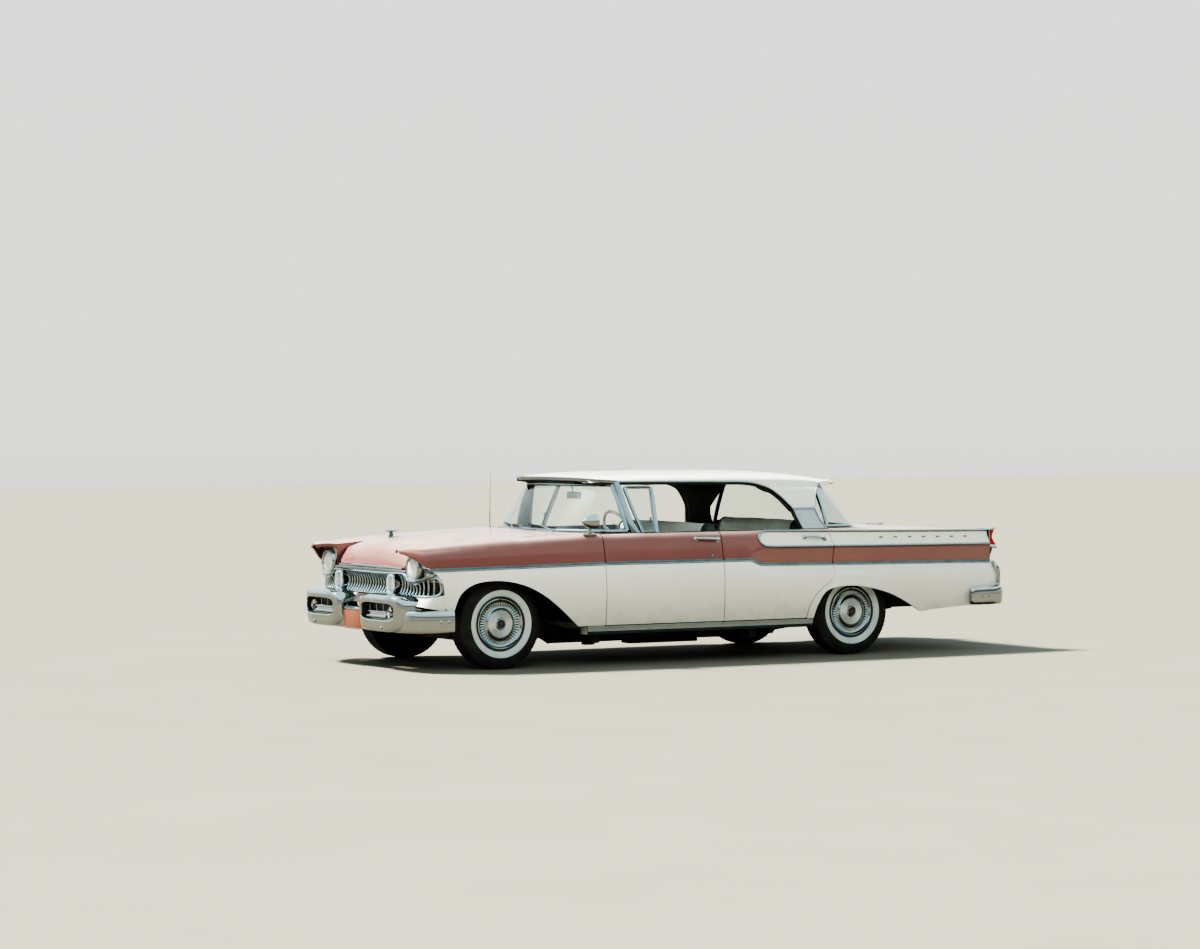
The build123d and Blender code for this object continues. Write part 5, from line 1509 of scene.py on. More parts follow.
# wipers lying on the foot of the windscreen
for k, (y0, y1) in enumerate(((-420, -60), (60, 420))):
    def wsx(y, z):
        a, b = np.array(WS_LOW), np.array(WS_TOP)
        lo_, hi_ = np.interp(abs(y), a[:, 1], a[:, 0]), np.interp(abs(y), b[:, 1], b[:, 0])
        return float(lo_ + (hi_ - lo_) * (z - 1000) / 338.0) - 26
    arm = cr([(wsx(y0, 985) - 22, y0, 992), (wsx(y0, 1000) - 20, y0 + 60, 1008), (wsx((y0 + y1) / 2, 1030) - 6, (y0 + y1) / 2, 1030)], 8)
    blade = [(wsx(y, 1022 + 14 * t) - 2, y, 1018 + 18 * t) for t, y in zip(np.linspace(0, 1, 16), np.linspace(y0 + 20, y1 + 10, 16))]
    bits = [tube(arm, 5, 8, scale=np.linspace(1.4, .8, len(arm))), lathe([(-14, 0), (-14, 15), (4, 15), (12, 9), (13, 0)], arm[0], (0, 0, 1), 20)]
    v, f, m = join(bits)
    add("wiper_arm_%d" % (k + 1), v, f, SATIN, "body", recalc=True)
    v, f = sweep(np.array(blade), [(-3, -6), (5, -3), (6, 3), (-3, 6)], (-1, 0, .4))
    add("wiper_blade_%d" % (k + 1), v, f, SEAL, "body", recalc=True)

# cowl air grille
bits = []
for k in range(15):
    y = -196 + k * 28
    bits.append(rbox((612, y, 1000.5 - 6 * (abs(y) / 400.0) ** 2), (62, 10, 5), 2))
for x in (578, 646):
    bits.append(rbox((x, 0, 1000.5), (6, 424, 6), 2))
v, f, m = join(bits)
add("cowl_air_grille", v, f, STAINLESS, "body")

# ------------------------------------------------------------------ headlamps
LAMP = (-650.0, 705.0, 752.0)
for side, mir, sg in SIDES:
    lens = [(24, 0), (23.5, 14), (21.5, 34), (17, 54), (11, 68), (4, 78), (0, 80), (-4, 80), (1, 68), (8, 54), (13, 34), (15.5, 14), (16, 0)]
    v, f = lathe(lens, LAMP, (-1, 0, 0), 72)
    ob = add("headlamp_lens_painted_bright_" + side, v, f, LENS, "body", mirror=mir, recalc=True, auto=60)
    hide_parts("headlights")
    bowl = [(-2, 79), (-14, 70), (-26, 56), (-36, 38), (-42, 18), (-43, 0), (-46, 0), (-46, 20), (-40, 42), (-30, 60), (-16, 75), (-3, 82)]
    bul = [(-42, 0), (-42, 12), (-30, 13), (-22, 11), (-16, 6), (-14, 0)]
    v, f, m = join([lathe(bowl, LAMP, (-1, 0, 0), 56, closed=False), lathe(bul, LAMP, (-1, 0, 0), 24)])
    add("headlamp_bowl_" + side, v, f, CHROME, "body", mirror=mir, recalc=True)
    bez = [(-24, 86), (-24, 104), (-8, 108), (5, 106), (13, 99), (16, 90), (13, 82), (5, 78), (-4, 80), (-4, 86)]
    v, f = lathe(bez, LAMP, (-1, 0, 0), 80, closed=True)
    add("headlamp_rim_" + side, v, f, CHROME, "body", mirror=mir, recalc=True, auto=50)
    bucket = [(-24, 97), (-72, 92), (-84, 70), (-88, 40), (-88, 0), (-84, 0), (-82, 60), (-68, 86), (-24, 90)]
    v, f = lathe(bucket, LAMP, (-1, 0, 0), 48)
    add("headlamp_bucket_" + side, v, f, UNDER, "body", mirror=mir, recalc=True)
    # the grey panel that the lamp stands in
    ne = NOSE_EDGE[np.argsort(NOSE_EDGE[:, 1])]
    G = []
    for z in np.linspace(655, 872, 22):
        xo = max(float(np.interp(z, ne[:, 1], ne[:, 0])) + 9, -632) if z < 752 else -632
        xo = min(xo, -540)
        yo = side_y(max(xo, NOSE), min(z, 880), "fender") - 5 - (0 if z < 800 else (z - 800) * .55)
        yi = 600 if z < 850 else 600 + (z - 850) * .8
        G.append([(-634 + (xo + 634) * t ** 2.2 - 5 * math.sin(math.pi * t), yi + (yo - yi) * t, z) for t in np.linspace(0, 1, 18)])
    G = np.array(G)
    v, f, m = shell(G, 4.0, flip=True)
    add("lamp_panel_" + side, v, f, SILVER, "body", mirror=mir, recalc=True, auto=40)

# bright ledge that carries the lamp
for side, mir, sg in SIDES:
    P = cr([(-640, 600, 682), (-664, 640, 664), (-672, 700, 657), (-664, 770, 662), (-640, 830, 676), (-606, 876, 694), (-574, 902, 706)], 7)
    v, f = sweep(P, [(-40, -6), (4, -8), (12, -3), (13, 4), (8, 9), (-10, 12), (-40, 12)], (-1, .25, 0), scale=np.interp(np.linspace(0, 1, len(P)), [0, .15, .85, 1], [.7, 1, 1, .6]))
    add("lamp_ledge_" + side, v, f, CHROME, "body", mirror=mir, recalc=True, auto=50)

# ------------------------------------------------------------------ grille
RING = metal("ring_plate", (.84, .86, .86), (.74, .77, .78), rough=(.12, .24))
PLAN = cr([(-652, 0), (-652, 300), (-650, 560), (-641, 680), (-622, 790), (-588, 868), (-548, 910)], 10)
PS = np.r_[0, np.cumsum(np.hypot(*np.diff(PLAN, axis=0).T))]


def plan_at(y):
    return float(np.interp(y, PLAN[:, 1], PLAN[:, 0]))


def plan_n(y):
    d = (plan_at(min(y + 4, 909)) - plan_at(max(y - 4, 0))) / (min(y + 4, 909) - max(y - 4, 0))
    n = np.array([-1.0, d, 0])
    return n / np.linalg.norm(n)


def hollow(y):
    return float(np.interp(abs(y), [0, 380, 520, 700, 860], [34, 34, 30, 22, 8]))


TOPZ = cr([(0, 704), (300, 704), (575, 704), (612, 684), (650, 652), (705, 638), (762, 648), (806, 668), (850, 682), (905, 688)], 6)
for side, mir, sg in SIDES:
    bits = []
    # closed bright frame of this half
    top = [(plan_at(y) - 6, y, np.interp(y, TOPZ[:, 0], TOPZ[:, 1])) for y in np.linspace(0, 880, 60)]
    end = [(-560, 902, 688), (-546, 914, 672), (-536, 921, 640), (-533, 923, 606), (-540, 919, 574), (-562, 902, 556)]
    bot = [(plan_at(y) - 6, y, 551) for y in np.linspace(870, 0, 50)]
    P = np.array(top + [tuple(q) for q in cr(end, 5)] + bot)
    N = []
    for p in P:
        n = plan_n(min(abs(p[1]), 905))
        if p[1] > 885:
            n = np.array([-.55, .83, 0])
        N.append(n)
    bits.append(sweep(P, [(-20, -10), (2, -12), (10, -8), (14, 0), (10, 8), (2, 12), (-20, 10)], np.array(N)))
    v, f, m = join(bits)
    ob = add("grille_frame_" + side, v, f, CHROME, "body", mirror=mir, recalc=True, auto=50)
    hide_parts("grille")
    bits = []
    s = 24.0
    while s < PS[-1] - 12:
        y = float(np.interp(s, PS, PLAN[:, 1]))
        s += 44.0
        if 380 < y < 484:
            continue
        zt = float(np.interp(y, TOPZ[:, 0], TOPZ[:, 1])) - 4
        n = plan_n(y)
        zz = np.linspace(554, zt, 16)
        P = np.array([np.array([plan_at(y), y, z]) + n * (8 - hollow(y) * math.sin(math.pi * (z - 554) / (zt - 554)) ** .8) for z in zz])
        bits.append(sweep(P, [(-22, -6), (3, -9), (10, -6), (12.5, 0), (10, 6), (3, 9), (-22, 6)], n))
    v, f, m = join(bits)
    add("grille_bars_" + side, v, f, CHROME, "body", mirror=mir, recalc=True, auto=50)
    # dark sheet behind the bars: painted shade of the hollow behind the grille
    G = np.array([[(plan_at(y) + (hollow(y) + 26) * (1 if y < 800 else 1 - (y - 800) / 150.0), y, z) for y in np.linspace(0, 900, 40)] for z in np.linspace(548, 712, 8)])
    v, f, m = shell(G, 3.0, flip=True)
    add("grille_back_" + side, v, f, TRIM, "body", mirror=mir, recalc=True)
    for z0 in (552, 702):
        G = np.array([[(plan_at(y) + (hollow(y) + 26) * t, y, z0 if z0 < 600 else float(np.interp(y, TOPZ[:, 0], TOPZ[:, 1]))) for y in np.linspace(0, 850, 30)] for t in (0, .5, 1)])
        v, f, m = shell(G, 2.0)
        add("grille_shelf_%s_%s" % ("low" if z0 < 600 else "high", side), v, f, UNDER, "body", mirror=mir, recalc=True)
    # oval ring with its barrel
    a = np.linspace(0, 2 * math.pi, 56, endpoint=False)

    def oval(hw, hh, x, p=2.5):
        c, s_ = np.cos(a), np.sin(a)
        return np.stack([np.full(len(a), x), 432 + hw * np.sign(c) * np.abs(c) ** (2 / p), 630 + hh * np.sign(s_) * np.abs(s_) ** (2 / p)], 1)
    rings = [oval(52, 66, -566), oval(53, 67, -640), oval(55, 70, -676), oval(60, 75, -686), oval(60, 75, -698), oval(56, 71, -706), oval(48, 63, -708), oval(41, 56, -703), oval(38, 53, -690), oval(37, 52, -640)]
    v = np.vstack(rings)
    f = grid_faces(len(rings), len(a), wc=True)
    # dark cup closing the ring's barrel, behind the slats: painted shade of the hollow inside the ring
    rr2 = [oval(44, 60, -650), oval(40, 56, -658), oval(24, 36, -660), oval(1, 1, -661)]
    v2 = np.vstack(rr2)
    f2 = grid_faces(len(rr2), len(a), wc=True)
    slats = []
    for dy in (-27, -9, 9, 27):
        hh = 52 * (1 - (abs(dy) / 40.0) ** 2.5) ** (1 / 2.5) + 1
        zz = np.linspace(630 - hh, 630 + hh, 9)
        vs, fs = sweep(np.array([(-666 - 5 * (1 - ((z - 630) / 56.0) ** 2), 432 + dy, z) for z in zz]), [(-10, -5), (2, -6), (6, -3), (6, 3), (2, 6), (-10, 5)], (-1, 0, 0))[:2]
        slats.append((vs, fs, [0] * len(fs)))
    V_, F_, M_ = join([(v, f, [0] * len(f)), (v2, f2, [1] * len(f2))] + slats)
    add("grille_ring_" + side, V_, F_, [RING, TRIM], "body", M_, mirror=mir, auto=50, recalc=True)
P = np.array([(plan_at(abs(y)) - 2, y, 727 - 6 * (y / 585.0) ** 2) for y in np.linspace(-588, 588, 60)])
v, f = sweep(P, [(-20, -16), (0, -15), (5, -10), (5, 9), (0, 14), (-20, 15)], (-1, 0, 0))
add("grille_header", v, f, STAINLESS, "body", recalc=True, auto=50)

# ------------------------------------------------------------------ front bumper
BP = cr([(-772, 0), (-774, 130), (-796, 200), (-800, 420), (-798, 640), (-766, 790), (-700, 890), (-610, 952), (-520, 984), (-462, 995)], 8)
BPr = np.array([(p[0], p[1]) for p in BP])


def bump_n(P):
    t = np.gradient(P, axis=0)
    n = np.stack([-t[:, 1], t[:, 0]], 1)
    n[n[:, 0] > 0] *= 1
    n /= np.linalg.norm(n, axis=1, keepdims=True)
    return np.column_stack([n, np.zeros(len(n))])


full = np.vstack([BPr[:0:-1] * [1, -1], BPr])
path = np.column_stack([full, np.full(len(full), 374.0)])
N = bump_n(full)
if N[len(N) // 2, 0] > 0:
    N = -N
prof = [(-30, -82), (-6, -86), (2, -80), (7, -60), (9, -10), (8, 30), (4, 58), (-1, 68), (-7, 73), (-34, 78), (-34, 70), (-12, 64), (-5, 54), (-3, 0), (-4, -60), (-8, -72), (-30, -76)]
v, f = sweep(path, prof, N)
ob = add("front_bumper_bar", v, f, CHROME, "body", recalc=True, auto=42)
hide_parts("front_bumper")
NP_ = 96
aa = np.linspace(0, 2 * math.pi, NP_, endpoint=False)


def sup(cy, cz, hy, hz, p):
    c, s_ = np.cos(aa), np.sin(aa)
    return np.stack([cy + hy * np.sign(c) * np.abs(c) ** (2 / p), cz + hz * np.sign(s_) * np.abs(s_) ** (2 / p)], 1)


def pod_front(y, z):
    base = float(np.interp(y, [158, 200, 260, 600, 700, 760, 812], [-826, -842, -850, -850, -836, -815, -780]))
    return base + 10 * step(430, 300, z) + 22 * step(540, 568, z)


outer = sup(484, 425, 326, 142, 4.2)
slot_ = sup(482, 436, 240, 60, 5.0)
loops = []
for t, dep in ((0, 150), (0, 96), (0, 62), (.02, 40), (.06, 22), (.13, 9), (.25, 2), (.5, -1), (.75, -2), (.92, -1), (.985, 4), (1.0, 12), (1.0, 30), (1.0, 66), (1.06, 70)):
    q = outer * (1 - t) + slot_ * t
    if t > 1.0:
        q = slot_.mean(0) + (slot_ - slot_.mean(0)) * .02
    loops.append(np.array([(pod_front(y, z) + dep, y, z) for y, z in q]))
v = np.vstack(loops)
f = grid_faces(len(loops), NP_, wc=True)
# the slot's inner walls and closed back are dark board: painted shade of the deep slot
fm_ = [1 if i >= 11 else 0 for i in range(len(loops) - 1) for j in range(NP_)]
for side, mir, sg in SIDES:
    add("bumper_pod_" + side, v, f, [CHROME, TRIM], "body", fm_, mirror=mir, auto=38, recalc=True)
    bits = []
    for z, ra, rb in ((398, 11, 14), (432, 5, 6)):
        P = np.array([(pod_front(y, z) + 38, y, z) for y in np.linspace(250, 590, 24)])
        bits.append(sweep(P, ring_prof(ra, 12, rb), (-1, 0, 0)))
    for y in (300, 410, 520):
        bits.append(rbox((pod_front(y, 436) + 52, y, 436), (10, 8, 114), 3))
    v3, f3, m3 = join(bits)
    add("bumper_slot_bars_" + side, v3, f3, CHROME, "body", mirror=mir, recalc=True)
    c0 = (pod_front(640, 436) + 40, 640, 436)
    v3, f3 = lathe([(0, 0), (18, 0), (16, 24), (9, 38), (0, 42), (-8, 42), (-8, 0)], c0, (-1, 0, 0), 40)
    add("parking_lamp_" + side, v3, f3, PARK_LENS, "body", mirror=mir, recalc=True)
    # bolt heads
    bits = []
    for p, n in (((pod_front(560, 318) - 1, 560, 318), (-1, 0, 0)),):
        bits.append(lathe([(-4, 0), (-4, 13), (2, 13), (6, 9), (8, 0)], p, n, 24))
    for x in (-560, -505):
        y = float(np.interp(x, BPr[::1, 0], BPr[::1, 1])) if BPr[0, 0] < BPr[-1, 0] else 970
        k = int(np.argmin(abs(BPr[:, 0] - x)))
        nn = bump_n(BPr)[k]
        nn = nn if nn[1] > 0 else -nn
        bits.append(lathe([(4, 0), (4, 11), (10, 11), (13, 8), (15, 0)], (BPr[k, 0], BPr[k, 1], 372), tuple(nn), 24))
    v3, f3, m3 = join(bits)
    add("bumper_bolts_" + side, v3, f3, CHROME, "body", mirror=mir, recalc=True)
# blank plate and its bright frame, between the pods
v, f = rbox((-794, 0, 359), (3, 296, 138), 1.2)
add("front_plate_blank", v, f, AMBER, "body")
P = np.array([(-796, y, z) for y, z in sup(0, 359, 150, 71, 12)])
v, f = sweep(P, ring_prof(3, 8, 5), (-1, 0, 0), closed=True)
add("front_plate_rim", v, f, CHROME, "body", recalc=True)
# valance between grille and bumper
G = []
for t in np.linspace(0, 1, 8):
    row = [(plan_at(y) - 8 - 62 * t, y, 547 - 66 * t) for y in np.linspace(0, 850, 29)]
    x1, y1 = row[-1][0], row[-1][1]
    zr = 547 - 66 * t
    xe = float(np.interp(zr, ne[:, 1], ne[:, 0])) + 4
    ye = side_y(xe, zr, "fender") - 3
    zr2 = 547 - 100 * t
    for k in np.linspace(0, 1, 14)[1:]:
        e1 = k ** 1.4
        row.append((x1 + (xe - x1) * e1, y1 + (ye - y1) * math.sin(k * math.pi / 2) ** .8, zr + (zr2 - zr) * k + 16 * (1 - t) * k))
    G.append([(a_, -b_, c_) for a_, b_, c_ in row[:0:-1]] + row)
G = np.array(G)
v, f, m = shell(G, 3.0, flip=False)
m = [1 if abs(np.mean([v[i][1] for i in q])) < 172 else 0 for q in f]
add("front_valance", v, f, [WHITE, UNDER], "body", m, recalc=True)

# ------------------------------------------------------------------ wheels and tyres
WHEELS = [("front_left", -754, 0), ("front_right", 754, 0), ("rear_left", -749, 3099), ("rear_right", 749, 3099)]
HUB_Z = 335.0


def tyre(cy, cx, s):
    """Carcass by turning the section, the tread ribs cut by zigzag grooves."""
    n = 240
    half = [(72, 194), (76, 198), (84, 203), (93, 214), (98.5, 232), (100, 249), (99, 251), (99.5, 254), (99.5, 268), (97, 284), (92.5, 298), (86, 312), (82, 321), (80, 327), (77.5, 330.5)]
    prof = [(a, r) for a, r in half]
    rows = []
    th = np.linspace(0, 2 * math.pi, n, endpoint=False)
    zig = 3.4 * (2 * np.abs((th * 60 / (2 * math.pi)) % 1 - .5) * 2 - 1)
    for k, (a, r) in enumerate(prof):
        rr = np.full(n, float(r))
        if k >= len(prof) - 3:
            rr -= np.where((np.arange(n) % 4) < 1, 3.0, 0.0)
        rows.append((np.full(n, a), rr))
    edges = [62, 40, 18, -18, -40, -62]
    for e in (64.5, 61.5, 58, 54, 41, 38, 34, 30, 14, 11, 7, 3, -3, -7, -11, -14, -30, -34, -38, -41, -54, -58, -61.5, -64.5):
        deep = any(lo < abs(e) < hi for lo, hi in ((55, 63), (31.5, 39.5), (5, 12)))
        base = 335.0 - 2.6 * (abs(e) / 66.0) ** 2.2
        rr = np.full(n, base - (8.0 if deep else 0))
        if not deep and 12 < abs(e) < 54:
            rr -= np.where((np.arange(n) % 8) == 0, 2.0, 0.0)
        rows.append((np.full(n, float(e)) + zig, rr))
    for k, (a, r) in enumerate(prof[::-1]):
        rr = np.full(n, float(r))
        if k < 3:
            rr -= np.where((np.arange(n) % 4) < 1, 3.0, 0.0)
        rows.append((np.full(n, -float(a)), rr))
    V = []
    for a, r in rows:
        V.append(np.stack([cx + r * np.sin(th), cy + s * a, HUB_Z + r * np.cos(th)], 1))
    V = np.vstack(V)
    f = grid_faces(len(rows), n, wc=True, flip=s < 0)
    fm = []
    lo, hi = 4, 4 + 1
    for i in range(len(rows) - 1):
        ww = 2 <= i <= 5 and prof[i][1] >= 197
        fm += [1 if ww else 0] * n
    return V, f, fm


def cover(cy, cx, s):
    """Pressed full cover: rolled rim, dished fluted band, stepped ringed dome and a small plain centre."""
    P = [(66, 186), (74, 191), (80, 191), (83.5, 188), (85, 184), (84, 179), (80, 175.5), (74, 171), (69, 163), (66.5, 152), (66, 138), (67, 126), (70, 116), (75, 109), (79, 106), (80.5, 103.5),
         (80.5, 101), (79.6, 100.5), (80.6, 99)]
    r = 99.0
    while r > 44:
        z = 80.6 + (99 - r) * .09
        P += [(z + .9, r - 1.2), (z + 1.0, r - 3.0), (z, r - 4.4)]
        r -= 5.0
    P += [(87, 42), (92, 38), (94, 33), (93, 31), (91, 30.2)]
    n = 192
    th = np.linspace(0, 2 * math.pi, n, endpoint=False)
    V = []
    for a, r in P:
        aa_ = np.full(n, float(a))
        if 120 <= r <= 172:
            aa_ += 2.2 * np.sin(th * 48) * math.sin(math.pi * (r - 118) / 56.0)
        V.append(np.stack([cx + r * np.sin(th), cy + s * aa_, HUB_Z + r * np.cos(th)], 1))
    V = np.vstack(V)
    f = grid_faces(len(P), n, wc=True, flip=s < 0)
    med, mf = lathe([(86, 30.4), (91, 30.2), (92.5, 29), (92.8, 15), (93.5, 11.5), (95.5, 10.5), (96.2, 7), (96.5, 0)], (cx, cy, HUB_Z), (0, s, 0), 64)
    mm = []
    for q in mf:
        rad = np.mean([math.hypot(med[i][0] - cx, med[i][2] - HUB_Z) for i in q])
        mm.append(2 if rad < 10.2 else (1 if rad > 11.6 and rad < 30.1 else 0))
    fm = []
    for i in range(len(P) - 1):
        fm += [3 if (P[i][1] < 100 and P[i][1] > 43) else 0] * n
    return join([(V, f, fm), (med, mf, mm)])


def disc(cy, cx, s):
    rim = [(-92, 190), (-90, 201), (-82, 201), (-80, 196), (-76, 193), (-68, 192), (-62, 182), (-30, 168), (40, 168), (60, 178), (66, 192), (74, 193), (80, 196), (82, 201), (88, 201), (90, 196), (80, 184), (72, 174), (56, 166),
           (36, 160), (20, 140), (18, 110), (30, 90), (34, 60), (34, 30), (28, 28), (24, 60), (20, 88), (8, 108), (10, 142), (28, 164), (-28, 163), (-60, 176), (-76, 186)]
    v, f = lathe(rim, (cx, cy, HUB_Z), (0, s, 0), 96, closed=True)
    bits = [(v, f, [0] * len(f))]
    hub, hf = lathe([(-80, 0), (-80, 40), (-70, 58), (-30, 70), (-14, 150), (6, 152), (10, 60), (34, 42), (58, 34), (70, 22), (72, 0)], (cx, cy, HUB_Z), (0, s, 0), 64)
    bits.append((hub, hf, [1] * len(hf)))
    for k in range(5):
        a = math.radians(72 * k + 20)
        v, f = lathe([(0, 0), (30, 0), (30, 8), (28, 10), (10, 10), (10, 13), (0, 13)][::-1] + [], (cx + 58 * math.sin(a), cy + s * 34, HUB_Z + 58 * math.cos(a)), (0, s, 0), 12)
        bits.append((v, f, [1] * len(f)))
    return join(bits)


for nm, cy, cx in WHEELS:
    s = -1 if cy < 0 else 1
    body = nm.split("_")[0] + "_wheel_" + nm.split("_")[1]
    v, f, fm = tyre(cy, cx, s)
    node_t = "tyre_" + nm if "tyre_" + nm in NODES else None
    ob = add("tyre_visual_" + nm, v, f, [BLACK_RUBBER, WHITEWALL_SHADE_TONED], body, fm, auto=30)
    ob2v, ob2f, ob2m = cover(cy, cx, s)
    ob2 = add("wheel_cover_" + nm, ob2v, ob2f, [COVER, TRIM, RED_DOT, DISC_GREY], body, ob2m, auto=26, recalc=True)
    dv, df, dm = disc(cy, cx, s)
    ob3 = add("wheel_disc_" + nm, dv, df, [UNDER, CAST], body, dm, auto=30, recalc=True)
    for key in NODES:
        if key.startswith("tyre") and nm in key:
            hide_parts(key)
        if key.startswith("wheel") and nm in key:
            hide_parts(key)
    # valve
    v, f = lathe([(0, 0), (0, 3.5), (26, 3), (27, 4), (36, 4), (37, 0)], (cx, cy + s * 74, HUB_Z + 176), (0, s, 0), 12)
    add("valve_" + nm, v, f, SEAL, body)

# ------------------------------------------------------------------ the inside
def cushion(name, outline, hw, body, mats, pitch=36.0, depth=6.5, crown=14.0, sides=None, ny=None, replaces=None, end=70.0, keep_dark=None):
    """A bench cushion: its section drawn out across the car, fuller in the middle, pulled in at each seam and rounded at the ends."""
    o = cr(outline, 9, closed=True)
    c = o.mean(0)
    nrm = np.roll(o, -1, 0) - np.roll(o, 1, 0)
    nrm = np.stack([nrm[:, 1], -nrm[:, 0]], 1)
    nrm /= np.linalg.norm(nrm, axis=1, keepdims=True)
    if ((o + nrm * 5 - c) ** 2).sum() < ((o - c) ** 2).sum():
        nrm = -nrm
    w = sides(o, nrm) if sides else np.ones(len(o))
    step_ = pitch / 6.0
    nst = int(2 * (hw - end) / step_)
    ys = list(np.linspace(-(hw - end), hw - end, nst))
    a = np.linspace(0, math.pi / 2, 12)[1:]
    left = [(-(hw - end) - end * math.sin(t), 1 - .34 * (1 - math.cos(t)) ** 1.3) for t in a]
    rows = [(y, s) for y, s in left[::-1]] + [(y, 1.0) for y in ys] + [(-y, s) for y, s in left]
    G, lab = [], []
    for y, s in rows:
        inside = abs(y) < hw - end + .1
        g = 0.0
        if inside:
            ph = (y / pitch) % 1.0
            g = -depth * (1 - abs(math.sin(math.pi * ph)) ** .45)
        cr_ = crown * (1 - (y / hw) ** 2)
        wr = 1.8 * math.sin(y / 61.0) + 1.1 * math.sin(y / 23.0 + 1.3)
        pts = o + nrm * ((g + cr_ * .5 + wr * .5) * w)[:, None] + nrm * (cr_ * .5 * w)[:, None]
        k = 1.0 - (1 - s)
        pts = c + (pts - c) * k if s < 1 else pts
        G.append(np.column_stack([pts[:, 0], np.full(len(pts), y), pts[:, 1]]))
    V = np.vstack(G)
    f = grid_faces(len(G), len(o), wc=True)
    n0 = len(V)
    caps = []
    for row, flip in ((0, True), (len(G) - 1, False)):
        base = row * len(o)
        V = np.vstack([V, G[row].mean(0) + [0, -6 if row == 0 else 6, 0]])
        ci = len(V) - 1
        for k in range(len(o)):
            q = (base + k, base + (k + 1) % len(o), ci)
            caps.append(q[::-1] if flip else q)
    fm = []
    for i in range(len(G) - 1):
        ends_ = not (abs(rows[i][0]) < hw - end + .5 and abs(rows[i + 1][0]) < hw - end + .5)
        for j in range(len(o)):
            fm.append(1 if (ends_ or w[j] < .5) else 0)
    fm += [1] * len(caps)
    ob = add(name, V, [tuple(q) for q in f] + caps, mats, body, fm, auto=60, recalc=True)
    if replaces:
        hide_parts(replaces)
    # piping round both ends of the pleated panel
    bits = []
    for s in (-1, 1):
        y = s * (hw - end + 2)
        pts = o + nrm * (1.5 + crown * (1 - (y / hw) ** 2))[..., None] * w[:, None] if False else o + nrm * (2.0 + crown * (1 - (y / hw) ** 2) * w)[:, None]
        bits.append(sweep(np.column_stack([pts[:, 0], np.full(len(pts), y), pts[:, 1]]), ring_prof(4.2, 8), (0, 1, 0), closed=True))
    v, f, m = join(bits)
    add(name + "_piping", v, f, SEAT_VINYL, body, recalc=True)
    return ob


def facing(zmin, below=False):
    def fn(o, n):
        w = np.array([step(-.35, .25, nn[1]) if True else 0 for nn in n])
        fr = np.array([1.0 if nn[0] < -.25 else 0.0 for nn in n])
        w = np.maximum(w, fr)
        return w * np.array([step(zmin - 30, zmin + 20, p[1]) for p in o])
    return fn


FS_CUSH = [(1404, 392), (1380, 460), (1378, 540), (1412, 576), (1520, 582), (1660, 572), (1772, 552), (1800, 520), (1796, 400), (1600, 386)]
FS_BACK = [(1806, 452), (1802, 560), (1826, 720), (1852, 890), (1872, 996), (1896, 1024), (1930, 1028), (1962, 1016), (1976, 970), (1975, 800), (1970, 600), (1950, 452)]
RS_CUSH = [(2276, 430), (2256, 500), (2258, 556), (2292, 588), (2400, 592), (2540, 582), (2650, 562), (2680, 530), (2676, 440), (2480, 426)]
RS_BACK = [(2692, 470), (2684, 570), (2706, 720), (2730, 900), (2750, 1008), (2774, 1034), (2806, 1037), (2834, 1022), (2846, 970), (2846, 800), (2844, 640), (2800, 500)]
mt = [PALE_CLOTH, SEAT_VINYL]
cushion("front_seat_cushion", FS_CUSH, 688, "body", mt, sides=facing(470), replaces="front_seat")
cushion("front_seat_backrest", FS_BACK, 688, "body", mt, sides=facing(560), crown=9, depth=6.5)
cushion("rear_seat_cushion", RS_CUSH, 588, "body", mt, sides=facing(500), replaces="rear_seat")
cushion("rear_seat_backrest", RS_BACK, 588, "body", mt, sides=facing(620), crown=8, depth=6.5)
# seat side shields and runners
bits = []
for s in (-1, 1):
    bits.append(prism([(1420, 330), (1960, 330), (1965, 440), (1800, 470), (1780, 520), (1420, 500), (1405, 400)], s * 672 - 8, s * 672 + 8, "xz", 5))
v, f, m = join(bits)
add("front_seat_side_shields", v, f, DOOR_VINYL, "body")
bits = []
for y in (-520, 520):
    bits.append(rbox((1650, y, 372), (520, 46, 30), 4))
v, f, m = join(bits)
add("front_seat_runners", v, f, SATIN, "body")

# steering wheel: thick moulded rim, two spokes, bright horn half-ring and a plain boss
SC = np.array([1280.0, -400.0, 945.0])
AX = np.array([math.cos(math.radians(25)), 0, math.sin(math.radians(25))])
UX = np.array([-math.sin(math.radians(25)), 0, math.cos(math.radians(25))])
VY = np.array([0, 1.0, 0])


def sw(r, a, h=0.0):
    return SC + (UX * math.cos(a) + VY * math.sin(a)) * r + AX * h


th = np.linspace(0, 2 * math.pi, 120, endpoint=False)
P = np.array([sw(205, t) for t in th])
N = np.array([AX for t in th])
sc = 1.0 + .06 * np.cos(th * 40)
rim = sweep(P, ring_prof(11.0, 16, 13.0), N, closed=True, scale=sc)
bits = [rim]
for a0 in (math.radians(68), math.radians(-68), math.radians(180)):
    path = np.array([sw(36 + (200 - 36) * t, a0, -10 - 26 * (1 - t) ** 1.2 + 8) for t in np.linspace(0, 1, 14)])
    bits.append(sweep(path, ring_prof(6.5, 10, 13), AX, scale=np.interp(np.linspace(0, 1, 14), [0, .5, 1], [1.5, .9, .95])))
boss = lathe([(-8, 0), (-8, 30), (0, 40), (18, 44), (42, 40), (46, 0)], SC - AX * 34, tuple(AX), 40)
bits.append(boss)
v, f, m = join(bits)
ob = add("steering_wheel_rim_and_spokes", v, f, IVORY, "steering_wheel_rim", recalc=True, auto=50)
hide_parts("steering_wheel")
ring = sweep(np.array([sw(132, t, -18) for t in np.linspace(math.radians(68), math.radians(292), 70)]), ring_prof(4.2, 10, 5.2), AX)
bits = [ring]
for a0 in (math.radians(70), math.radians(-70)):
    bits.append(tube(np.array([sw(34, a0, -26), sw(84, a0, -26), sw(131, a0, -18)]), 4, 8))
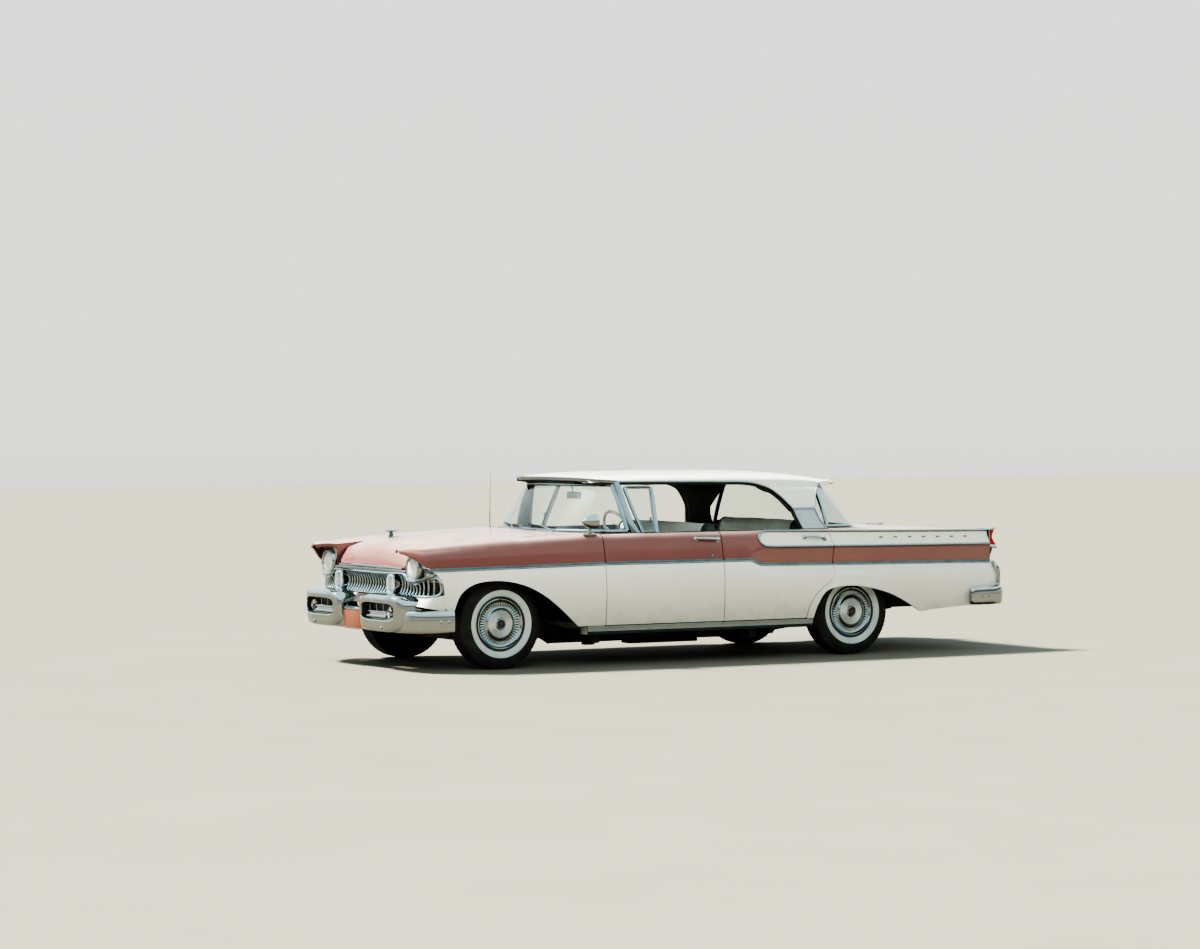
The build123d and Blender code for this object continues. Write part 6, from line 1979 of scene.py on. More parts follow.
bits.append(lathe([(-10, 0), (-9, 14), (-4, 25), (4, 32), (12, 34), (12, 0)], SC - AX * 46, tuple(AX), 40))
v, f, m = join(bits)
add("horn_ring", v, f, CHROME, "steering_wheel_rim", recalc=True, auto=50)
# turn signal and selector stalks, and the column collar
bits = [tube(cr([tuple(SC + AX * 70 + np.array([0, -20, 0])), tuple(SC + AX * 62 + np.array([0, -90, 16])), tuple(SC + AX * 50 + np.array([0, -150, 30]))], 6), 4, 8),
        tube(cr([tuple(SC + AX * 84 + np.array([0, 20, 0])), tuple(SC + AX * 70 + np.array([0, 120, 26])), tuple(SC + AX * 60 + np.array([0, 200, 60]))], 6), 4.5, 8)]
bits.append(lathe([(58, 0), (58, 40), (64, 44), (88, 44), (94, 38), (94, 0)], SC, tuple(AX), 36))
v, f, m = join(bits)
add("column_collar_and_stalks", v, f, SATIN, "body", recalc=True)

# dashboard: padded top roll, bright dial bezels with blank dials, knobs, a centre plate and bright bands
P = [(862 + 0 * y, y, 950 - 8 * (abs(y) / 780.0) ** 2) for y in np.linspace(-776, 776, 60)]
v, f = sweep(np.array(P), [(-30, -60), (-10, -64), (8, -58), (14, -30), (14, 60), (12, 116), (2, 128), (-26, 126), (-30, 60)], (0, 0, 1))
pad = add("dashboard_top_roll", v, f, DOOR_VINYL, "body", recalc=True)
bits, dials = [], []
hood_ = prism([(-560, 0), (-250, 0), (-262, 34), (-548, 34)], 0, 1, "xz", 0)
for (y, r) in ((-470, 52), (-340, 52), (-250, 30)):
    c = (1002, y, 868)
    bits.append(lathe([(-4, r), (-4, r + 10), (6, r + 12), (12, r + 7), (10, r), (2, r - 2)], c, (1, 0, -.25), 48, closed=True))
    dials.append(lathe([(1, 0), (1, r)], c, (1, 0, -.25), 48))
    dials.append(lathe([(3, 0), (5, 0), (5, 5), (3, 5)], c, (1, 0, -.25), 16, closed=False))
for y in (-150, -90, -30, 30, 90, 560, 640):
    bits.append(lathe([(-4, 0), (-4, 6), (12, 6), (12, 13), (22, 14), (26, 10), (27, 0)], (1006, y, 806), (1, 0, -.1), 20))
bits.append(rbox((1006, 0, 848), (10, 190, 44), 4))
for y0, y1 in ((-720, -580), (180, 700)):
    for z in (828, 846, 864):
        bits.append(rbox((1007, (y0 + y1) / 2, z), (6, abs(y1 - y0), 5), 2))
v, f, m = join(bits)
add("dashboard_bright_work", v, f, CHROME, "body", recalc=True)
v, f, m = join(dials)
add("dashboard_blank_dials", v, f, TRIM, "body", recalc=True)

# interior mirror, sun visors, pedals
bits = [rbox((1098, 0, 1248), (16, 210, 52), 7), tube(cr([(1092, 0, 1262), (1084, 0, 1300), (1078, 0, 1330)], 6), 6, 10)]
v, f, m = join(bits)
add("interior_mirror", v, f, CHROME, "body", recalc=True)
bits = []
for s in (-1, 1):
    bits.append(rbox((1170, s * 330, 1350), (150, 420, 14), 6, rot=rot_y(6)))
v, f, m = join(bits)
vis = add("sun_visors", v, f, HEADLINER, "body")
bits = []
for y, z, w_ in ((-520, 420, 74), (-330, 430, 60)):
    bits.append(rbox((930, y, z), (14, w_, 52), 5, rot=rot_y(35)))
    bits.append(tube(cr([(920, y, z + 10), (880, y, 520), (840, y, 640)], 6), 7, 10))
bits.append(rbox((930, -240, 380), (16, 56, 150), 5, rot=rot_y(40)))
v, f, m = join(bits)
add("pedals", v, f, SEAL, "body", recalc=True)

# ------------------------------------------------------------------ engine, as seen with the hood up
ENGINE_COVER = grit("valve_cover_enamel", (.30, .045, .035), (.20, .03, .025), (.40, .07, .05), rough=(.30, .5), scale=22, bmp=.2)
ALLOY = metal("cast_alloy", (.46, .46, .45), (.30, .30, .29), rough=(.35, .55), scale=20)
ENG = "body"
blk, met, cst, cov, blackb, brs = [], [], [], [], [], []
# block, oil pan, bell housing and gearbox
blk.append(rbox((40, 0, 470), (640, 236, 190), 16, 3))
blk.append(rbox((60, 0, 375), (560, 200, 62), 18, 3))
blk.append(rbox((-60, 0, 362), (250, 210, 36), 14, 3))
for k in (-1, 1):
    blk.append(rbox((40, k * 118, 560), (600, 150, 150), 12, 3, rot=rot_x(-k * 45)))
    for x in np.linspace(-220, 300, 9):
        blk.append(rbox((x, k * 132, 470), (16, 14, 120), 4))
blk.append(lathe([(0, 0), (0, 196), (14, 200), (30, 186), (120, 150), (150, 128), (158, 122), (158, 0)], (372, 0, 500 - 28), (1, 0, -.09), 40))
gear = [(0, 0), (0, 118), (12, 122), (24, 110), (200, 96), (230, 104), (246, 104), (262, 84), (420, 70), (520, 58), (560, 52), (566, 44), (566, 0)]
blk.append(lathe(gear, (526, 0, 404), (1, 0, -.20), 36))
v, f, m = join(blk)
ob = add("engine_block_and_gearbox", v, f, ENGINE_PAINT, ENG, recalc=True, auto=42)
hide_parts("engine_and_driveline")
shaft = lathe([(0, 0), (0, 30), (20, 34), (44, 34), (60, 26), (80, 37), (1700, 37), (1726, 26), (1742, 34), (1770, 34), (1790, 28), (1790, 0)], (1110, 0, 285), (1820, 0, 30), 28)
add("propeller_shaft", shaft[0], shaft[1], UNDER, ENG, recalc=True, auto=42)
# valve covers with their ribs and bolts, and the exhaust manifolds
for k, side in ((-1, "left"), (1, "right")):
    R = rot_x(-k * 45)
    nrm = R @ np.array([0, 0, 1.0])
    along = R @ np.array([0, 1.0, 0])
    c = np.array([40, k * 118, 560]) + nrm * 84
    bits = [rbox(c, (590, 138, 16), 5, 2, rot=R), rbox(c + nrm * 26, (566, 112, 54), 20, 4, rot=R)]
    for t in np.linspace(-32, 32, 5):
        bits.append(rbox(c + nrm * 53 + along * t, (470, 5, 5), 2, 2, rot=R))
    v, f, m = join(bits)
    add("valve_cover_" + side, v, f, ENGINE_COVER, ENG, recalc=True, auto=42)
    bits = []
    for x in np.linspace(-230, 310, 6):
        for t in (-62, 62):
            p = c + nrm * 8 + along * t
            bits.append(lathe([(0, 0), (0, 9), (5, 9), (6, 7), (10, 6), (11, 0)], (x, p[1], p[2]), nrm, 12))
    p = c + nrm * 50
    if k > 0:
        bits.append(lathe([(0, 0), (0, 20), (22, 20), (24, 30), (40, 31), (44, 26), (45, 0)], (-180, p[1], p[2]), nrm, 28))
    v, f, m = join(bits)
    add("valve_cover_bolts_" + side, v, f, ALLOY, ENG, recalc=True)
    bits = [tube(cr([(-205, k * 226, 560), (-120, k * 236, 556), (120, k * 238, 552), (300, k * 236, 540), (356, k * 238, 500), (372, k * 246, 440), (360, k * 252, 390)], 6), 26, 14)]
    for x in (-185, -40, 110, 265):
        bits.append(tube([(x, k * 176, 548), (x, k * 205, 556), (x, k * 232, 556)], 21, 12))
        bits.append(rbox((x, k * 180, 548), (66, 14, 58), 6, 2, rot=R))
    v, f, m = join(bits)
    add("exhaust_manifold_" + side, v, f, RUST_AND_SHADE, ENG, recalc=True)
# intake, carburettor and air cleaner
v, f, m = join([rbox((40, 0, 618), (430, 150, 46), 14, 3), rbox((40, 0, 648), (150, 120, 40), 10, 3)] + [tube(cr([(x, k * 20, 640), (x, k * 62, 632), (x, k * 96, 604)], 5), 20, 12) for x in (-110, -20, 100, 190) for k in (-1, 1)])
add("intake_manifold", v, f, CAST, ENG, recalc=True, auto=42)
v, f, m = join([rbox((40, 0, 682), (118, 104, 38), 8, 3), lathe([(0, 0), (0, 44), (26, 46), (40, 50), (40, 0)], (40, 0, 690), (0, 0, 1), 32), rbox((98, -40, 676), (30, 22, 26), 5)])
add("carburettor", v, f, ALLOY, ENG, recalc=True, auto=42)
pan = [(0, 0), (0, 60), (2, 150), (6, 176), (14, 184), (52, 184), (58, 180), (62, 168), (66, 150), (67, 60), (67, 0)]
v, f = lathe(pan, (40, 0, 724), (0, 0, 1), 72)
snout = rbox((-140, -96, 752), (120, 64, 40), 12, 3, rot=rot_z(34))
v, f, m = join([(v, f), snout])
add("air_cleaner", v, f, BLACK_PAINT, ENG, recalc=True, auto=42)
v, f = join([lathe([(0, 0), (0, 5), (9, 5), (10, 0)], (40, 0, 790), (0, 0, 1), 14), rbox((40, 0, 797), (34, 4, 9), 2)])[:2]
add("air_cleaner_wing_nut", v, f, ALLOY, ENG, recalc=True)
# front of the engine: timing cover, pulleys, belt, fan, water pump, generator
v, f, m = join([rbox((-294, 0, 480), (30, 230, 200), 14, 3), lathe([(0, 0), (0, 40), (-44, 34), (-50, 30), (-50, 0)], (-300, 0, 590), (1, 0, 0), 28)])
add("timing_cover", v, f, ALLOY, ENG, recalc=True, auto=42)


def pulley(c, r):
    return lathe([(0, 0), (0, r * .3), (3, r * .34), (4, r - 10), (0, r), (3, r + 1), (10, r - 11), (14, r - 11), (21, r + 1), (24, r), (20, r - 10), (21, r * .34), (24, r * .3), (24, 0)], (c[0] - 12, c[1], c[2]), (1, 0, 0), 40)


PUL = [((-352, 0, 430), 82), ((-352, 0, 590), 70), ((-352, -196, 640), 42)]
v, f, m = join([pulley(*p) for p in PUL])
add("engine_pulleys", v, f, UNDER, ENG, recalc=True, auto=42)
hull = []
for (cx_, cy_, cz_), r_ in PUL:
    hull += [(cy_ + (r_ - 7) * math.cos(t), cz_ + (r_ - 7) * math.sin(t)) for t in np.linspace(0, 2 * math.pi, 48, endpoint=False)]
hull = sorted(set((round(a_, 3), round(b_, 3)) for a_, b_ in hull))


def half(pts):
    h = []
    for p in pts:
        while len(h) > 1 and (h[-1][0] - h[-2][0]) * (p[1] - h[-2][1]) - (h[-1][1] - h[-2][1]) * (p[0] - h[-2][0]) <= 0:
            h.pop()
        h.append(p)
    return h[:-1]


loop = half(hull) + half(hull[::-1])
ln = np.array(loop + loop[:1])
d_ = np.r_[0, np.cumsum(np.hypot(*np.diff(ln, axis=0).T))]
ss = np.linspace(0, d_[-1], 121)[:-1]
P = np.array([(-352, np.interp(s, d_, ln[:, 0]), np.interp(s, d_, ln[:, 1])) for s in ss])
v, f = sweep(P, [(-5, -4), (5, -4), (5, 4), (-5, 4)], (-1, 0, 0), closed=True)
add("fan_belt", v, f, BLACK_RUBBER, ENG, recalc=True, auto=30)
bits = [lathe([(0, 0), (0, 34), (8, 38), (20, 38), (30, 30), (44, 26), (44, 0)], (-400, 0, 590), (1, 0, 0), 28)]
for k in range(4):
    a_ = math.radians(20 + 90 * k)
    G = []
    for r_ in np.linspace(26, 196, 9):
        w_ = np.interp(r_, [26, 60, 196], [20, 46, 62])
        row = []
        for t in np.linspace(-1, 1, 7):
            off = t * w_
            tw = math.radians(32 - 12 * (r_ - 26) / 170)
            row.append((-396 + off * math.sin(tw) * .8, r_ * math.cos(a_) - off * math.cos(tw) * math.sin(a_), 590 + r_ * math.sin(a_) + off * math.cos(tw) * math.cos(a_)))
        G.append(row)
    vv, ff, mm = shell(np.array(G), 2.2)
    bits.append((vv, ff))
v, f, m = join(bits)
add("cooling_fan", v, f, UNDER, ENG, recalc=True, auto=42)
v, f, m = join([lathe([(0, 0), (0, 50), (6, 56), (150, 56), (158, 50), (176, 44), (178, 0)], (-330, -196, 640), (1, 0, 0), 36), rbox((-230, -176, 590), (40, 30, 60), 6), rbox((-300, -150, 640), (12, 100, 18), 4)])
add("generator", v, f, UNDER, ENG, recalc=True, auto=42)
v, f, m = join([lathe([(0, 0), (0, 30), (46, 30), (50, 44), (74, 46), (84, 40), (92, 22), (92, 0)], (300, 40, 640), (0, 0, 1), 28)] + [lathe([(0, 0), (0, 6), (16, 6), (17, 0)], (300 + 30 * math.cos(t), 40 + 30 * math.sin(t), 716), (0, 0, 1), 10) for t in np.linspace(0, 2 * math.pi, 8, endpoint=False)])
add("distributor", v, f, TRIM, ENG, recalc=True, auto=42)
# radiator: core between two tanks, with side channels and cap
core = [rbox((-493, 0, 548), (64, 560, 330), 3)]
for y in np.linspace(-270, 270, 46):
    core.append(rbox((-493, y, 548), (74, 3.2, 322), 1, 1))
for z in np.linspace(394, 702, 15):
    core.append(rbox((-493, 0, z), (70, 556, 2.2), .8, 1))
v, f, m = join(core)
ob = add("radiator_core", v, f, BLACK_PAINT, ENG, recalc=True, auto=42)
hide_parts("radiator_and_support")
tank = [rbox((-493, 0, 746), (84, 540, 66), 22, 4), rbox((-493, 0, 372), (84, 540, 34), 10, 3)]
for k in (-1, 1):
    tank.append(rbox((-493, k * 292, 560), (96, 30, 400), 5, 2))
    tank.append(rbox((-493, k * 318, 560), (100, 6, 440), 2, 2))
tank.append(rbox((-493, 0, 714), (96, 604, 8), 2, 2))
# support panel across the front, under the bumper line
tank.append(rbox((-552, 0, 452), (12, 640, 190), 4, 2))
for k in (-1, 1):
    tank.append(rbox((-552, k * 625, 440), (12, 390, 210), 4, 2))
v, f, m = join(tank)
add("radiator_tanks_and_support", v, f, UNDER, ENG, recalc=True, auto=42)
v, f, m = join([lathe([(0, 0), (0, 24), (10, 26), (12, 34), (22, 34), (26, 28), (28, 0)], (-493, 60, 776), (0, 0, 1), 30), rbox((-493, 60, 806), (84, 14, 7), 3)])
add("radiator_cap", v, f, ALLOY, ENG, recalc=True, auto=42)
v, f, m = join([tube(cr([(-455, -40, 742), (-420, -40, 744), (-360, -30, 720), (-300, -20, 676), (-260, -10, 640)], 6), 24, 16), tube(cr([(-455, 120, 385), (-410, 120, 390), (-350, 90, 440), (-306, 60, 520)], 6), 24, 16)])
add("radiator_hoses", v, f, BLACK_RUBBER, ENG, recalc=True)
# battery on its tray on the right apron, heater box and blower on the firewall, brake cylinder
v, f, m = join([rbox((-300, 352, 684), (260, 150, 150), 8, 3)])
add("battery_case", v, f, TRIM, ENG, recalc=True, auto=42)
v, f, m = join([rbox((-300 + dx, 352, 764), (34, 34, 12), 6, 3) for dx in (-90, -54, -18, 18, 54, 90)] + [lathe([(0, 0), (0, 10), (18, 9), (19, 0)], (-300 + dx, 300, 758), (0, 0, 1), 14) for dx in (-108, 108)])
add("battery_caps", v, f, AMBER, ENG, recalc=True, auto=42)
v, f, m = join([rbox((-300, 352, 604), (280, 168, 8), 3), rbox((-300, 432, 640), (280, 10, 76), 3), rbox((-410, 396, 560), (20, 90, 84), 4, 2), rbox((-190, 396, 560), (20, 90, 84), 4, 2)])
add("battery_tray", v, f, UNDER, ENG, recalc=True, auto=42)
v, f, m = join([rbox((604, 290, 740), (76, 250, 210), 16, 3), rbox((610, -60, 780), (56, 110, 90), 10, 3), lathe([(0, 0), (0, 44), (-64, 44), (-70, 38), (-70, 0)], (606, 290, 740), (1, 0, 0), 32)])
add("heater_box_and_blower", v, f, BLACK_PAINT, ENG, recalc=True, auto=42)
v, f, m = join([lathe([(0, 0), (0, 42), (8, 46), (16, 42), (50, 36), (60, 24), (110, 22), (112, 0)], (640, -330, 640), (-1, 0, .1), 32), rbox((560, -330, 694), (90, 56, 44), 10, 3)])
add("brake_cylinder", v, f, CAST, ENG, recalc=True, auto=42)

# ------------------------------------------------------------------ tail lamps and their fins
for side, mir, sg in SIDES:
    n = 26
    lens = []
    for k in range(n + 1):
        y = 704 + (868 - 704) * k / n
        e = 2.2 * abs(math.sin(math.pi * k / 2.0)) + 7 * max(0, (abs(y - 786) - 66) / 16.0) ** 2
        lens.append([(4402, y, 828), (4402, y, 944), (4449 - e, y, 948), (4440 - e, y, 930), (4431 - e, y, 905), (4426 - e, y, 886), (4437 - e, y, 866), (4452 - e, y, 844), (4466 - e, y, 826), (4430, y, 824)])
    G = np.array(lens)
    V = G.reshape(-1, 3)
    m_ = G.shape[1]
    f = grid_faces(n + 1, m_, wc=True)
    f += [tuple(range(m_)), tuple(range(n * m_, n * m_ + m_))[::-1]]
    ob = add("tail_lamp_lens_" + side, V, f, RED_LENS, "body", mirror=mir, recalc=True, auto=20)
    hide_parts("tail_lights")
    # bright bowl behind the lens
    v, f = prism([(4396, 830), (4396, 942), (4404, 942), (4406, 886), (4404, 830)], 708, 864, "xz", 2)
    bowl_ = add("tail_lamp_bowl_" + side, v, f, CHROME, "body", mirror=mir, recalc=True)
    # fin above: a tapering bright cap; bullet below
    path = cr([(4380, 786, 946), (4410, 786, 951), (4440, 786, 955), (4462, 786, 958)], 8)
    v1 = sweep(path, [(-6, -84), (2, -86), (8, -70), (11, 0), (8, 70), (2, 86), (-6, 84), (-9, 0)], (0, 0, 1), scale=np.linspace(1.0, .90, len(path)))
    path = cr([(4372, 786, 818), (4410, 786, 816), (4450, 786, 812), (4476, 786, 808), (4492, 786, 807)], 8)
    v2 = sweep(path, [(-12, -84), (0, -90), (12, -84), (15, -40), (15, 40), (12, 84), (0, 90), (-12, 84), (-15, 40), (-15, -40)], (0, 0, 1), scale=np.interp(np.linspace(0, 1, len(path)), [0, .6, .9, 1], [1, 1, .72, .25]))
    edge_ = [(4394, 826), (4392, 850), (4392, 924), (4396, 946)]
    v3 = tube(np.array([(x, 872, z) for x, z in edge_]), 4.5, 8)
    v4 = tube(np.array([(x, 700, z) for x, z in edge_]), 4.5, 8)
    v, f, m = join([v1, v2, v3, v4])
    add("tail_lamp_surround_" + side, v, f, CHROME, "body", mirror=mir, recalc=True, auto=45)
    # black block under the lamp, where the band of colour ends: painted shade of the gap there
    v, f = prism([(4384, 716), (4384, 806), (4436, 804), (4424, 770), (4410, 740), (4412, 722)], 716, 858, "xz", 3)
    add("tail_trough_" + side, v, f, UNDER, "body", mirror=mir, recalc=True)
    # upright bright end piece above the bumper, with the reversing lamp in it
    path = cr([(4424, 862, 708), (4450, 868, 684), (4468, 872, 650), (4476, 874, 600), (4476, 874, 540), (4470, 874, 500)], 8)
    v5 = sweep(path, [(-30, -44), (-4, -52), (10, -44), (17, -10), (15, 24), (2, 44), (-30, 50)], (1, .55, 0), scale=np.interp(np.linspace(0, 1, len(path)), [0, .3, 1], [.5, .95, 1.05]))
    v, f, m = join([v5])
    add("rear_corner_guard_" + side, v, f, CHROME, "body", mirror=mir, recalc=True, auto=45)
    v, f = lathe([(-6, 0), (-6, 26), (2, 26), (8, 21), (11, 10), (12, 0)], (4486, 868, 600), (1, .3, 0), 36)
    add("reversing_lamp_" + side, v, f, LENS, "body", mirror=mir, recalc=True)

# ------------------------------------------------------------------ rear bumper
RB = cr([(4502, 0), (4503, 300), (4503, 640), (4500, 790), (4488, 880), (4456, 944), (4396, 972), (4300, 984), (4210, 988), (4134, 987)], 8)
full = np.vstack([RB[:0:-1] * [1, -1], RB])
N = bump_n(full)
if N[len(N) // 2, 0] < 0:
    N = -N
zc = np.interp(np.abs(full[:, 1]), [0, 600, 900, 990], [438, 438, 434, 430])
path = np.column_stack([full, zc])
s = np.r_[0, np.cumsum(np.linalg.norm(np.diff(full, axis=0), axis=1))]
e = np.minimum(s, s[-1] - s)
sc = np.interp(e, [0, 6, 16, 36, 70], [.62, .80, .91, .985, 1.0])
prof = [(-34, -64), (-10, -72), (2, -66), (8, -48), (10, -6), (9, 30), (4, 54), (-3, 66), (-12, 70), (-36, 70), (-36, 62), (-14, 60), (-6, 48), (-3, 0), (-6, -50), (-14, -62), (-34, -58)]
v, f = sweep(path, prof, N, scale=sc)
ob = add("rear_bumper_bar", v, f, CHROME, "body", recalc=True, auto=42)
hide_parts("rear_bumper")
for side, mir, sg in SIDES:
    # the exhaust leaves through an oval mouth low in each end of the bumper
    a = np.linspace(0, 2 * math.pi, 40, endpoint=False)
    ax = np.array([.80, .60, -.05])
    ax /= np.linalg.norm(ax)
    u = np.array([-.60, .80, 0])
    w_ = np.cross(ax, u)
    c = np.array([4428.0, 912.0, 376.0])

    def ring_(k, r):
        return c + ax * k + np.outer(np.cos(a) * 46 * r, u) + np.outer(np.sin(a) * 17 * r, w_)
    V = np.vstack([ring_(-60, .9), ring_(-20, 1.05), ring_(-6, 1.1), ring_(0, 1.04), ring_(0, .92), ring_(-10, .86), ring_(-60, .80)])
    f1 = grid_faces(7, 40, wc=True)
    V2 = np.vstack([ring_(-30, .86), ring_(-34, .4), ring_(-36, .02)])
    f2 = grid_faces(3, 40, wc=True)
    v, f, m = join([(V, f1, [0] * len(f1)), (V2, f2, [1] * len(f2))])
    add("exhaust_mouth_" + side, v, f, [CHROME, UNDER], "body", m, mirror=mir, recalc=True, auto=50)
    bits = []
    for x in (4236, 4300):
        k = int(np.argmin(abs(RB[:, 0] - x) + 1000 * (RB[:, 1] < 900)))
        nn = bump_n(RB)[k]
        nn = nn if nn[1] > 0 else -nn
        bits.append(lathe([(4, 0), (4, 10), (10, 10), (13, 7), (15, 0)], (RB[k, 0], RB[k, 1], 432), tuple(nn), 24))
    bits.append(lathe([(4, 0), (4, 12), (10, 12), (14, 9), (16, 0)], (4502, 420, 432), (1, 0, 0), 24))
    v, f, m = join(bits)
    add("rear_bumper_bolts_" + side, v, f, STAINLESS, "body", mirror=mir, recalc=True)
# plate, its lamp, the lid pull and lock: all plain
v, f = rbox((4462, 0, 574), (3, 300, 150), 1.2)
add("rear_plate_blank", v, f, AMBER, "body")
P = np.array([(4463, y, z) for y, z in sup(0, 574, 152, 77, 12)])
bits = [sweep(P, ring_prof(3, 8, 5), (1, 0, 0), closed=True), rbox((4458, 0, 662), (26, 120, 16), 5)]
v, f, m = join(bits)
add("rear_plate_rim", v, f, CHROME, "body", recalc=True)
bits = [sweep(cr([(4420, -120, 770), (4434, -90, 768), (4440, 0, 766), (4434, 90, 768), (4420, 120, 770)], 8), ring_prof(7, 12, 15), (1, 0, 0), scale=None),
        lathe([(-8, 0), (-8, 30), (2, 30), (7, 24), (9, 0)], (4411, 0, 800), (1, 0, .06), 36)]
v, f, m = join(bits)
add("trunk_lid_pull", v, f, CHROME, "trunk_lid_leaf", recalc=True, auto=50)
P = np.array([(4418 - 4 * (y / 600.0) ** 2, y, 730) for y in np.linspace(-596, 596, 50)])
v, f = sweep(P, STRIP, (1, 0, .1))
add("trunk_lid_moulding", v, f, STAINLESS, "trunk_lid_leaf", recalc=True, auto=50)

# belt mouldings on the door tops
for side, mir, sg in SIDES:
    for which, x0, x1 in (("front", 818, 1834), ("rear", 1846, 2566)):
        P, N = [], []
        for x in np.linspace(x0, x1, 40):
            r = row_at(x)
            P.append((x, r["w"] - r["s4"] - 22, r["zt"] - 1.0))
            N.append((0, .25, 1))
        v, f = sweep(np.array(P), [(-4, -9), (2, -10), (5, -5), (6, 0), (5, 6), (2, 11), (-4, 10)], np.array(N, float))
        add("%s_door_belt_moulding_%s" % (which, side), v, f, STAINLESS, BODY_OF[which, side], mirror=mir, recalc=True, auto=50)

# underbody: the front brake backing plates
for side, mir, sg in SIDES:
    v, f, m = join([lathe([(-60, 0), (-60, 150), (-52, 152), (-20, 150), (-10, 146), (-8, 0)], (0, 690 * 1.0, 335), (0, 1, 0), 48)])
    add("front_backing_plate_" + side, v, f, CAST, "steering_knuckle_" + side, mirror=mir, recalc=True)

# ------------------------------------------------------------------ fuel tank, trunk lining
tk = [rbox((3925, 0, 392), (620, 640, 84), 24, 4), rbox((3925, 0, 392), (652, 672, 5), 2, 2)]
for x in (3760, 4090):
    tk.append(rbox((x, 0, 346), (36, 560, 3), 1, 1))
for y in np.linspace(-240, 240, 7):
    tk.append(rbox((3925, y, 347), (520, 14, 6), 2, 2))
v, f, m = join(tk)
ob = add("fuel_tank_pressing", v, f, TANK_SHADE_DARKENED, "body", recalc=True, auto=42)
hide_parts("fuel_tank")
for side, mir, sg in SIDES:
    G = np.array([[(x, y, z) for x in np.linspace(3474, 4366, 20)] for y, z in ((797, 452), (806, 560), (822, 690), (826, 800), (820, 872))])
    v, f, m = shell(G, 4.0, flip=False)
    add("trunk_side_lining_" + side, v, f, TRIM, "body", mirror=mir, recalc=True)

# ------------------------------------------------------------------ camera, light, floor
cam_data = bpy.data.cameras.new("camera")
cam = bpy.data.objects.new("camera", cam_data)
bpy.context.scene.collection.objects.link(cam)
cam_data.sensor_fit = "HORIZONTAL"
cam_data.sensor_width = 36.0
cam_data.lens = 3619.2 / 1200.0 * 36.0
cam_data.clip_start, cam_data.clip_end = .5, 400
yaw, pitch, roll = math.radians(-30.0), math.radians(-1.013), math.radians(-.151)
cam.location = (-12.6379 - 1.831, -24.1923, 1.9)
fwd = Vector((-math.sin(yaw) * math.cos(pitch), math.cos(yaw) * math.cos(pitch), math.sin(pitch)))
q = fwd.to_track_quat("-Z", "Y")
cam.rotation_mode = "QUATERNION"
from mathutils import Quaternion
cam.rotation_quaternion = q @ Quaternion((0, 0, 1), roll)
bpy.context.scene.camera = cam


def stage_floor():
    me = bpy.data.meshes.new("studio_floor")
    me.from_pydata([(-60, -60, 0), (60, -60, 0), (60, 60, 0), (-60, 60, 0)], [], [(0, 1, 2, 3)])
    m, nt, p = new_mat("floor_plain")
    co = coords(nt)
    nt.links.new(ramp(nt, noise_tex(nt, co, .8, 4), [(.3, (.176, .170, .136)), (.7, (.189, .183, .147))]), p.inputs["Base Color"])
    p.inputs["Roughness"].default_value = .85
    p.inputs["Specular IOR Level"].default_value = .2
    me.materials.append(m)
    ob = bpy.data.objects.new("studio_floor", me)
    bpy.context.scene.collection.objects.link(ob)


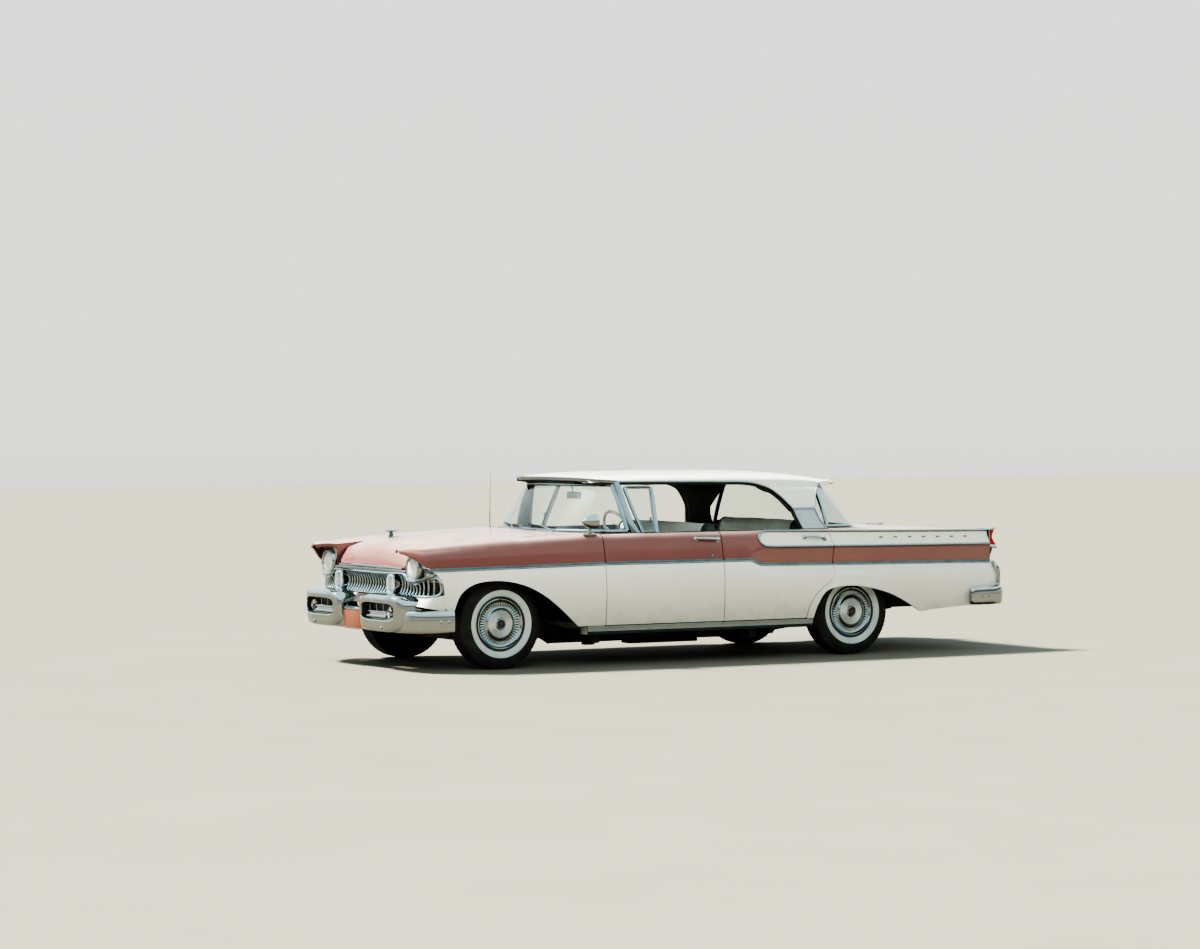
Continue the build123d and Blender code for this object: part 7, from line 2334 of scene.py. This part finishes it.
stage_floor()
world = bpy.data.worlds.new("studio")
bpy.context.scene.world = world
world.use_nodes = True
wn = world.node_tree
wn.nodes.clear()
tc = node(wn, "ShaderNodeTexCoord")
sp = node(wn, "ShaderNodeSeparateXYZ", ins={"Vector": tc.outputs["Generated"]})
sky = ramp(wn, vrange(wn, sp.outputs["Z"], -1, 1, 0, 1), [(0, (.30, .28, .25)), (.45, (.50, .50, .47)), (.562, (.74, .77, .74)), (.580, (.20, .20, .19)), (.612, (.22, .22, .21)), (.640, (.84, .90, .88)), (.78, (.60, .74, .77)), (1, (.46, .60, .65))])
far = ramp(wn, vrange(wn, sp.outputs["Z"], -1, 1, 0, 1), [(0, (.30, .28, .25)), (.45, (.50, .50, .47)), (.50, (.88, .90, .86)), (.60, (.86, .90, .87)), (.78, (.60, .74, .77)), (1, (.46, .60, .65))])
side_of = vrange(wn, sp.outputs["Y"], -.15, .25, 0, 1)
dp = node(wn, "ShaderNodeVectorMath", operation="DOT_PRODUCT", ins={"Vector": tc.outputs["Generated"]})
dp.inputs[1].default_value = (-.3954, .4673, .7908)
glow = math_node(wn, "POWER", vrange(wn, dp.outputs["Value"], .93, 1, 0, 1), 2.2)
bg = node(wn, "ShaderNodeBackground", ins={"Color": mixc(wn, side_of, sky, far), "Strength": math_node(wn, "ADD", math_node(wn, "MULTIPLY", glow, 4.5), .85)})
wo = node(wn, "ShaderNodeOutputWorld", ins={"Surface": bg.outputs[0]})


def light(name, loc, target, size, power, col):
    d = bpy.data.lights.new(name, "AREA")
    d.shape = "RECTANGLE"
    d.size, d.size_y = size
    d.energy = power
    d.color = col
    o = bpy.data.objects.new(name, d)
    o.location = loc
    o.rotation_mode = "QUATERNION"
    o.rotation_quaternion = (Vector(target) - Vector(loc)).to_track_quat("-Z", "Y")
    bpy.context.scene.collection.objects.link(o)
    o.visible_glossy = False
    return o


sd = bpy.data.lights.new("key_sun", "SUN")
sd.energy = 13.0
sd.angle = math.radians(9)
sd.color = (1.0, .96, .88)
so = bpy.data.objects.new("key_sun", sd)
so.rotation_mode = "QUATERNION"
so.rotation_quaternion = (Vector((0, 0, 0)) - Vector((-5.5, 6.5, 11.0))).to_track_quat("-Z", "Y")
so.location = (-5.5, 6.5, 11.0)
bpy.context.scene.collection.objects.link(so)
so.visible_glossy = False
light("fill_front", (-12, -20, 12.0), (0, 0, .5), (12, 8), 1450, (.95, .98, .98))
bpy.context.scene.view_settings.view_transform = "AgX"
bpy.context.scene.view_settings.look = "AgX - High Contrast"
bpy.context.scene.view_settings.exposure = .42
